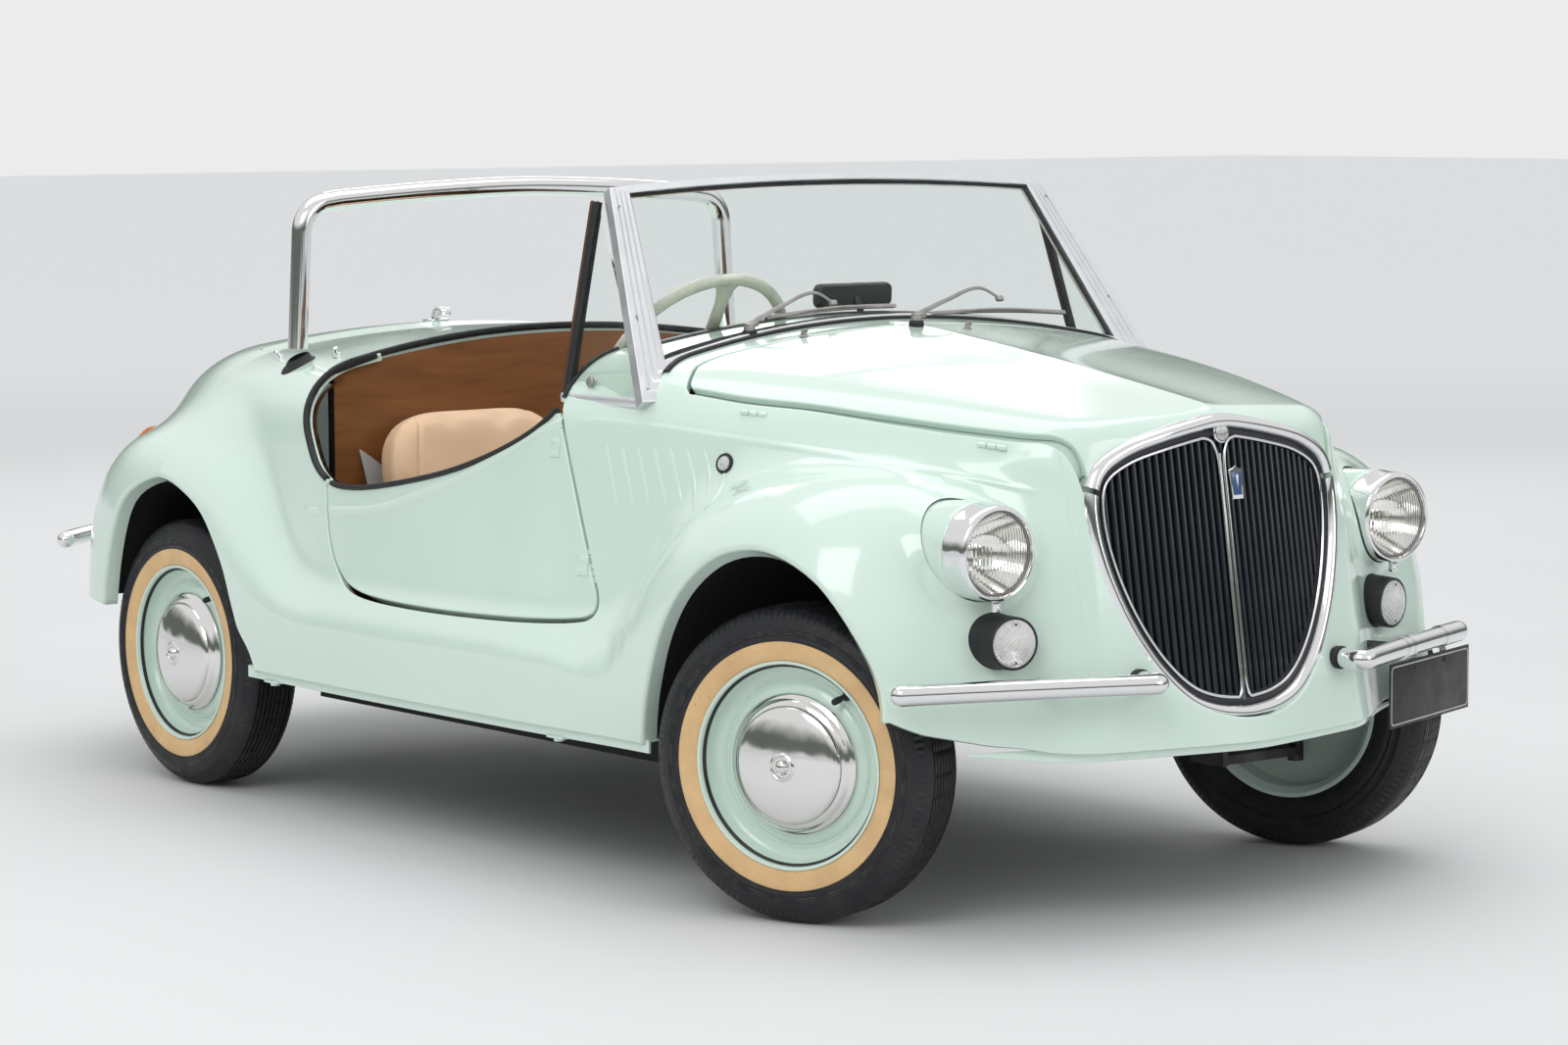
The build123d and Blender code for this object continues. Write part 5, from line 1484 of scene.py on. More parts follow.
def build_grille(slats):
    """The plated band, the upright slats behind it, the beads and the two badges."""
    upper, lower = chrome_band(703.5, 900), chrome_band(0, 696.5)
    pair(lower, "grille_band", "body", *CHROME, ("grille_surround",), sharp=50)
    pair(upper, "grille_crown", "front_lid", *CHROME, ("lid_chrome",), sharp=50)
    mesh = Shape()
    mesh.loft([on_nose(shield_line(inset, 120), ahead) for inset, ahead in (
        (BAND_INSET - 3, -7), (29, -4), (37, -6), (40, -16))], 1, flip=True)
    # Painted shade: a flat near-black sheet closes the grille behind the slats, so the gaps between
    # them read as deep shade.
    line = shield_line(30, 90)
    mesh.loft([on_nose(line, -SLAT_BACK - 6), on_nose(line * (0, 1), -SLAT_BACK - 6)], 2, flip=True)
    bound = shield_line(MESH_INSET - 2, 200)
    pitch = GRILLE_HALF / slats
    section = [(-5.0, -5), (-5.0, 0.6), (-4.3, 3.4), (-2.7, 5.6), (-0.9, 6.4)]
    section = [(-u, v) for u, v in section] + section[::-1]
    for k in range(slats):
        y = -(k + 0.5) * pitch - 1.5
        crosses = bound[:-1, 1][(bound[:-1, 0] - y) * (bound[1:, 0] - y) <= 0]
        if len(crosses) < 2:
            continue
        z = np.linspace(crosses.min() + 1, crosses.max() - 1, 16)
        path = xyz(nose_x(y, z) - SLAT_BACK + 5, y, z)
        mesh.join(swept(path, section, ups=(1, 0, 0.15)))
    pair(mesh, "grille_mesh", "body", ["grille enamel", "black plastic", "arch sealer"],
         "black_slats", ("grille_slats",), sharp=30)
    bead = bar(on_nose(half_bead(), -2.5), 2.6, 10, closed=True)
    strip = np.array([(-0.01, z) for z in np.linspace(350, 742, 30)])
    bead.join(swept(on_nose(strip, -6), rounded(5, 5, 2, 3), ups=(1, 0, 0.15)))
    pair(bead, "grille_beads", "body", *CHROME, sharp=50)
    spot = np.array((0.0, 776.0))
    place = facing(on_nose(spot, 2), (1, 0, NOSE_LEAN))
    badge = turned([(16, -14), (17, -2), (17, 2), (15.2, 3.6), (13.6, 3.6), (13, 2.0)], place, 48)
    badge.join(turned([(13, 2.0), (9, 2.5), (0.01, 2.8)], place, 48, 1))
    for k in range(-4, 5):
        half = math.sqrt(12.4 ** 2 - (2.7 * k) ** 2)
        badge.join(box((1.0, 1.2, 2 * half), 0.3, place @ shifted(2.9, 2.7 * k, 0), 0))
    badge.make("grille_medallion", "front_lid", ["bright plating", "plate silver"], "chrome",
               sharp=35)
    spot = np.array((33.0, 694.0))
    place = facing(on_nose(spot, -SLAT_BACK + 11), (1, -0.03, NOSE_LEAN))
    outline = [(-12, -27), (12, -27), (13.5, 10), (15, 20), (6, 23), (0, 27), (-6, 23), (-15, 20),
               (-13.5, 10)]
    shield = plate_of(outline, 3.2, place, 0)
    shield.join(plate_of([(u * 0.74, v * 0.74 - 1) for u, v in outline], 1.2,
                         place @ shifted(3.1, 0, 0), 1))
    shield.join(plate_of([(-3.2, 12), (3.2, 12), (0, -14)], 1.0, place @ shifted(4.2, 0, 0), 0))
    shield.make("grille_shield", "body", ["bright plating", "badge enamel"], "chrome", sharp=35)


def shifted(x, y, z):
    """A placing matrix that only moves."""
    m = np.eye(4)
    m[:3, 3] = x, y, z
    return m


def plate_of(outline, thickness, place, mat):
    """A flat plate with this (y, z) outline and a chamfered face, along +X of its own frame."""
    pts = np.array(outline, float)
    centre = pts.mean(0)
    rows = []
    for ahead, shrink in ((0, 1.0), (thickness * 0.7, 1.0), (thickness, 0.93)):
        q = centre + (pts - centre) * shrink
        rows.append(xyz(ahead, q[:, 0], q[:, 1]))
    n = len(pts)
    faces = grid_faces(n, 3, wrap_n=True)
    faces += [[i * 3 + 2 for i in range(n)], [i * 3 for i in range(n)][::-1]]
    return Shape().add(np.stack(rows, 1), faces, mat, place=place)


LAMP_X, LAMP_Y, LAMP_Z = front(335), 442.0, 608.0
LENS_RADIUS, LENS_BOW = 63.4, 70


def ring_on_skin(y, z, radius, a):
    """Points where a ring round an axis along X meets the wing's skin."""
    return nose_hit(y + radius * np.cos(a), z + radius * np.sin(a))


def build_headlamps():
    """Pods faired into the wings, plated rims, reflectors, bulbs and fluted lenses."""
    place = facing((LAMP_X, -LAMP_Y, LAMP_Z), (1, 0, 0))
    pod = turned([(70, -185), (76, -120), (78.2, -70), (78.8, -50), (78.4, -44), (75.8, -41),
                  (70, -40)], place, 80)
    a = np.radians(np.linspace(0, 360, 97)[:-1])
    rows = []
    for t in np.linspace(0, 1, 12):
        skin = ring_on_skin(-LAMP_Y, LAMP_Z, 78.6 + 30 * t, a)
        rows.append(skin + (16 * (1 - t) ** 2.4, 0, 0) - 0.5 * t * outward(skin))
    pod.loft(rows, wrap_n=True, flip=True)
    pair(pod, "lamp_bowls", "body", ["body enamel"], "body_paint", ("lamp_pods",), sharp=50)
    ringed = turned([(74.6, -44), (77.2, -42), (77.6, -38), (76.6, -34), (76.2, -16), (76, -9),
                     (76, -2), (75.4, 3), (73.4, 6.4), (70.4, 8.0), (68, 7.4), (66.6, 5.0),
                     (66.2, 0.5), (66, -4)], place, 96, 0)
    ringed.join(turned([(66.3, -2), (66, 2.0), (64.6, 3.4), (63.4, 2.4), (63, -4)], place, 72, 1))
    low = place @ shifted(-2, 0, -79)
    ringed.join(box((9, 13, 20), 2.0, low @ shifted(0, 0, -3), 0))
    ringed.join(screw(4.2, 2.2), low @ shifted(4.6, 0, -6))
    pair(ringed, "lamp_rims", "body", ["bright plating", "dull steel"], "chrome", sharp=40)
    bowl = [(11 + 53.5 * t, -58 + 56 * t ** 2.1) for t in np.linspace(0, 1, 18)]
    optics = turned(bowl[::-1], place, 72, 0)
    optics.join(turned([(11, -58), (10, -46), (8, -45), (0.01, -45)], place, 32, 0))
    optics.join(turned([(5, -38), (7.5, -37), (9, -34), (9, -25), (7.5, -21), (0.01, -20)],
                       place, 28, 1))
    optics.join(turned([(7, -46), (7, -39), (4, -37)], place, 24, 2))
    pair(optics, "lamp_reflectors", "body", ["lamp reflector", "lamp bulb", "dull steel"],
         "chrome", sharp=50)
    lens = Shape()
    rr, aa = np.meshgrid(np.linspace(0, LENS_RADIUS, 26)[::-1],
                         np.linspace(0, 2 * np.pi, 128, endpoint=False))
    y, z = rr * np.cos(aa), rr * np.sin(aa)
    rise = (-4 + 24 * np.sqrt(np.clip(1 - (rr / LENS_BOW) ** 2, 0, 1))
            - 24 * math.sqrt(1 - (LENS_RADIUS / LENS_BOW) ** 2))
    lens.grid(xyz(rise + 6, y, z), 0, place, wrap_n=True)
    flute = np.where(z > -4, 1.0, 0.25) * np.cos(y * 2 * np.pi / 6.5) * 0.35
    flute = flute * np.clip((60 - rr) / 10, 0, 1) * np.clip((np.hypot(y, z + 2) - 14) / 6, 0, 1)
    lens.grid(xyz(rise + 3 + flute, y, z), 0, place, wrap_n=True, flip=True)
    pair(lens, "lamp_lenses", "body", ["lamp lens"], "lamp_glass", ("headlamps",), sharp=0)


def ringed_dome(radius, rise, place, mat, rings=9, n=72):
    """A moulded lens: a low dome with a stepped ring every few millimetres."""
    r = np.linspace(radius, 0.01, rings * 6)
    u = r / radius
    high = rise * (1 - u ** 1.7) + 0.7 * np.abs(np.sin(u * rings * np.pi))
    return turned([(radius, -6), *zip(r, high)], place, n, mat)


def build_small_lamps():
    """The round front indicators and the small side repeaters."""
    tilt = math.radians(12)
    way = np.array([math.cos(tilt), -math.sin(tilt), 0])
    across = (math.sin(tilt), math.cos(tilt), 0)
    base = np.array([front(350.5), -421, 467])
    place = facing(base, way)
    a = np.linspace(0, 2 * np.pi, 73)[:-1]
    rows = []
    for radius, lift in ((45, -3), (44.6, 1.0), (43.4, 2.6)):
        p = ring_on_skin(base[1], base[2], radius, a)
        rows.append(p + lift * outward(p))
    for radius, ahead in ((42.0, 2.6), (40.0, 4.2), (38.4, 3.4), (38, -4)):
        rows.append(base + ahead * way + radius * (np.outer(np.cos(a), across)
                                                   + np.outer(np.sin(a), (0, 0, 1))))
    lamp = Shape().loft(rows, wrap_n=True)
    lamp.join(ringed_dome(37.8, 15, place @ shifted(3.0, 0, 0), 1, 9))
    lamp.join(turned([(37.4, -4), (37, 1), (0.01, 0.4)], place, 40, 2))
    lamp.join(turned([(0.01, 14), (5, 13), (7.5, 9), (5, 5), (0.01, 4)], place, 24, 3))
    for z in (30, -30):
        lamp.join(screw(2.6, 1.4), place @ shifted(7.5, 0, z))
    pair(lamp, "front_indicators", "body",
         ["trim rubber", "clear ribbed lens", "lamp reflector", "lamp bulb"], "clear_lens",
         ("indicators",), sharp=25)
    place = on_flank(797, 718)
    repeater = turned([(17, -4), (17.6, 1.5), (16.6, 4), (14, 5), (12.8, 4), (12.6, 0)], place, 40)
    repeater.join(ringed_dome(12.6, 9, place @ shifted(3.4, 0, 0), 1, 5, 40))
    repeater.join(turned([(12.4, 0), (0.01, 1)], place, 30, 2))
    pair(repeater, "side_repeaters", "body", ["trim rubber", "clear ribbed lens", "lamp reflector"],
         "clear_lens", sharp=25)


def build_tail_lamps():
    """Upright lamps on the tail, amber above red."""
    angle = math.radians(63)
    spot = surface((np.array([rear(-100), 0, 622.0]),
                    np.array([-math.cos(angle), -math.sin(angle), 0])))
    way = outward(spot)
    place = facing(spot, way)
    outline = rounded(50, 116, 20, 8)
    rows = []
    for shrink, ahead in ((1.0, -16), (1.0, 3), (0.96, 5.2), (0.88, 5.4)):
        rows.append(xyz(ahead, outline[:, 0] * shrink, outline[:, 1] * (1 - (1 - shrink) * 0.45)))
    base = Shape().loft(rows, 0, place, wrap_n=True)
    for low, high, mat in ((-1.0, 0.02, 2), (0.04, 1.0, 1)):
        hh, aa = np.meshgrid(np.linspace(low, high, 16), np.linspace(-1, 1, 21), indexing="ij")
        half = 22 * np.sqrt(np.clip(1 - np.abs(hh) ** 5, 0.02, 1))
        rise = 5 + 19 * np.sqrt(np.clip(1 - aa ** 4, 0, 1)) * np.clip(1 - np.abs(hh) ** 6, 0, 1)
        rise = rise + 0.5 * np.cos(hh * 60)
        grid = xyz(rise, aa * half, hh * 53)
        base.grid(grid, mat, place, flip=True)
        for edge, flip in ((0, False), (-1, True)):
            wall = np.stack([grid[edge] * (0, 1, 1) + (4, 0, 0), grid[edge]])
            base.grid(wall, mat, place, flip=flip)
    base.join(box((20, 44, 1.6), 0.6, place @ shifted(13, 0, 1.6), 0))
    pair(base, "tail_lamp_lenses", "body", ["bright plating", "amber lens", "red lens"],
         "amber_red_lens", ("tail_lamps",), sharp=35)


# ------------------------------------------------------------------ bumpers and plates
BUMPER_GAP, BUMPER_RADIUS = 59, 17.0


def bumper_spot(x0, z, angle):
    """The tube's axis where a level ray from station x0 at this angle leaves the skin."""
    a = math.radians(angle)
    p = surface((np.array([x0, 0, z], float), np.array([math.cos(a), -math.sin(a), 0])))
    return p + BUMPER_GAP * unit(outward(p) * (1, 1, 0))


def arc_through(a, b, c, n):
    """n points along the circle's arc from a through b to c."""
    ab, ac = b - a, c - a
    normal = np.cross(ab, ac)
    centre = a + (np.cross(normal, ab) * (ac @ ac) + np.cross(ac, normal) * (ab @ ab)) \
        / (2 * normal @ normal)
    u = unit(a - centre)
    w = unit(np.cross(normal, u))
    end = math.atan2((c - centre) @ w, (c - centre) @ u) % (2 * math.pi)
    t = np.linspace(0, end, n)[:, None]
    return centre + np.linalg.norm(a - centre) * (np.cos(t) * u + np.sin(t) * w)


def quarter_bumper(inner, middle, outer):
    """One tube that turns in at its inner end, and the post behind its middle."""
    line = arc_through(inner, middle, outer, 48)
    inward = np.array([-1.0 if inner[0] > 0 else 1.0, 0, 0])
    start = unit(line[0] - line[1])
    turn = [line[0] + start * 14 * math.sin(t) + inward * 14 * (1 - math.cos(t)) * 1.2
            for t in np.radians(np.linspace(90, 0, 8)[:-1])]
    stay = line[0] + start * 14 + inward * np.linspace(90, 18, 8)[:, None]
    post = [middle, middle - unit(middle * (1, 1, 0)) * 85]
    return (bar(np.vstack([stay, turn, line]), BUMPER_RADIUS, 26),
            bar(post, 9, 16, round_ends=False))


FRONT_BUMPER = (np.array([LENGTH / 2 - 17.2, -236, 399]), bumper_spot(front(0), 399.0, 44),
                bumper_spot(front(0), 399.0, 66))
REAR_BUMPER = (np.array([17.2 - LENGTH / 2, -300, 436]), bumper_spot(rear(-100), 436.0, 138),
               bumper_spot(rear(-100), 436.0, 120))


def build_bumpers():
    tubes, posts = zip(quarter_bumper(*FRONT_BUMPER), quarter_bumper(*REAR_BUMPER))
    pair(group_of(*tubes), "quarter_bumpers", "body", *CHROME, ("bumpers",), sharp=60)
    pair(group_of(*posts), "bumper_posts", "body", ["dark steel"], "cast_iron", sharp=60)
    grommets = Shape()
    for y, z, way in ((-222, 399, 1), (-286, 436, -1)):
        grommets.join(turned([(17.4, -12), (18.6, -10), (19.2, 0), (18.6, 4), (17.2, 5)],
                             facing((way * (LENGTH / 2 - 17.2 - 44), y, z), (way, 0, 0)), 32))
    pair(grommets, "bumper_grommets", "body", ["trim rubber"], sharp=50)


FRONT_PLATE = (LENGTH / 2 - 126, 500, 320)


def build_front_plate():
    """The blank plate hung under the bumper."""
    bearing = math.radians(19)
    way = np.array([math.cos(bearing), math.sin(bearing), 0])
    where = facing(FRONT_PLATE, way)
    plate = box((2.8, 319, 109), 1.2, where, 0)
    plate.join(plate_border(319, 109, where, 1.4, 1))
    for y in (-60, 60):
        plate.join(box((3, 22, 30), 1.0, where @ shifted(-3.4, y, 44), 2))
        plate.join(screw(5, 2.6), where @ shifted(1.4, y, 40))
    plate.make("front_plate_face", "body", ["plate black", "plate silver", "dull steel"],
               "plate_black", ("front_plate",), sharp=35)
    line = arc_through(*FRONT_BUMPER, 60) * (1, -1, 1)
    clamp = Shape()
    for k in (22, 26, 47):
        clamp.join(bar(line[k:k + 2], 19.4, 26, round_ends=False))
    clamp.join(bar(line[48:], 18.6, 26))
    clamp.make("plate_clamps", "body", *CHROME, sharp=50)


# ------------------------------------------------------------------ windscreen and hoop
RAKE = math.radians(32.5)
SCREEN_BASE = np.array([front(-474), 0, 927.0])
SCREEN_UP = np.array([-math.sin(RAKE), 0, math.cos(RAKE)])
SCREEN_OUT = np.array([math.cos(RAKE), 0, math.sin(RAKE)])
SCREEN_TOP = (TOP - 927 - 11 * math.sin(RAKE)) / math.cos(RAKE) - 0.3


def on_screen(y, up, out=0.0):
    """Points this far across, up and ahead of the middle of the screen's foot."""
    y, up, out = np.broadcast_arrays(np.asarray(y, float), up, out)
    return (SCREEN_BASE + y[..., None] * np.array([0, 1.0, 0]) + up[..., None] * SCREEN_UP
            + out[..., None] * SCREEN_OUT)


def cowl_meets_screen(y, out):
    """How far up the screen's plane the cowl's skin lies at these widths."""
    low, high = -190.0 + 0 * y, 60.0 + 0 * y
    for _ in range(30):
        mid = (low + high) / 2
        outside = body_field(on_screen(y, mid, out)) > 0
        high, low = np.where(outside, mid, high), np.where(outside, low, mid)
    return high


HEADER_HALF, GLASS_TOP, GLASS_FOOT, HEADER_DEPTH = 490.0, 452.0, 510.0, 12.0


def screen_lines():
    """Matched points of the frame's outer and inner outlines, and how deep its grooves are."""
    t = SCREEN_TOP
    header = np.linspace(-HEADER_HALF, HEADER_HALF, 49)
    inner_header = header * GLASS_TOP / HEADER_HALF
    side = np.linspace(0, 1, 26)[1:]
    lower = np.linspace(508, -508, 61)
    outer = [np.stack([header, t - 20 * (header / HEADER_HALF) ** 2], -1)]
    inner = [np.stack([inner_header, t - HEADER_DEPTH - 20 * (inner_header / GLASS_TOP) ** 2], -1)]
    grooves = [0 * header]
    low_share, up_share = side[:, None], 1 - side[:, None]
    leg_out = np.array((HEADER_HALF, t - 20)) * up_share + np.array((588, -142)) * low_share
    leg_in = (np.array((GLASS_TOP, t - 20 - HEADER_DEPTH)) * up_share
              + np.array((GLASS_FOOT, -65)) * low_share)
    outer += [leg_out, np.array([(567, -142), (546, -142)])]
    inner += [leg_in, np.array([(GLASS_FOOT, -66), (GLASS_FOOT, -67)])]
    grooves += [np.ones(len(side)), np.zeros(2)]
    outer.append(np.stack([lower, -30 - 72 * (lower / 508) ** 2], -1))
    inner.append(np.stack([lower * GLASS_FOOT / 508, 4 - 69 * (lower / 508) ** 2], -1))
    grooves.append(0 * lower)
    outer += [np.array([(-546, -142), (-567, -142)]), (leg_out * (-1, 1))[::-1]]
    inner += [np.array([(-GLASS_FOOT, -67), (-GLASS_FOOT, -66)]), (leg_in * (-1, 1))[::-1]]
    grooves += [np.zeros(2), np.ones(len(side))]
    return np.vstack(outer), np.vstack(inner), np.concatenate(grooves)


ALUMINIUM = ["frame aluminium"], "aluminium_frame"
PANE = ["screen glass"], "window_glass"
STEEL = ["dull steel"], None


def build_windscreen():
    """The grooved frame, its seals, the pane and the screws."""
    outer, inner, grooves = screen_lines()
    section = [(0, -10.5, 0), (0, 9.6, 0), (0.03, 10.5, 0), (0.22, 10.5, 0), (0.25, 7.2, 3),
               (0.30, 7.2, 3), (0.33, 10.5, 0), (0.46, 10.5, 0), (0.49, 7.2, 3), (0.53, 7.2, 3),
               (0.56, 10.5, 0), (0.69, 10.5, 0), (0.72, 7.2, 3), (0.77, 7.2, 3), (0.80, 10.5, 0),
               (0.96, 10.5, 0), (1, 9.4, 0), (1, -9.4, 0), (0.96, -10.5, 0), (0.5, -10.5, 0)]
    rows = []
    for share, high, cut in section:
        line = outer + (inner - outer) * share
        rows.append(on_screen(line[:, 0], line[:, 1], high + cut * (1 - grooves) * 1.1))
    Shape().loft(rows, wrap_n=True, wrap_m=True).make(
        "screen_frame", "body", *ALUMINIUM, ("windscreen_frame",), sharp=28)
    seal_line = inner + 1.5 * unit(inner.mean(0) - inner)
    path = on_screen(seal_line[:, 0], seal_line[:, 1])
    keep = np.r_[True, np.linalg.norm(np.diff(path, axis=0), axis=1) > 4]
    seal = swept(path[keep], rounded(11, 4, 1.8, 4), closed=True)
    y = np.linspace(-520, 520, 70)
    for out in (13.5, -14.0):
        base = on_screen(y, cowl_meets_screen(y, out), out)
        seal.join(swept(base + 1.0 * outward(base), rounded(11, 9, 3.5, 4), ups=outward(base)))
    seal.make("screen_seals", "body", ["trim rubber"], sharp=45)
    v = np.linspace(0, 1, 12)[:, None]
    u = np.linspace(-1, 1, 40)[None]
    low_up, top_up = 4 - 69 * u ** 2, SCREEN_TOP - HEADER_DEPTH - 20 * u ** 2
    gy = u * (GLASS_FOOT + (GLASS_TOP - GLASS_FOOT) * v) * 0.9985
    gz = low_up * (1 - v) + top_up * v
    pane = sheet_pair(on_screen(gy, gz, 2.4), on_screen(gy, gz, -2.4))
    pane.make("screen_pane", "body", *PANE, ("window_glass",), sharp=30)
    build_quarter_panes()
    screws = Shape()
    for share, up in ((0.62, -118), (0.5, 20), (0.4, 235)):
        half = HEADER_HALF + (588 - HEADER_HALF) * (SCREEN_TOP - 20 - up) / (SCREEN_TOP + 122)
        for side in (-1, 1):
            at = on_screen(side * (half - 14), up, 10.4)
            screws.join(screw(2.8, 1.3), facing(at, SCREEN_OUT))
    screws.make("screen_screws", "body", *STEEL, sharp=35)


def sheet_pair(a, b):
    """Two matched grids of points joined round their edges into one thin sheet."""
    n, m = a.shape[:2]
    border = ([(i, 0) for i in range(n)] + [(n - 1, j) for j in range(1, m)]
              + [(i, m - 1) for i in range(n - 2, -1, -1)] + [(0, j) for j in range(m - 2, 0, -1)])
    edge = np.array([[a[i], b[i]] for i in border])
    return Shape().grid(a).grid(b, flip=True).grid(edge, wrap_n=True)


def build_quarter_panes():
    """The small three-cornered panes behind the screen, with rubbers and rails."""
    rear_foot = np.array((front(-604), -588, 812.0))
    front_foot = np.array((front(-404), -574, 812.0))
    peak = np.array((front(-634), -500, 1142.0))
    normal = unit(np.cross(front_foot - rear_foot, peak - rear_foot))
    normal = normal if normal[1] < 0 else -normal
    v = np.linspace(0, 1, 10)[:, None, None]
    u = np.linspace(0, 1, 8)[None, :, None]
    grid = (rear_foot * (1 - u) + front_foot * u) * (1 - v) + peak * v * 0.999
    pane = sheet_pair(grid, grid - 4.5 * normal)
    pair(pane, "quarter_panes", "body", *PANE, sharp=30)
    post, rail_way = peak - rear_foot, front_foot - rear_foot
    seal = swept(rear_foot + post * np.linspace(-0.01, 0.985, 40)[:, None] - normal * 2,
                 rounded(14, 13, 3, 4), ups=normal)
    seal.join(bar(rear_foot + post * np.linspace(0, 0.98, 40)[:, None] - unit(rail_way) * 9
                  + normal * 2, 4.0, 10, mat=1))
    pair(seal, "quarter_pane_rubbers", "body", ["trim rubber", "mottled rubber"], sharp=45)
    along = rear_foot + rail_way * np.linspace(-0.05, 0.97, 24)[:, None]
    rail = swept(along - (0, 0, 4) - normal * 2, rounded(15, 13, 2, 3), ups=(0, 0, 1))
    rail.join(swept(along - (0, 0, 1) + normal * 5.4, rounded(9, 2, 0.8, 3), ups=normal))
    for share in (0.1, 0.88):
        at = rear_foot + rail_way * share + normal * 6.6 - (0, 0, 1)
        rail.join(screw(2.6, 1.2), facing(at, normal))
    pair(rail, "quarter_pane_rails", "body", *ALUMINIUM, sharp=35)
    catch = turned([(9, 0), (9, 3), (7, 5), (0.01, 5.5)], facing(
        rear_foot * 0.72 + front_foot * 0.28 + (0, 5, 26), normal), 24)
    pair(catch, "quarter_pane_catches", "body", *STEEL, sharp=35)


def build_wipers():
    """Both wipers, parked, and the washer jets."""
    shape = Shape()
    arc = np.linspace(-1.4, 1.4, 30)
    for pivot, joint, ends in (((558, -306), (-111, 21), ((-264, 5), (29, 18))),
                               ((655, -16), (270, 16), ((102, -1), (415, -11)))):
        foot = top_hit(*pivot)
        way = outward(foot)
        place = facing(foot, way, (1, 0, 0))
        shape.join(turned([(13, -3), (13.5, 3), (12, 9), (10, 11)], place, 32, 1))
        shape.join(turned([(10, 8), (10, 16), (8.5, 19), (0.01, 20)], place, 28, 0))
        shape.join(box((9, 26, 15), 3.5, place @ shifted(19, -5, 0), 0))
        start = foot + 20 * way
        elbow = on_screen(joint[0] - 42, joint[1] + 22, 25.0)
        grip = on_screen(joint[0], joint[1] + 6, 15.0)
        line = spline([start, start * 0.6 + elbow * 0.4 + (8, 0, 7), elbow, grip], 30)
        shape.join(swept(line, rounded(7, 3.2, 1.2, 3), ups=SCREEN_OUT,
                         scale=np.linspace(1.35, 0.8, 30)))
        y = np.linspace(ends[0][0], ends[1][0], 30)
        up = np.linspace(ends[0][1], ends[1][1], 30) + 5 * np.cos(arc)
        blade = on_screen(y, up, 10.5 + 2.5 * np.cos(arc))
        shape.join(swept(blade, rounded(7.5, 2.4, 1.0, 3), ups=SCREEN_OUT))
        shape.join(swept(blade - 4.6 * SCREEN_OUT, rounded(3.2, 6.5, 1.4, 3), ups=SCREEN_OUT,
                         mat=1))
        bow = on_screen(y[5:25], up[5:25], 12 + 6 * np.cos(np.linspace(-1.5, 1.5, 20)))
        shape.join(swept(bow, rounded(4, 2.2, 0.8, 3), ups=SCREEN_OUT))
        shape.join(box((8, 15, 10), 2.0, facing(grip - SCREEN_OUT, SCREEN_OUT)))
    shape.make("wipers", "body", ["dull steel", "trim rubber"], "chrome", sharp=35)
    jets = Shape()
    lean = rotated(-38, "Y")
    for x, y in ((631.0, -246.0), (696.0, 65.0)):
        place = on_top(x, y)
        jets.join(turned([(8, -2), (8, 1.5), (5.5, 3), (4.4, 9), (3.5, 11), (0.01, 11.5)], place,
                         24))
        for dy in (-3.6, 3.6):
            jets.join(turned([(2.2, 0), (2.2, 9), (0.8, 9.5)], place @ shifted(6, dy, 0) @ lean,
                             12))
    jets.make("washer_jets", "body", ["dull steel"], "chrome", sharp=35)


HOOP_TOP, HOOP_BEND = 1143, 60


def hoop_line():
    """The roll hoop's axis: two legs, two rounded corners and a slightly bowed top."""
    corners = np.array([(-510, 846), (-494, 1118), (0, HOOP_TOP), (494, 1118), (510, 846)])
    bends = []
    for k in (1, 3):
        before, after = unit(corners[k - 1] - corners[k]), unit(corners[k + 1] - corners[k])
        turn = math.acos(float(before @ after))
        centre = corners[k] + unit(before + after) * HOOP_BEND / math.sin(turn / 2)
        a0, a1 = (corners[k] + way * (HOOP_BEND / math.tan(turn / 2)) - centre
                  for way in (before, after))
        bends.append([centre + HOOP_BEND * unit(a0 * (1 - t) + a1 * t)
                      for t in np.linspace(0, 1, 12)])
    cross = np.linspace(-420, 420, 24)
    bow = np.stack([cross, HOOP_TOP - 25 * (np.abs(cross) / 494) ** 1.6], -1)
    pts = np.vstack([corners[:1], bends[0], bow, bends[1], corners[4:]])
    return xyz(rear(252), pts[:, 0], pts[:, 1])


def build_hoop():
    """The roll hoop with its boots, the deck hook and the hood studs."""
    line = hoop_line()
    bar(line, 18.9, 30, round_ends=False).make("hoop_tube", "body", *CHROME, ("roll_hoop",),
                                               sharp=60)
    feet = Shape()
    a = np.radians(np.linspace(0, 360, 41)[:-1])
    for side in (-1, 1):
        feet.loft([top_hit(line[0][0] + r * np.cos(a), side * 509 + r * np.sin(a)) + (0, 0, lift)
                   for r, lift in ((19.2, 14), (22.5, 11), (25, 5), (31, 2.5), (34, -3))],
                  wrap_n=True)
    feet.make("hoop_boots", "body", ["trim rubber"], sharp=60)
    hook = on_top(rear(-43), 0.0)
    piece = box((5, 46, 30), 2.0, hook @ shifted(2, 0, 0))
    curl = [(3, 0, -6), (10, 0, 0), (22, 0, 8), (26, 0, 24), (20, 0, 36), (12, 0, 38)]
    piece.join(swept(spline(curl, 30), rounded(22, 4, 1.6, 3), ups=(0.6, 0, 1), place=hook))
    for y in (-16, 16):
        piece.join(screw(3.6, 1.8), hook @ shifted(4.5, y, 0))
    piece.make("deck_hook", "body", *CHROME, sharp=40)
    clips = Shape()
    for x, y in ((rear(300), -455.0), (rear(120), -470.0)):
        place = on_top(x, y)
        clips.join(turned([(8, -1), (8, 2), (5.5, 3.5), (4.5, 9), (6.5, 11), (5, 14), (0.01, 15)],
                          place, 24))
    pair(clips, "hood_studs", "body", *CHROME, sharp=40)


# ------------------------------------------------------------------ cabin
WHEEL_MID = np.array(JOINTS["steering_wheel_turn"]["pos_m"]) / MM
WHEEL_AXIS = np.array(JOINTS["steering_wheel_turn"]["axis"])
WHEEL_RADIUS = 178


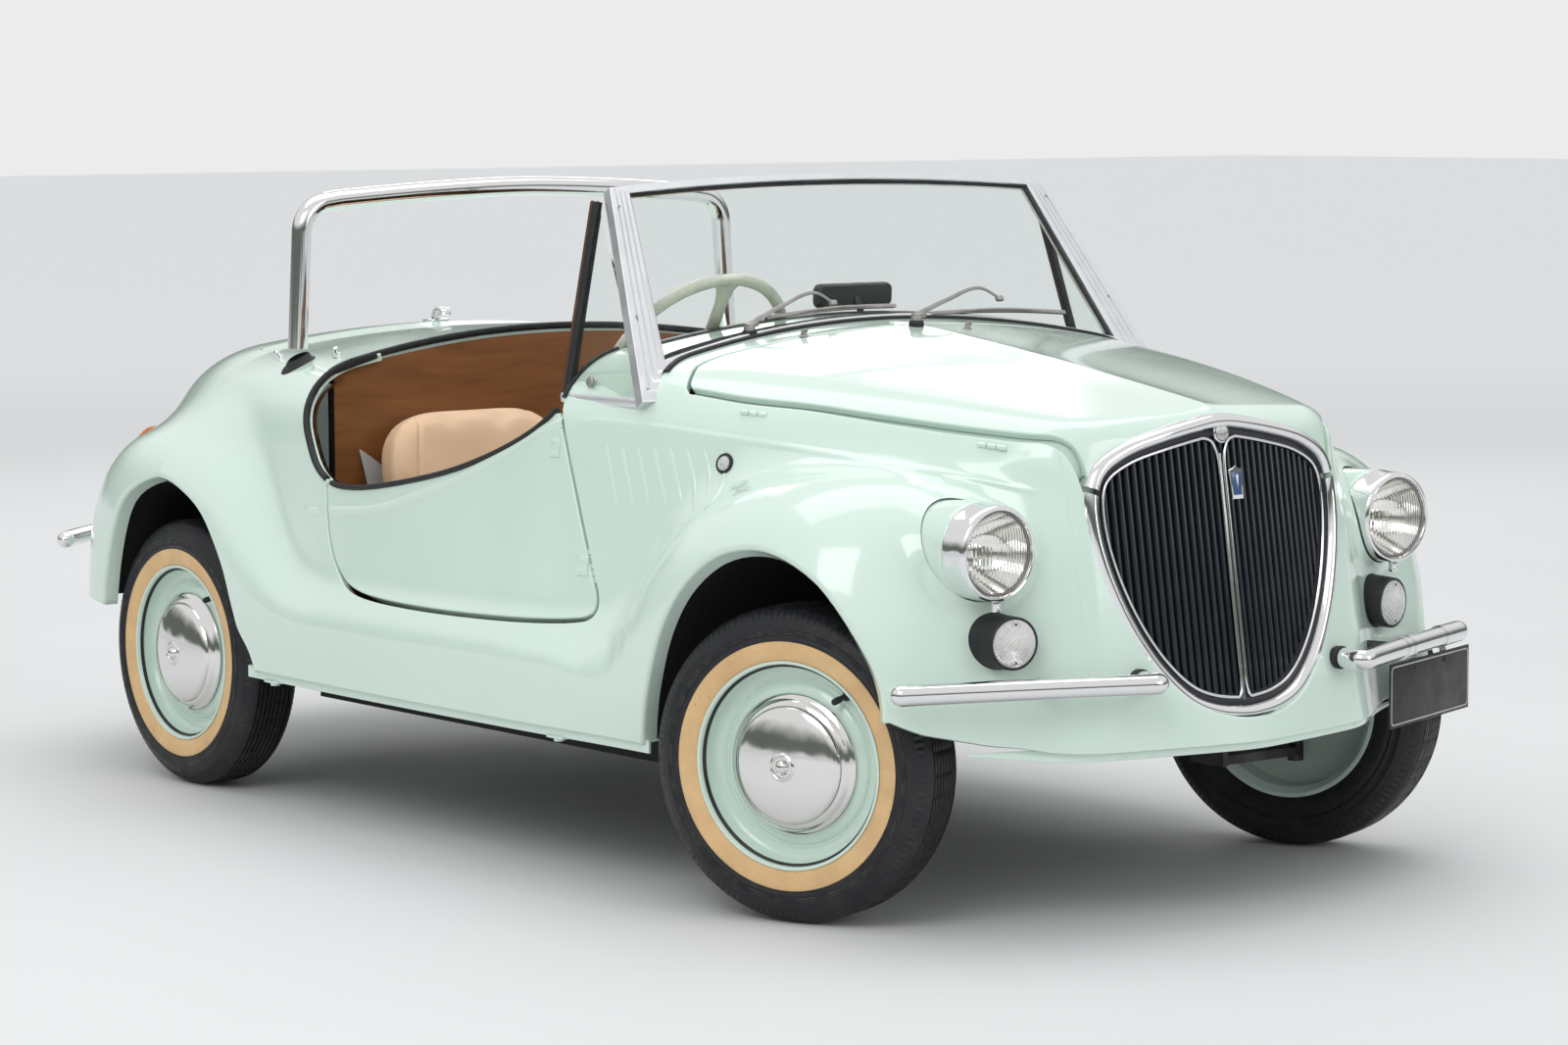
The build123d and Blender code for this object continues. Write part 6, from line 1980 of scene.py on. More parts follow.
def build_steering():
    """The thin-rimmed steering wheel and its column."""
    place = facing(WHEEL_MID, WHEEL_AXIS)
    a = np.linspace(0, 2 * np.pi, 145)[:-1]
    path = xyz(0, WHEEL_RADIUS * np.cos(a), WHEEL_RADIUS * np.sin(a))
    thick = 1 - 0.03 * (0.5 + 0.5 * np.cos(36 * a))
    rim = swept(path, ring(10.8, 18, 0.94), ups=(1, 0, 0), closed=True, scale=thick, place=place)
    for way in (1, -1):
        z = np.linspace(20, 173, 26)
        width = np.interp(z, [20, 60, 128, 158, 173], [40, 30, 27, 38, 64])
        depth = np.interp(z, [20, 60, 173], [13, 9, 10])
        ahead = np.interp(z, [20, 90, 173], [-18, -9, 0])
        t = np.linspace(0, 2 * np.pi, 19)[:-1]
        spoke = xyz(ahead[:, None] + depth[:, None] / 2 * np.sin(t),
                    width[:, None] / 2 * np.cos(t), way * z[:, None])
        rim.grid(spoke, 0, place, wrap_m=True)
    rim.join(turned([(24, -40), (30, -30), (33, -16), (32, -6), (28, 2), (24, 4)], place, 48, 0))
    rim.join(turned([(26, 2), (25.5, 5), (23, 6.5), (21.5, 5)], place, 48, 1))
    rim.join(turned([(22, 3), (20, 7), (13, 10), (0.01, 11.5)], place, 48, 0))
    rim.make("steering_wheel_rim", "steering_wheel", ["cream bakelite", "bright plating"],
             "cream_plastic", ("steering_wheel",), sharp=50)
    far = WHEEL_MID - WHEEL_AXIS * 385
    column = bar([WHEEL_MID - WHEEL_AXIS * 42, far], 18.6, 26, round_ends=False)
    column.join(turned([(19, -30), (26, -28), (27, 0), (26, 26), (20, 30)],
                       facing(WHEEL_MID - WHEEL_AXIS * 82, WHEEL_AXIS), 36))
    for side in (-1, 1):
        start = WHEEL_MID - WHEEL_AXIS * 80
        end = start + np.array((10, side * 125, 10))
        column.join(bar(spline([start, start * 0.5 + end * 0.5 + (0, 0, 4), end], 14), 3.4, 10))
        column.join(swept([end - (0, side * 4, 0), end + (1, side * 10, 1), end + (2, side * 22, 2)],
                          ring(7, 14), scale=[0.7, 1, 0.7]))
    column.make("column_tube", "body", ["black plastic"], "seat_metal", ("steering_column",),
                sharp=50)


def rotated(degrees, axis):
    """A placing matrix that only turns."""
    return np.array(Matrix.Rotation(math.radians(degrees), 4, axis))


def dial(place, radius):
    """A round instrument with a plated bezel, plain ticks and a needle."""
    shape = turned([(radius + 4, -6), (radius + 5, 0), (radius + 4, 4), (radius + 1, 5.5),
                    (radius - 1, 4), (radius - 1.5, 1)], place, 64, 0)
    shape.join(turned([(radius - 1, 0.4), (0.01, 0.4)], place, 48, 1))
    for k in range(41):
        turn = -130 + 6.5 * k
        a = math.radians(turn)
        long = 8 if k % 5 == 0 else 4
        r = radius - 5 - long / 2
        spot = place @ shifted(0.9, -r * math.sin(a), r * math.cos(a)) @ rotated(turn, "X")
        shape.join(box((0.6, 1.3, long), 0.2, spot, 2))
    spot = place @ rotated(-70, "X") @ shifted(2, 0, radius * 0.32)
    shape.join(box((0.8, 1.6, radius * 0.85), 0.3, spot, 2))
    shape.join(turned([(5, 0.5), (4.5, 3), (0.01, 3.6)], place, 20, 0))
    return shape


def build_dash():
    """The dashboard, its hood, instruments, knobs and grab rail, and the mirror."""
    y = np.linspace(-528, 528, 60)
    top = top_hit(front(-556), y)[:, 2] - 16
    x0, x1 = front(-568), front(-545)
    rows = np.stack([xyz(x, y, z) for x, z in (
        (x0, top), (x0 - 4, top - 8), (x0 - 3, 790), (x0, 742), (x0 + 9, 733), (x1, 731),
        (x1, top))], 1)
    panel = Shape().grid(rows, wrap_m=True, flip=True)
    panel.add(rows[0], [list(range(7))])
    panel.add(rows[-1], [list(range(6, -1, -1))])
    panel.join(swept(xyz(x0 - 3, y, 788), ring(4, 12), mat=1))
    panel.make("dash_panel", "body", ["brown vinyl", "bright plating"], "brown_trim", ("dashboard",),
               sharp=40)
    face = facing((x0 - 5, -292, 846), (-1, 0, 0.12))
    hood = turned([(60, -16), (62, 4), (60, 26), (57, 27), (56, 4), (55, -4)], face, 64, 0)
    hood.make("instrument_hood", "body", ["black plastic"], "brown_trim", sharp=40)
    dials = dial(face, 50)
    for dy in (98, 156):
        dials.join(dial(facing((x0 - 5, -292 + dy, 842), (-1, 0, 0.12)), 20))
    dials.make("instruments", "body", ["bright plating", "black plastic", "cream bakelite"],
               "chrome", sharp=35)
    knobs = Shape()
    for dy in (0, 34, 68, 102, 136):
        knobs.join(turned([(4, -4), (4, 8), (8, 11), (9, 15), (7.5, 19), (0.01, 20)],
                          facing((x0 - 3, -60 + dy, 764), (-1, 0, 0)), 24))
    knobs.make("dash_knobs", "body", ["black plastic"], "brown_trim", sharp=40)
    rail = bar(spline([(x0 - 4, 200, 820), (x0 - 34, 205, 822), (x0 - 40, 225, 823),
                       (x0 - 40, 400, 823), (x0 - 34, 420, 822), (x0 - 4, 425, 820)], 60), 7, 16)
    rail.make("grab_rail", "body", *CHROME, sharp=60)
    mirror_place = facing((430, 25, 964), (-1, 0, 0.05))
    outline = rounded(170, 44, 13, 7)
    rows = []
    for shrink, ahead in ((0.80, -13), (0.94, -10), (1.0, -3), (1.0, 4), (0.97, 6), (0.94, 6)):
        rows.append(xyz(ahead, outline[:, 0] * (1 - (1 - shrink) * 0.3), outline[:, 1] * shrink))
    mirror = Shape().loft(rows, 0, mirror_place, wrap_n=True)
    whole = list(range(len(outline)))
    mirror.add(xyz(5, outline[:, 0] * 0.985, outline[:, 1] * 0.94), [whole], 1, place=mirror_place)
    mirror.add(xyz(-13, outline[:, 0] * 0.94, outline[:, 1] * 0.8), [whole[::-1]], 0,
               place=mirror_place)
    mirror.join(bar([(442, 25, 958), (450, 25, 944), (458, 25, 928)], 6, 12))
    mirror.join(turned([(15, -3), (15, 2), (9, 5), (7, 7)], upright(456, 25, 924), 24))
    mirror.make("mirror", "body", ["black plastic", "lamp reflector"], "brown_trim", sharp=40)


def upright(x, y, z):
    """A placing matrix whose +X points straight up."""
    return facing((x, y, z), (0, 0, 1), (1, 0, 0))


def side_card(bottom):
    """The lining card inside the right flank, under the cockpit's edge."""
    panel = Panel(side_rays(np.linspace(0.12, 0.82, 170), np.linspace(bottom, RAY_HEIGHT + 200, 60)))
    for field in (all_of(above(0, rear(402)), below(0, front(-332))), above(2, bottom),
                  without(side_outline(COCKPIT, 4)), without(side_outline(DOOR_OUTLINE, 9))):
        panel.keep(field, edge=0)
    return panel.card(26, 16)


def build_lining():
    """Side cards, the rear wall, mats, the gear lever and the pedals."""
    card = side_card(272)
    card.make("side_card_right", "body", *CARD)
    card.mirrored().make("side_card_left", "body", *CARD)
    y = np.linspace(-528, 528, 60)
    top = top_hit(rear(400), y)[:, 2] - 12
    zs = 222 + (top - 222)[:, None] * np.linspace(0, 1, 14)
    wall = Shape().grid(xyz(rear(402) + 4, y[:, None], zs), flip=True)
    wall.m = [int(zs[k // 13, 13] - zs[k // 13, k % 13] < 22) for k in range(59 * 13)]
    wall.make("rear_wall_card", "body", *CARD, sharp=50)
    mats = Shape()
    for side in (-1, 1):
        y0, y1 = sorted((side * 82, side * 540))
        gx, gy = np.meshgrid(np.linspace(rear(640), front(-334), 70), np.linspace(y0, y1, 40),
                             indexing="ij")
        gz = 219.5 + 1.2 * np.cos(gy * 0.35)
        mats.grid(xyz(gx, gy, gz), flip=side > 0)
        mats.join(box((300, 190, 5), 2, shifted(front(-520), side * 300, 224)))
    tunnel = np.linspace((rear(404), 0, 284), (front(-332), 0, 284), 30)
    mats.join(swept(tunnel, rounded(156, 132, 22, 6), ups=(0, 0, 1)))
    mats.make("floor_mats", "body", ["floor matting"], "floor_paint", sharp=40)
    lever = bar(spline([(rear(880), 0, 352), (rear(895), 0, 430), (rear(880), 0, 505)], 20), 5, 12)
    lever.join(turned([(6, -8), (14, -4), (17, 5), (15, 14), (8, 19), (0.01, 20)],
                      upright(rear(880), 0, 512), 28, 1))
    lever.join(turned([(34, -10), (30, 4), (20, 14), (9, 22), (7, 26)],
                      upright(rear(880), 0, 350), 28, 1))
    lever.join(bar([(rear(760), 30, 356), (rear(690), 30, 378), (rear(640), 30, 402)], 7, 12,
                   mat=1))
    lever.make("gear_lever", "body", ["bright plating", "black plastic"], "chrome", sharp=50)
    build_belts()
    pedals = Shape()
    for y in (-380, -300, -215):
        pedals.join(box((6, 52, 44), 2.4, facing((front(-385), y, 330), (-1, 0, 0.5))))
        pedals.join(bar([(front(-378), y, 326), (front(-350), y, 300), (front(-336), y, 262)], 6,
                        10))
    pedals.make("pedals", "body", ["trim rubber"], sharp=50)


def build_belts():
    """The belts' straps and guides."""
    strap = Shape()
    for side in (-1, 1):
        top = np.array((rear(329), side * 478, 806.0))
        line = spline([top + (10, 0, -4), top + (22, -side * 6, -40), (rear(392), side * 456, 690),
                       (rear(424), side * 440, 560), (rear(432), side * 425, 470)], 40)
        strap.join(swept(line, rounded(46, 2.0, 0.8, 3), ups=(1, -0.2 * side, 0.3)))
    strap.make("belt_straps", "body", ["belt webbing"], sharp=50)
    guide = Shape()
    for side in (-1, 1):
        place = facing((rear(344), side * 476, 800), (1, 0, 0.25))
        outline = rounded(66, 26, 9, 5)
        path = xyz(0, outline[:, 0], outline[:, 1])
        guide.join(swept(path, ring(3.4, 10), ups=(1, 0, 0), closed=True, place=place))
        guide.join(turned([(12, -10), (13, -3), (12, 3), (6, 5), (0.01, 5.5)],
                          place @ shifted(-3, 0, 22), 28))
        guide.join(box((26, 34, 58), 6, facing((rear(430), side * 425, 440), (1, 0, 0))))
    guide.make("belt_guides", "body", ["black plastic"], "brown_trim", sharp=40)


# ------------------------------------------------------------------ seats
SEAT_Y = 270.0


def pillow(size, pinch, n=18):
    """A crowned cushion form, centred, whose sides pull in between its corners."""
    bm = bmesh.new()
    bmesh.ops.create_cube(bm, size=2)
    bmesh.ops.subdivide_edges(bm, edges=bm.edges[:], cuts=n - 1, use_grid_fill=True)
    out = []
    for v in bm.verts:
        q = np.array(v.co)
        q = q / max((np.abs(q) ** 5).sum() ** (1 / 5), 1e-6)
        side = 1 - pinch * (1 - np.abs(q[[1, 0, 0]]) ** 2) * np.array([1, 1, 0.0])
        out.append(q * side * np.array(size) / 2)
    faces = [[v.index for v in f.verts] for f in bm.faces]
    bm.verts.index_update()
    bm.free()
    return np.array(out), faces


def remeshed(obj, voxel):
    remesh = obj.modifiers.new("even", "REMESH")
    remesh.mode, remesh.voxel_size = "VOXEL", voxel
    apply_modifiers(obj)


SWELL_LIMIT, STUFFING_PRESSURE, CLOTH_FRAMES = 0.006, 2.5, 20


def swell(obj):
    """Fills the piece like stuffing with the cloth solver, then fixes the result in its mesh."""
    scene = bpy.context.scene
    before = np.empty(len(obj.data.vertices) * 3)
    obj.data.vertices.foreach_get("co", before)
    cloth = obj.modifiers.new("stuffing", "CLOTH")
    s = cloth.settings
    s.quality = 5
    s.mass = 0.3
    s.tension_stiffness = s.compression_stiffness = 18
    s.bending_stiffness = 0.6
    s.use_pressure = True
    s.uniform_pressure_force = STUFFING_PRESSURE
    s.effector_weights.gravity = 0
    cloth.point_cache.frame_start, cloth.point_cache.frame_end = 1, CLOTH_FRAMES
    for f in range(1, CLOTH_FRAMES + 1):
        scene.frame_set(f)
    apply_modifiers(obj)
    scene.frame_set(1)
    after = np.empty_like(before)
    obj.data.vertices.foreach_get("co", after)
    move = (after - before).reshape(-1, 3)
    length = np.linalg.norm(move, axis=1)
    move *= (np.minimum(length, SWELL_LIMIT) / np.maximum(length, 1e-9))[:, None]
    obj.data.vertices.foreach_set("co", (before.reshape(-1, 3) + move).ravel())


def apply_modifiers(obj):
    """Fixes what the modifiers make in the object's own mesh."""
    deps = bpy.context.evaluated_depsgraph_get()
    mesh = bpy.data.meshes.new_from_object(obj.evaluated_get(deps), depsgraph=deps)
    obj.modifiers.clear()
    obj.data = mesh


def seat_piece(name, size, place, pinch, seams, form, replaces, low, high):
    """One padded piece: swollen form, shaped, seamed, and kept between low and high."""
    verts, faces = pillow(size, pinch)
    mesh = bpy.data.meshes.new(name)
    mesh.from_pydata((verts * MM).tolist(), [], faces)
    obj = bpy.data.objects.new(name, mesh)
    bpy.context.scene.collection.objects.link(obj)
    bpy.context.view_layer.update()
    remeshed(obj, 0.0075)
    swell(obj)
    subdivide = obj.modifiers.new("smooth", "SUBSURF")
    subdivide.levels = subdivide.render_levels = 1
    bpy.context.view_layer.update()
    apply_modifiers(obj)
    co = np.empty(len(obj.data.vertices) * 3)
    obj.data.vertices.foreach_get("co", co)
    v = np.clip(seams(form(co.reshape(-1, 3) / MM)), low, high)
    v = v @ place[:3, :3].T + place[:3, 3]
    obj.data.vertices.foreach_set("co", (v * MM).ravel())
    obj.data.polygons.foreach_set("use_smooth", [True] * len(obj.data.polygons))
    obj.data.materials.clear()
    obj.data.materials.append(material("seat leather"))
    obj.data.update()
    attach(obj, "body")
    if replaces:
        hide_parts(*replaces)


def valley(d, half):
    """A soft groove's section, deepest where d is 0."""
    return np.exp(-(d / half) ** 2)


def cushion_form(v):
    """Falls a little to the front edge and dips where one sits."""
    x, y, z = v.T
    dip = 9 * np.exp(-((x + 30) / 120) ** 2 - (y / 130) ** 2) * (z > 0)
    return xyz(x, y, z - dip)


def cushion_seams(v):
    """A cross seam ahead of the back, seams beside the middle panel and a piped edge."""
    x, y, z = v.T
    depth = 5.0 * valley(x + 96, 3.2) * (np.abs(y) < 164) + 6.0 * valley(np.abs(y) - 168, 3.2)
    z = z - np.where(z > 8, depth, 0)
    wall = (np.abs(z - 12) < 14) & ((np.abs(y) > 178) | (np.abs(x) > 178))
    inset = np.where(wall, 3.2 * valley(z - 16, 2.6), 0)
    return xyz(x, y, z) - inset[:, None] * unit(xyz(x * 0.9, y, 0))


def back_form(v):
    """Along its own up axis Z: rounded shoulders, and a slight hollow for the back."""
    x, y, z = v.T
    narrow = 1 - 0.16 * np.clip((z - 20) / 155, 0, 1) ** 2.2 - 0.03 * np.clip(-z / 175, 0, 1)
    hollow = 8 * np.exp(-(y / 110) ** 2) * np.exp(-((z + 10) / 130) ** 2) * (x > 0)
    return xyz(x - hollow, y * narrow, z)


def back_seams(v):
    """A seam down each side of the front face and of the rear face."""
    x, y, z = v.T
    border = 5.0 * valley(np.abs(y) - (150 - 34 * np.clip(z / 175, 0, 1) ** 2), 3.0)
    depth = np.where(x > 4, border, 0)
    rear_seam = np.where(x < -4, 3.0 * valley(np.abs(y) - 120, 3.0), 0)
    return xyz(x - depth + rear_seam, y, z)


def build_seats():
    """Two seats, each a padded cushion and back, and their tubes."""
    for side, tag in ((-1, "right"), (1, "left")):
        place = shifted(-27.5, side * SEAT_Y, 394.0)
        seat_piece("cushion_" + tag, (388, 416, 76), place, 0.045, cushion_seams, cushion_form,
                   ("seat_cushions",) if side < 0 else (), (-202, -214.5, -45.7), (202, 214.5, 46))
        place = shifted(-240.0, side * SEAT_Y, 410.0) @ rotated(-14, "Y") @ shifted(-40.0, 0, 175.0)
        seat_piece("backrest_" + tag, (70, 420, 340), place, 0.04, back_seams, back_form,
                   ("seat_backs",) if side < 0 else (), (-39.8, -214.5, -174.5), (39.8, 214.5, 174.5))
    frames = Shape()
    for side in (-1, 1):
        y = side * SEAT_Y
        for dy in (-150, 150):
            frames.join(bar([(rear(620), y + dy, 338), (front(-880), y + dy, 338)], 9, 14))
            frames.join(swept([(rear(590), y + dy, 226), (front(-910), y + dy, 226)],
                              rounded(30, 14, 3, 3)))
            for x in (rear(640), front(-920)):
                frames.join(bar([(x, y + dy, 232), (x, y + dy, 334)], 8, 12, round_ends=False))
        for x in (rear(620), front(-880)):
            frames.join(bar([(x, y - 150, 338), (x, y + 150, 338)], 9, 14))
    frames.make("seat_tubes", "body", ["dark steel"], "seat_metal", ("seat_frames",), sharp=60)


# ------------------------------------------------------------------ wheels
HUBS = {}
for corner in ("front_right", "front_left", "rear_right", "rear_left"):
    joint = JOINTS["spin_" + corner]
    side = -1 if corner.endswith("right") else 1
    HUBS[corner] = facing(np.array(joint["pos_m"]) / MM, side * np.array(joint["axis"], float))


def cut_groove(profile, where, width, depth):
    """Adds a square groove to a (radius, along) outline that runs along the tread."""
    out = []
    for (r0, x0), (r1, x1) in zip(profile, profile[1:]):
        out.append((r0, x0))
        if x0 > where >= x1:
            r = np.interp(where, (x1, x0), (r1, r0))
            half = width / 2
            out += [(r, where + half), (r - depth, where + half - 0.6),
                    (r - depth, where - half + 0.6), (r, where - half)]
    return out + [profile[-1]]


def tyre_outline():
    wall = [(157.8, 47), (158.5, 50), (161, 52), (165, 52.6), (167, 53.2), (168.2, 56),
            (169.5, 57.6), (176, 59.8), (184, 61.9), (192, 63.2), (198.5, 63.7), (200.2, 62.9),
            (201.2, 61.8), (205, 62.6), (207, 63.6), (209, 62.4), (214, 62.6), (220, 62.2),
            (222, 63), (224, 61.8), (231, 60.4), (236, 58), (241, 54.6), (246, 50.4), (250, 46),
            (252.6, 41), (254, 36)]
    half = wall + [(255, 30), (255, 20), (255, 8), (255, 0)]
    for where, width in ((33, 3.2), (24, 3.0), (14, 3.4), (4.5, 3.0)):
        half = cut_groove(half, where, width, 5.0)
    return half + [(r, -x) for r, x in reversed(half[:-1])]


def build_tyres(sipes):
    """Four tyres with grooved, siped treads and a cream band on each outer wall."""
    outline = np.array(tyre_outline())
    inner = [(158, -47), (170, -46), (205, -54), (238, -44), (238, 44), (205, 54), (170, 46),
             (158, 47)]
    profile = np.vstack([outline, inner])
    n = 2 * sipes
    verts, faces = lathe(profile, n, closed=True)
    verts = verts.reshape(n, len(profile), 3)
    r, x = profile[:, 0], profile[:, 1]
    outer = np.arange(len(r)) < len(outline)
    shoulder = (r > 233) & (r < 253) & (np.abs(x) > 42) & outer
    blocks = (r > 254.5) & (np.abs(x) < 32) & outer
    verts[::2, shoulder, 1:] *= (1 - 1.9 / r[shoulder])[None, :, None]
    verts[::2, shoulder, 0] -= 1.3 * np.sign(x[shoulder])
    verts[::6, blocks, 1:] *= (1 - 2.2 / r[blocks])[None, :, None]
    middle = [profile[np.array(f) % len(profile)].mean(0) for f in faces[:len(profile)]]
    band = [int(167.4 < a < 200.4 and b > 50) for a, b in middle]
    for corner, hub in HUBS.items():
        tyre = Shape().add(verts.reshape(-1, 3), faces, 0, place=hub)
        tyre.m = band * n
        for radius, wide in ((213, 0.9), (217.5, 0.7)):
            tyre.join(turned([(radius + wide, 62.0), (radius + wide * .6, 63.2),
                              (radius - wide * .6, 63.2), (radius - wide, 62.0)], hub, 120, 0))
        tyre.make("tread_" + corner, "wheel_" + corner, ["tyre rubber", "cream tyre band"], "tyre",
                  ("tyre_" + corner,), sharp=35)


def build_wheels():
    """Discs, rims, domed caps and valves at the four corners."""
    face = [(167.5, 55.4), (168.4, 57.2), (168, 58.8), (165.8, 59.4), (163.6, 58.4), (162.4, 55),
            (161.4, 48), (160.4, 40), (159, 32), (156, 26), (152, 22.4), (147, 20.6), (141, 20),
            (136.5, 20.6), (134.6, 21.8), (133.2, 20.4), (131.8, 20.2), (130.6, 22.2), (128, 24.6),
            (122, 27.6), (116, 30.2), (111, 31.6), (104, 32.4), (94, 33)]
    barrel = [(94, 26), (112, 26), (130, 12), (145, 8), (150, -4), (153, -30), (157, -50),
              (162, -50), (166.8, -54), (167.5, 55.4)]
    inner = [(168.4, -57.2), (167, -59.4), (161, -58), (151, -46), (148, -8), (128, 8), (95, 20),
             (60, 18), (24, 18), (24, 26)]
    cap = [(112, 33.2), (114.2, 35), (114.6, 37.5), (112.5, 40), (108.5, 42), (105.5, 44.6),
           (103, 47.8), (99.5, 50), (96.5, 51.6), (95, 54.6), (92.4, 57.4), (86, 60.4), (76, 64),
           (62, 67.9), (46, 71.2), (32, 73.2), (23, 74), (21.5, 75.8), (19.5, 76.6), (17.6, 75.4),
           (16.4, 73.4), (13, 73.6), (11, 76.2), (8.6, 80.4), (5, 82.4), (0.01, 82.9)]
    for corner, hub in HUBS.items():
        wheel = turned(face + [(60, 33), (60, 26)], hub, 144)
        wheel.join(turned(barrel, hub, 96, 1))
        wheel.join(turned(inner, hub, 96))
        wheel.join(turned([(166.8, -54), (168.4, -57.2)], hub, 96))
        wheel.make("rim_" + corner, "wheel_" + corner, ["wheel enamel", "arch sealer"],
                   "wheel_paint", ("wheel_" + corner,), sharp=32)
        turned(cap, hub, 144).make("cap_" + corner, "wheel_" + corner, ["hub plating"], "chrome",
                                   sharp=34)
        a = math.radians(38)
        foot = np.array((22.0, 0, 0)) + 144 * np.array((0, math.sin(a), math.cos(a)))
        stem = bar([foot, foot + (9, 0, 0), foot + (19, -4, -4)], 4.6, 14)
        stem.join(bar([foot + (17, -3, -3), foot + (27, -6, -6)], 5.6, 12))
        stem.join(turned([(7.5, -3), (7.5, 1), (5, 2.5)], facing(foot, (1, 0, 0)), 20))
        Shape().join(stem, hub).make("valve_" + corner, "wheel_" + corner, ["trim rubber"], sharp=45)


def finish_chassis():
    """Material for the frame's own pieces that stay in view under and inside the car."""
    looks = {node: look for look, nodes in (
        ("arch sealer", ("floor_pan", "front_bulkhead", "rear_bulkhead")),
        ("cast metal", ("engine_block",)),
        ("dark steel", ("front_spring", "rear_arms", "knuckle_left", "knuckle_right")))
        for node in nodes}
    for node, look in looks.items():
        obj = frame["nodes"][node]
        obj.data.materials.clear()
        obj.data.materials.append(material(look))
        obj.data.polygons.foreach_set("use_smooth", [True] * len(obj.data.polygons))
        obj.data.set_sharp_from_angle(angle=math.radians(30))


# ------------------------------------------------------------------ stage
FLOOR_HALF = 60.0


def build_stage():
    """The pale floor, soft lamps, backdrop and camera."""
    scene = bpy.context.scene
    floor_mesh = bpy.data.meshes.new("studio_floor")
    corners = [(u * FLOOR_HALF, v * FLOOR_HALF, -0.001) for u, v in ((-1, -1), (1, -1), (1, 1),
                                                                   (-1, 1))]
    floor_mesh.from_pydata(corners, [], [(0, 1, 2, 3)])
    floor = bpy.data.objects.new("studio_floor", floor_mesh)
    g = shade("studio floor", Base_Color=(0.80, 0.80, 0.80, 1), Roughness=0.6,
                         Specular_IOR_Level=0.2)
    where = g.place()
    # Painted light: the floor's colour grows paler with distance from the car, from about 0.72 close
    # by to 0.97 beyond 14 m. It stands in for light, so the far floor fades into the backdrop.
    painted_light_fade = g.span(g.node("VectorMath", {0: where}, operation="LENGTH").outputs["Value"], 2.5, 14.0)
    tone = g.mix(g.span(g.noise(0.4, where, 2.0), 0.3, 0.7), (0.71, 0.71, 0.71, 1),
                 (0.74, 0.74, 0.74, 1))
    g.put(g.bsdf.inputs["Base Color"], g.mix(painted_light_fade, tone, (0.97, 0.97, 0.97, 1)))
    floor_mesh.materials.append(g.mat)
    scene.collection.objects.link(floor)
    for name, place, aim, width, height, watts in (
            ("key", (3.5, -5.2, 5.2), (0.2, 0, 0.5), 4.0, 3.0, 125),
            ("top", (-0.4, 0.3, 5.6), (0, 0, 0), 6.0, 3.6, 105),
            ("front", (7.0, 1.8, 2.8), (1.0, 0, 0.5), 2.6, 2.6, 45),
            ("back", (-5.5, 4.2, 3.6), (0, 0, 0.6), 3.0, 2.0, 50)):
        lamp = bpy.data.lights.new(name, "AREA")
        lamp.shape, lamp.size, lamp.size_y, lamp.energy = "RECTANGLE", width, height, watts
        obj = bpy.data.objects.new(name, lamp)
        way = np.array(aim) - np.array(place)
        obj.matrix_world = Matrix.Translation(place) @ Vector(way).to_track_quat(
            "-Z", "Y").to_matrix().to_4x4()
        scene.collection.objects.link(obj)
    world = bpy.data.worlds.new("studio")
    world.use_nodes = True
    scene.world = world
    g = Graph(world.node_tree)
    back = world.node_tree.nodes["Background"]
    path = g.node("LightPath")
    seen = g.math("MAXIMUM", path.outputs["Is Camera Ray"],
                  g.math("MAXIMUM", path.outputs["Is Glossy Ray"],
                         path.outputs["Is Transmission Ray"]))
    way = g.node("TexCoord").outputs["Generated"]
    height = g.math("ADD", g.node("SeparateXYZ", {0: way}).outputs[2],
                    g.math("MULTIPLY", g.math("SUBTRACT", g.noise(5.0, way, 3.0), 0.5), 0.16))
    band = g.math("MULTIPLY", g.span(height, -0.02, 0.03), g.span(height, 0.36, 0.16))
    mirrored = g.math("MULTIPLY", band, path.outputs["Is Glossy Ray"])
    pale = g.mix(seen, (0.82, 0.84, 0.86, 1), (0.84, 0.84, 0.84, 1))
    g.put(back.inputs["Color"], g.mix(mirrored, pale, (0.13, 0.15, 0.13, 1)))
    g.put(back.inputs["Strength"], g.span(seen, 0, 1, 0.9, 1.0))
    place_camera(scene)
    scene.view_settings.view_transform = "Standard"
    scene.view_settings.look = "None"
    scene.render.resolution_x, scene.render.resolution_y = 1600, 1066


CAMERA_AT, CAMERA_LENS = (6.38565, -4.83146, 1.31722), 99.254


def place_camera(scene):
    """Looks along this yaw and pitch, with a slight roll."""
    yaw, pitch, roll = (math.radians(a) for a in (141.726, -5.645, -0.269))
    ahead = Vector((math.cos(pitch) * math.cos(yaw), math.cos(pitch) * math.sin(yaw),
                    math.sin(pitch)))
    right = Vector((math.sin(yaw), -math.cos(yaw), 0))
    up = right.cross(ahead)
    side = right * math.cos(roll) + up * math.sin(roll)
    over = up * math.cos(roll) - right * math.sin(roll)
    cam = bpy.data.cameras.new("camera")
    cam.lens, cam.sensor_width, cam.sensor_fit = CAMERA_LENS, 36.0, "HORIZONTAL"
    cam.clip_end = 300
    obj = bpy.data.objects.new("camera", cam)
    m = Matrix.Identity(4)
    for k, v in enumerate((side, over, -ahead)):
        m.col[k][:3] = v
    m.col[3][:3] = CAMERA_AT
    obj.matrix_world = m
    scene.collection.objects.link(obj)
    scene.camera = obj


# ------------------------------------------------------------------ add-on
def colour(name, description, default):
    return bpy.props.FloatVectorProperty(name=name, description=description, subtype="COLOR",
                                         size=3, min=0, max=1, default=default)


class RoadsterPaint(bpy.types.PropertyGroup):
    body: colour("Body colour", "Enamel of the body and the wheels", (0.66, 0.80, 0.71))
    band: colour("Tyre band colour", "Coloured band on the tyres' outer walls", (0.74, 0.50, 0.25))
    leather: colour("Seat colour", "Leather of the seats", (0.86, 0.60, 0.39))
    trim: colour("Trim colour", "Vinyl of the side cards and the dashboard", (0.27, 0.105, 0.030))


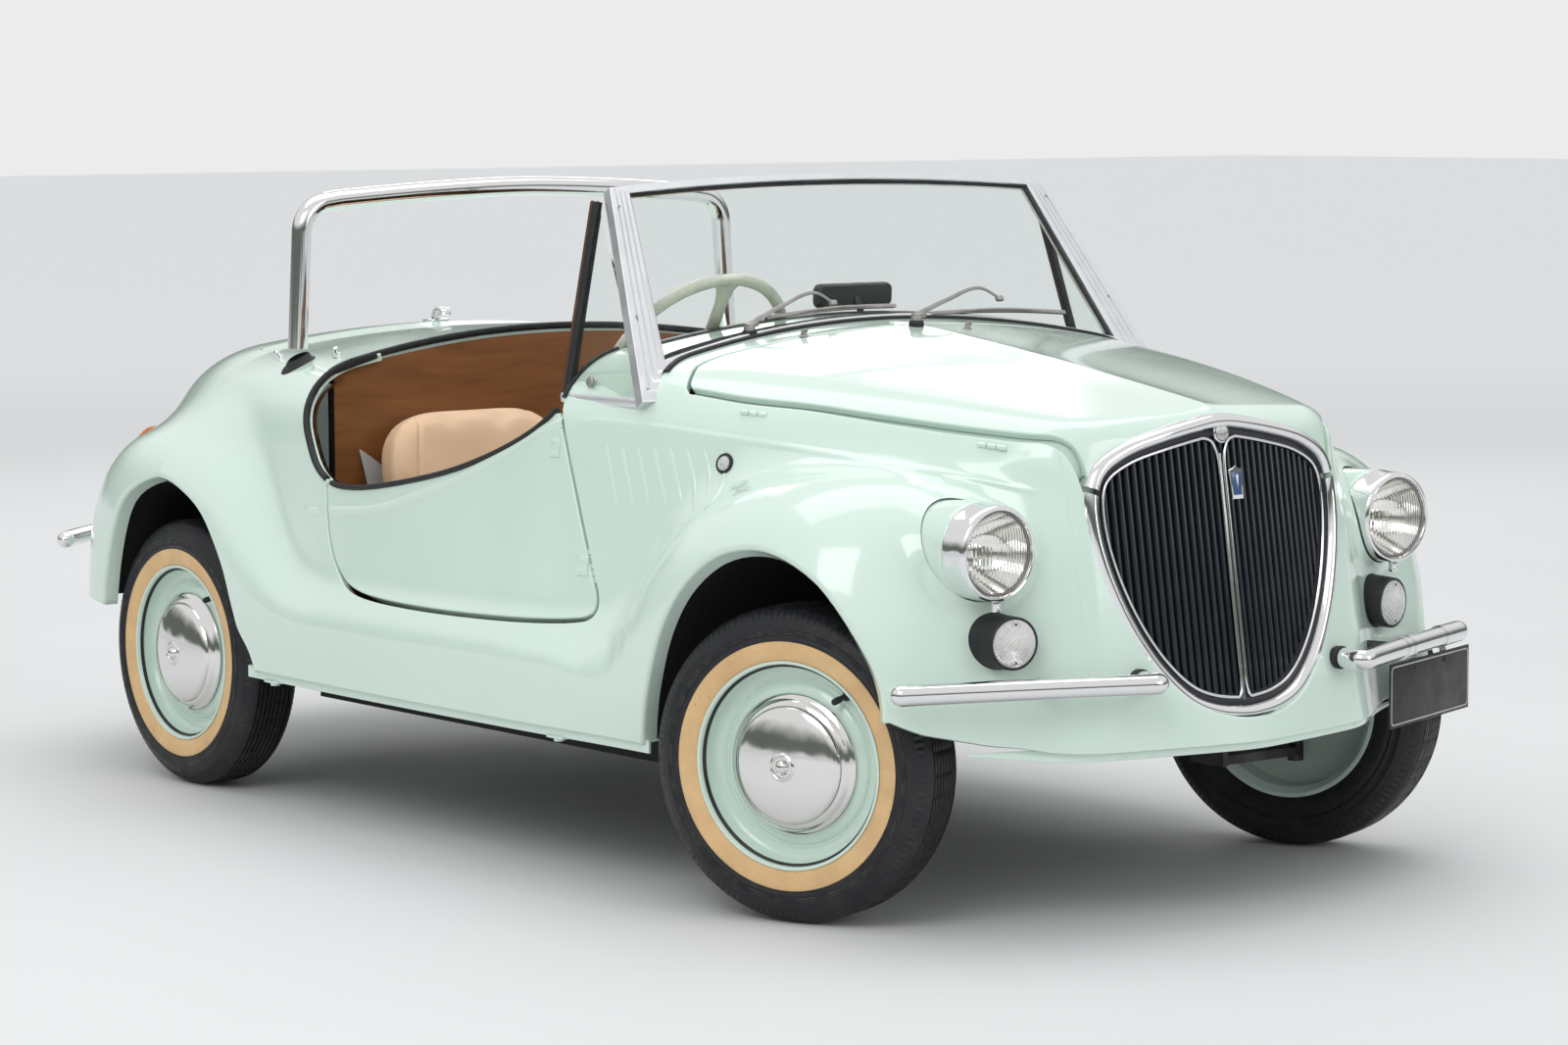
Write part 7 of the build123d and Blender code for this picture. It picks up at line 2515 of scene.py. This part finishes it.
class RoadsterDetail(bpy.types.PropertyGroup):
    slats: bpy.props.IntProperty(
        name="Grille slats", description="Upright slats across the grille", min=8, max=60,
        default=17)
    louvres: bpy.props.IntProperty(
        name="Wing louvres", description="Louvres pressed in each front wing ahead of the door",
        min=2, max=12, default=8)
    sipes: bpy.props.IntProperty(
        name="Shoulder sipes", description="Radial cuts round each tyre shoulder", min=60, max=240,
        default=129)


def operator(name, label, doc, work):
    """An operator class that builds one group of pieces with this work."""
    def execute(self, context):
        work(context.scene)
        return {"FINISHED"}
    return type("ROADSTER_OT_" + name, (bpy.types.Operator,), {
        "bl_idname": "roadster." + name, "bl_label": label, "__doc__": doc, "execute": execute,
        "bl_options": {"REGISTER", "UNDO"}})


def wings_and_arches(scene):
    build_shell()
    build_ridges(scene.roadster_detail.louvres)
    build_arches()
    build_rim()


def doors_and_lids(scene):
    build_doors()
    build_lid()
    build_engine_lid()


def lamps_of(scene):
    build_headlamps()
    build_small_lamps()
    build_tail_lamps()


def screen_and_hoop(scene):
    build_windscreen()
    build_wipers()
    build_hoop()


def cabin(scene):
    build_steering()
    build_dash()
    build_lining()


def bumpers_and_plates(scene):
    build_bumpers()
    build_front_plate()


PIECES = (
    ("body", "Body panels", "Builds the wings, flanks, deck, scuttle, nose, arches and cockpit rim",
     wings_and_arches),
    ("closures", "Doors and lids", "Builds both doors, the front lid and the engine lid",
     doors_and_lids),
    ("grille", "Grille", "Builds the plated surround, the slats and the badge",
     lambda scene: build_grille(scene.roadster_detail.slats)),
    ("lamps", "Lamps", "Builds the head, indicator and tail lamps", lamps_of),
    ("bumpers", "Bumpers and plates", "Builds the four bumper tubes and the blank front plate",
     bumpers_and_plates),
    ("screen", "Windscreen and hoop", "Builds the screen frame, glass, wipers and roll hoop",
     screen_and_hoop),
    ("cabin", "Cabin", "Builds the dashboard, steering wheel, linings, belts and mats", cabin),
    ("seats", "Seats", "Builds the seats with a cloth simulation, and their tubes",
     lambda scene: build_seats()),
    ("wheels", "Tyres and wheels", "Builds the tyres, rims, hub caps and valves",
     lambda scene: (build_tyres(scene.roadster_detail.sipes), build_wheels())),
    ("chassis", "Chassis finish", "Gives the floor, bulkheads, spring and axles their materials",
     lambda scene: finish_chassis()),
    ("stage", "Studio", "Sets the floor, the lamps, the backdrop and the camera",
     lambda scene: build_stage()),
)
OPERATORS = [operator(*piece) for piece in PIECES]


class ROADSTER_PT_panel(bpy.types.Panel):
    """Colours, details and one button for each group of pieces"""
    bl_label = "Roadster"
    bl_idname = "ROADSTER_PT_panel"
    bl_space_type = "VIEW_3D"
    bl_region_type = "UI"
    bl_category = "Roadster"

    def draw(self, context):
        layout = self.layout
        for key in ("body", "band", "leather", "trim"):
            layout.prop(context.scene.roadster_paint, key)
        for key in ("slats", "louvres", "sipes"):
            layout.prop(context.scene.roadster_detail, key)
        for cls in OPERATORS:
            layout.operator(cls.bl_idname)


CLASSES = [RoadsterPaint, RoadsterDetail, *OPERATORS, ROADSTER_PT_panel]


def register():
    for cls in CLASSES:
        bpy.utils.register_class(cls)
    bpy.types.Scene.roadster_paint = bpy.props.PointerProperty(type=RoadsterPaint)
    bpy.types.Scene.roadster_detail = bpy.props.PointerProperty(type=RoadsterDetail)


def unregister():
    del bpy.types.Scene.roadster_detail
    del bpy.types.Scene.roadster_paint
    for cls in reversed(CLASSES):
        bpy.utils.unregister_class(cls)


def main():
    register()
    for name, label, doc, work in PIECES:
        getattr(bpy.ops.roadster, name)()


if __name__ == "__main__":
    main()
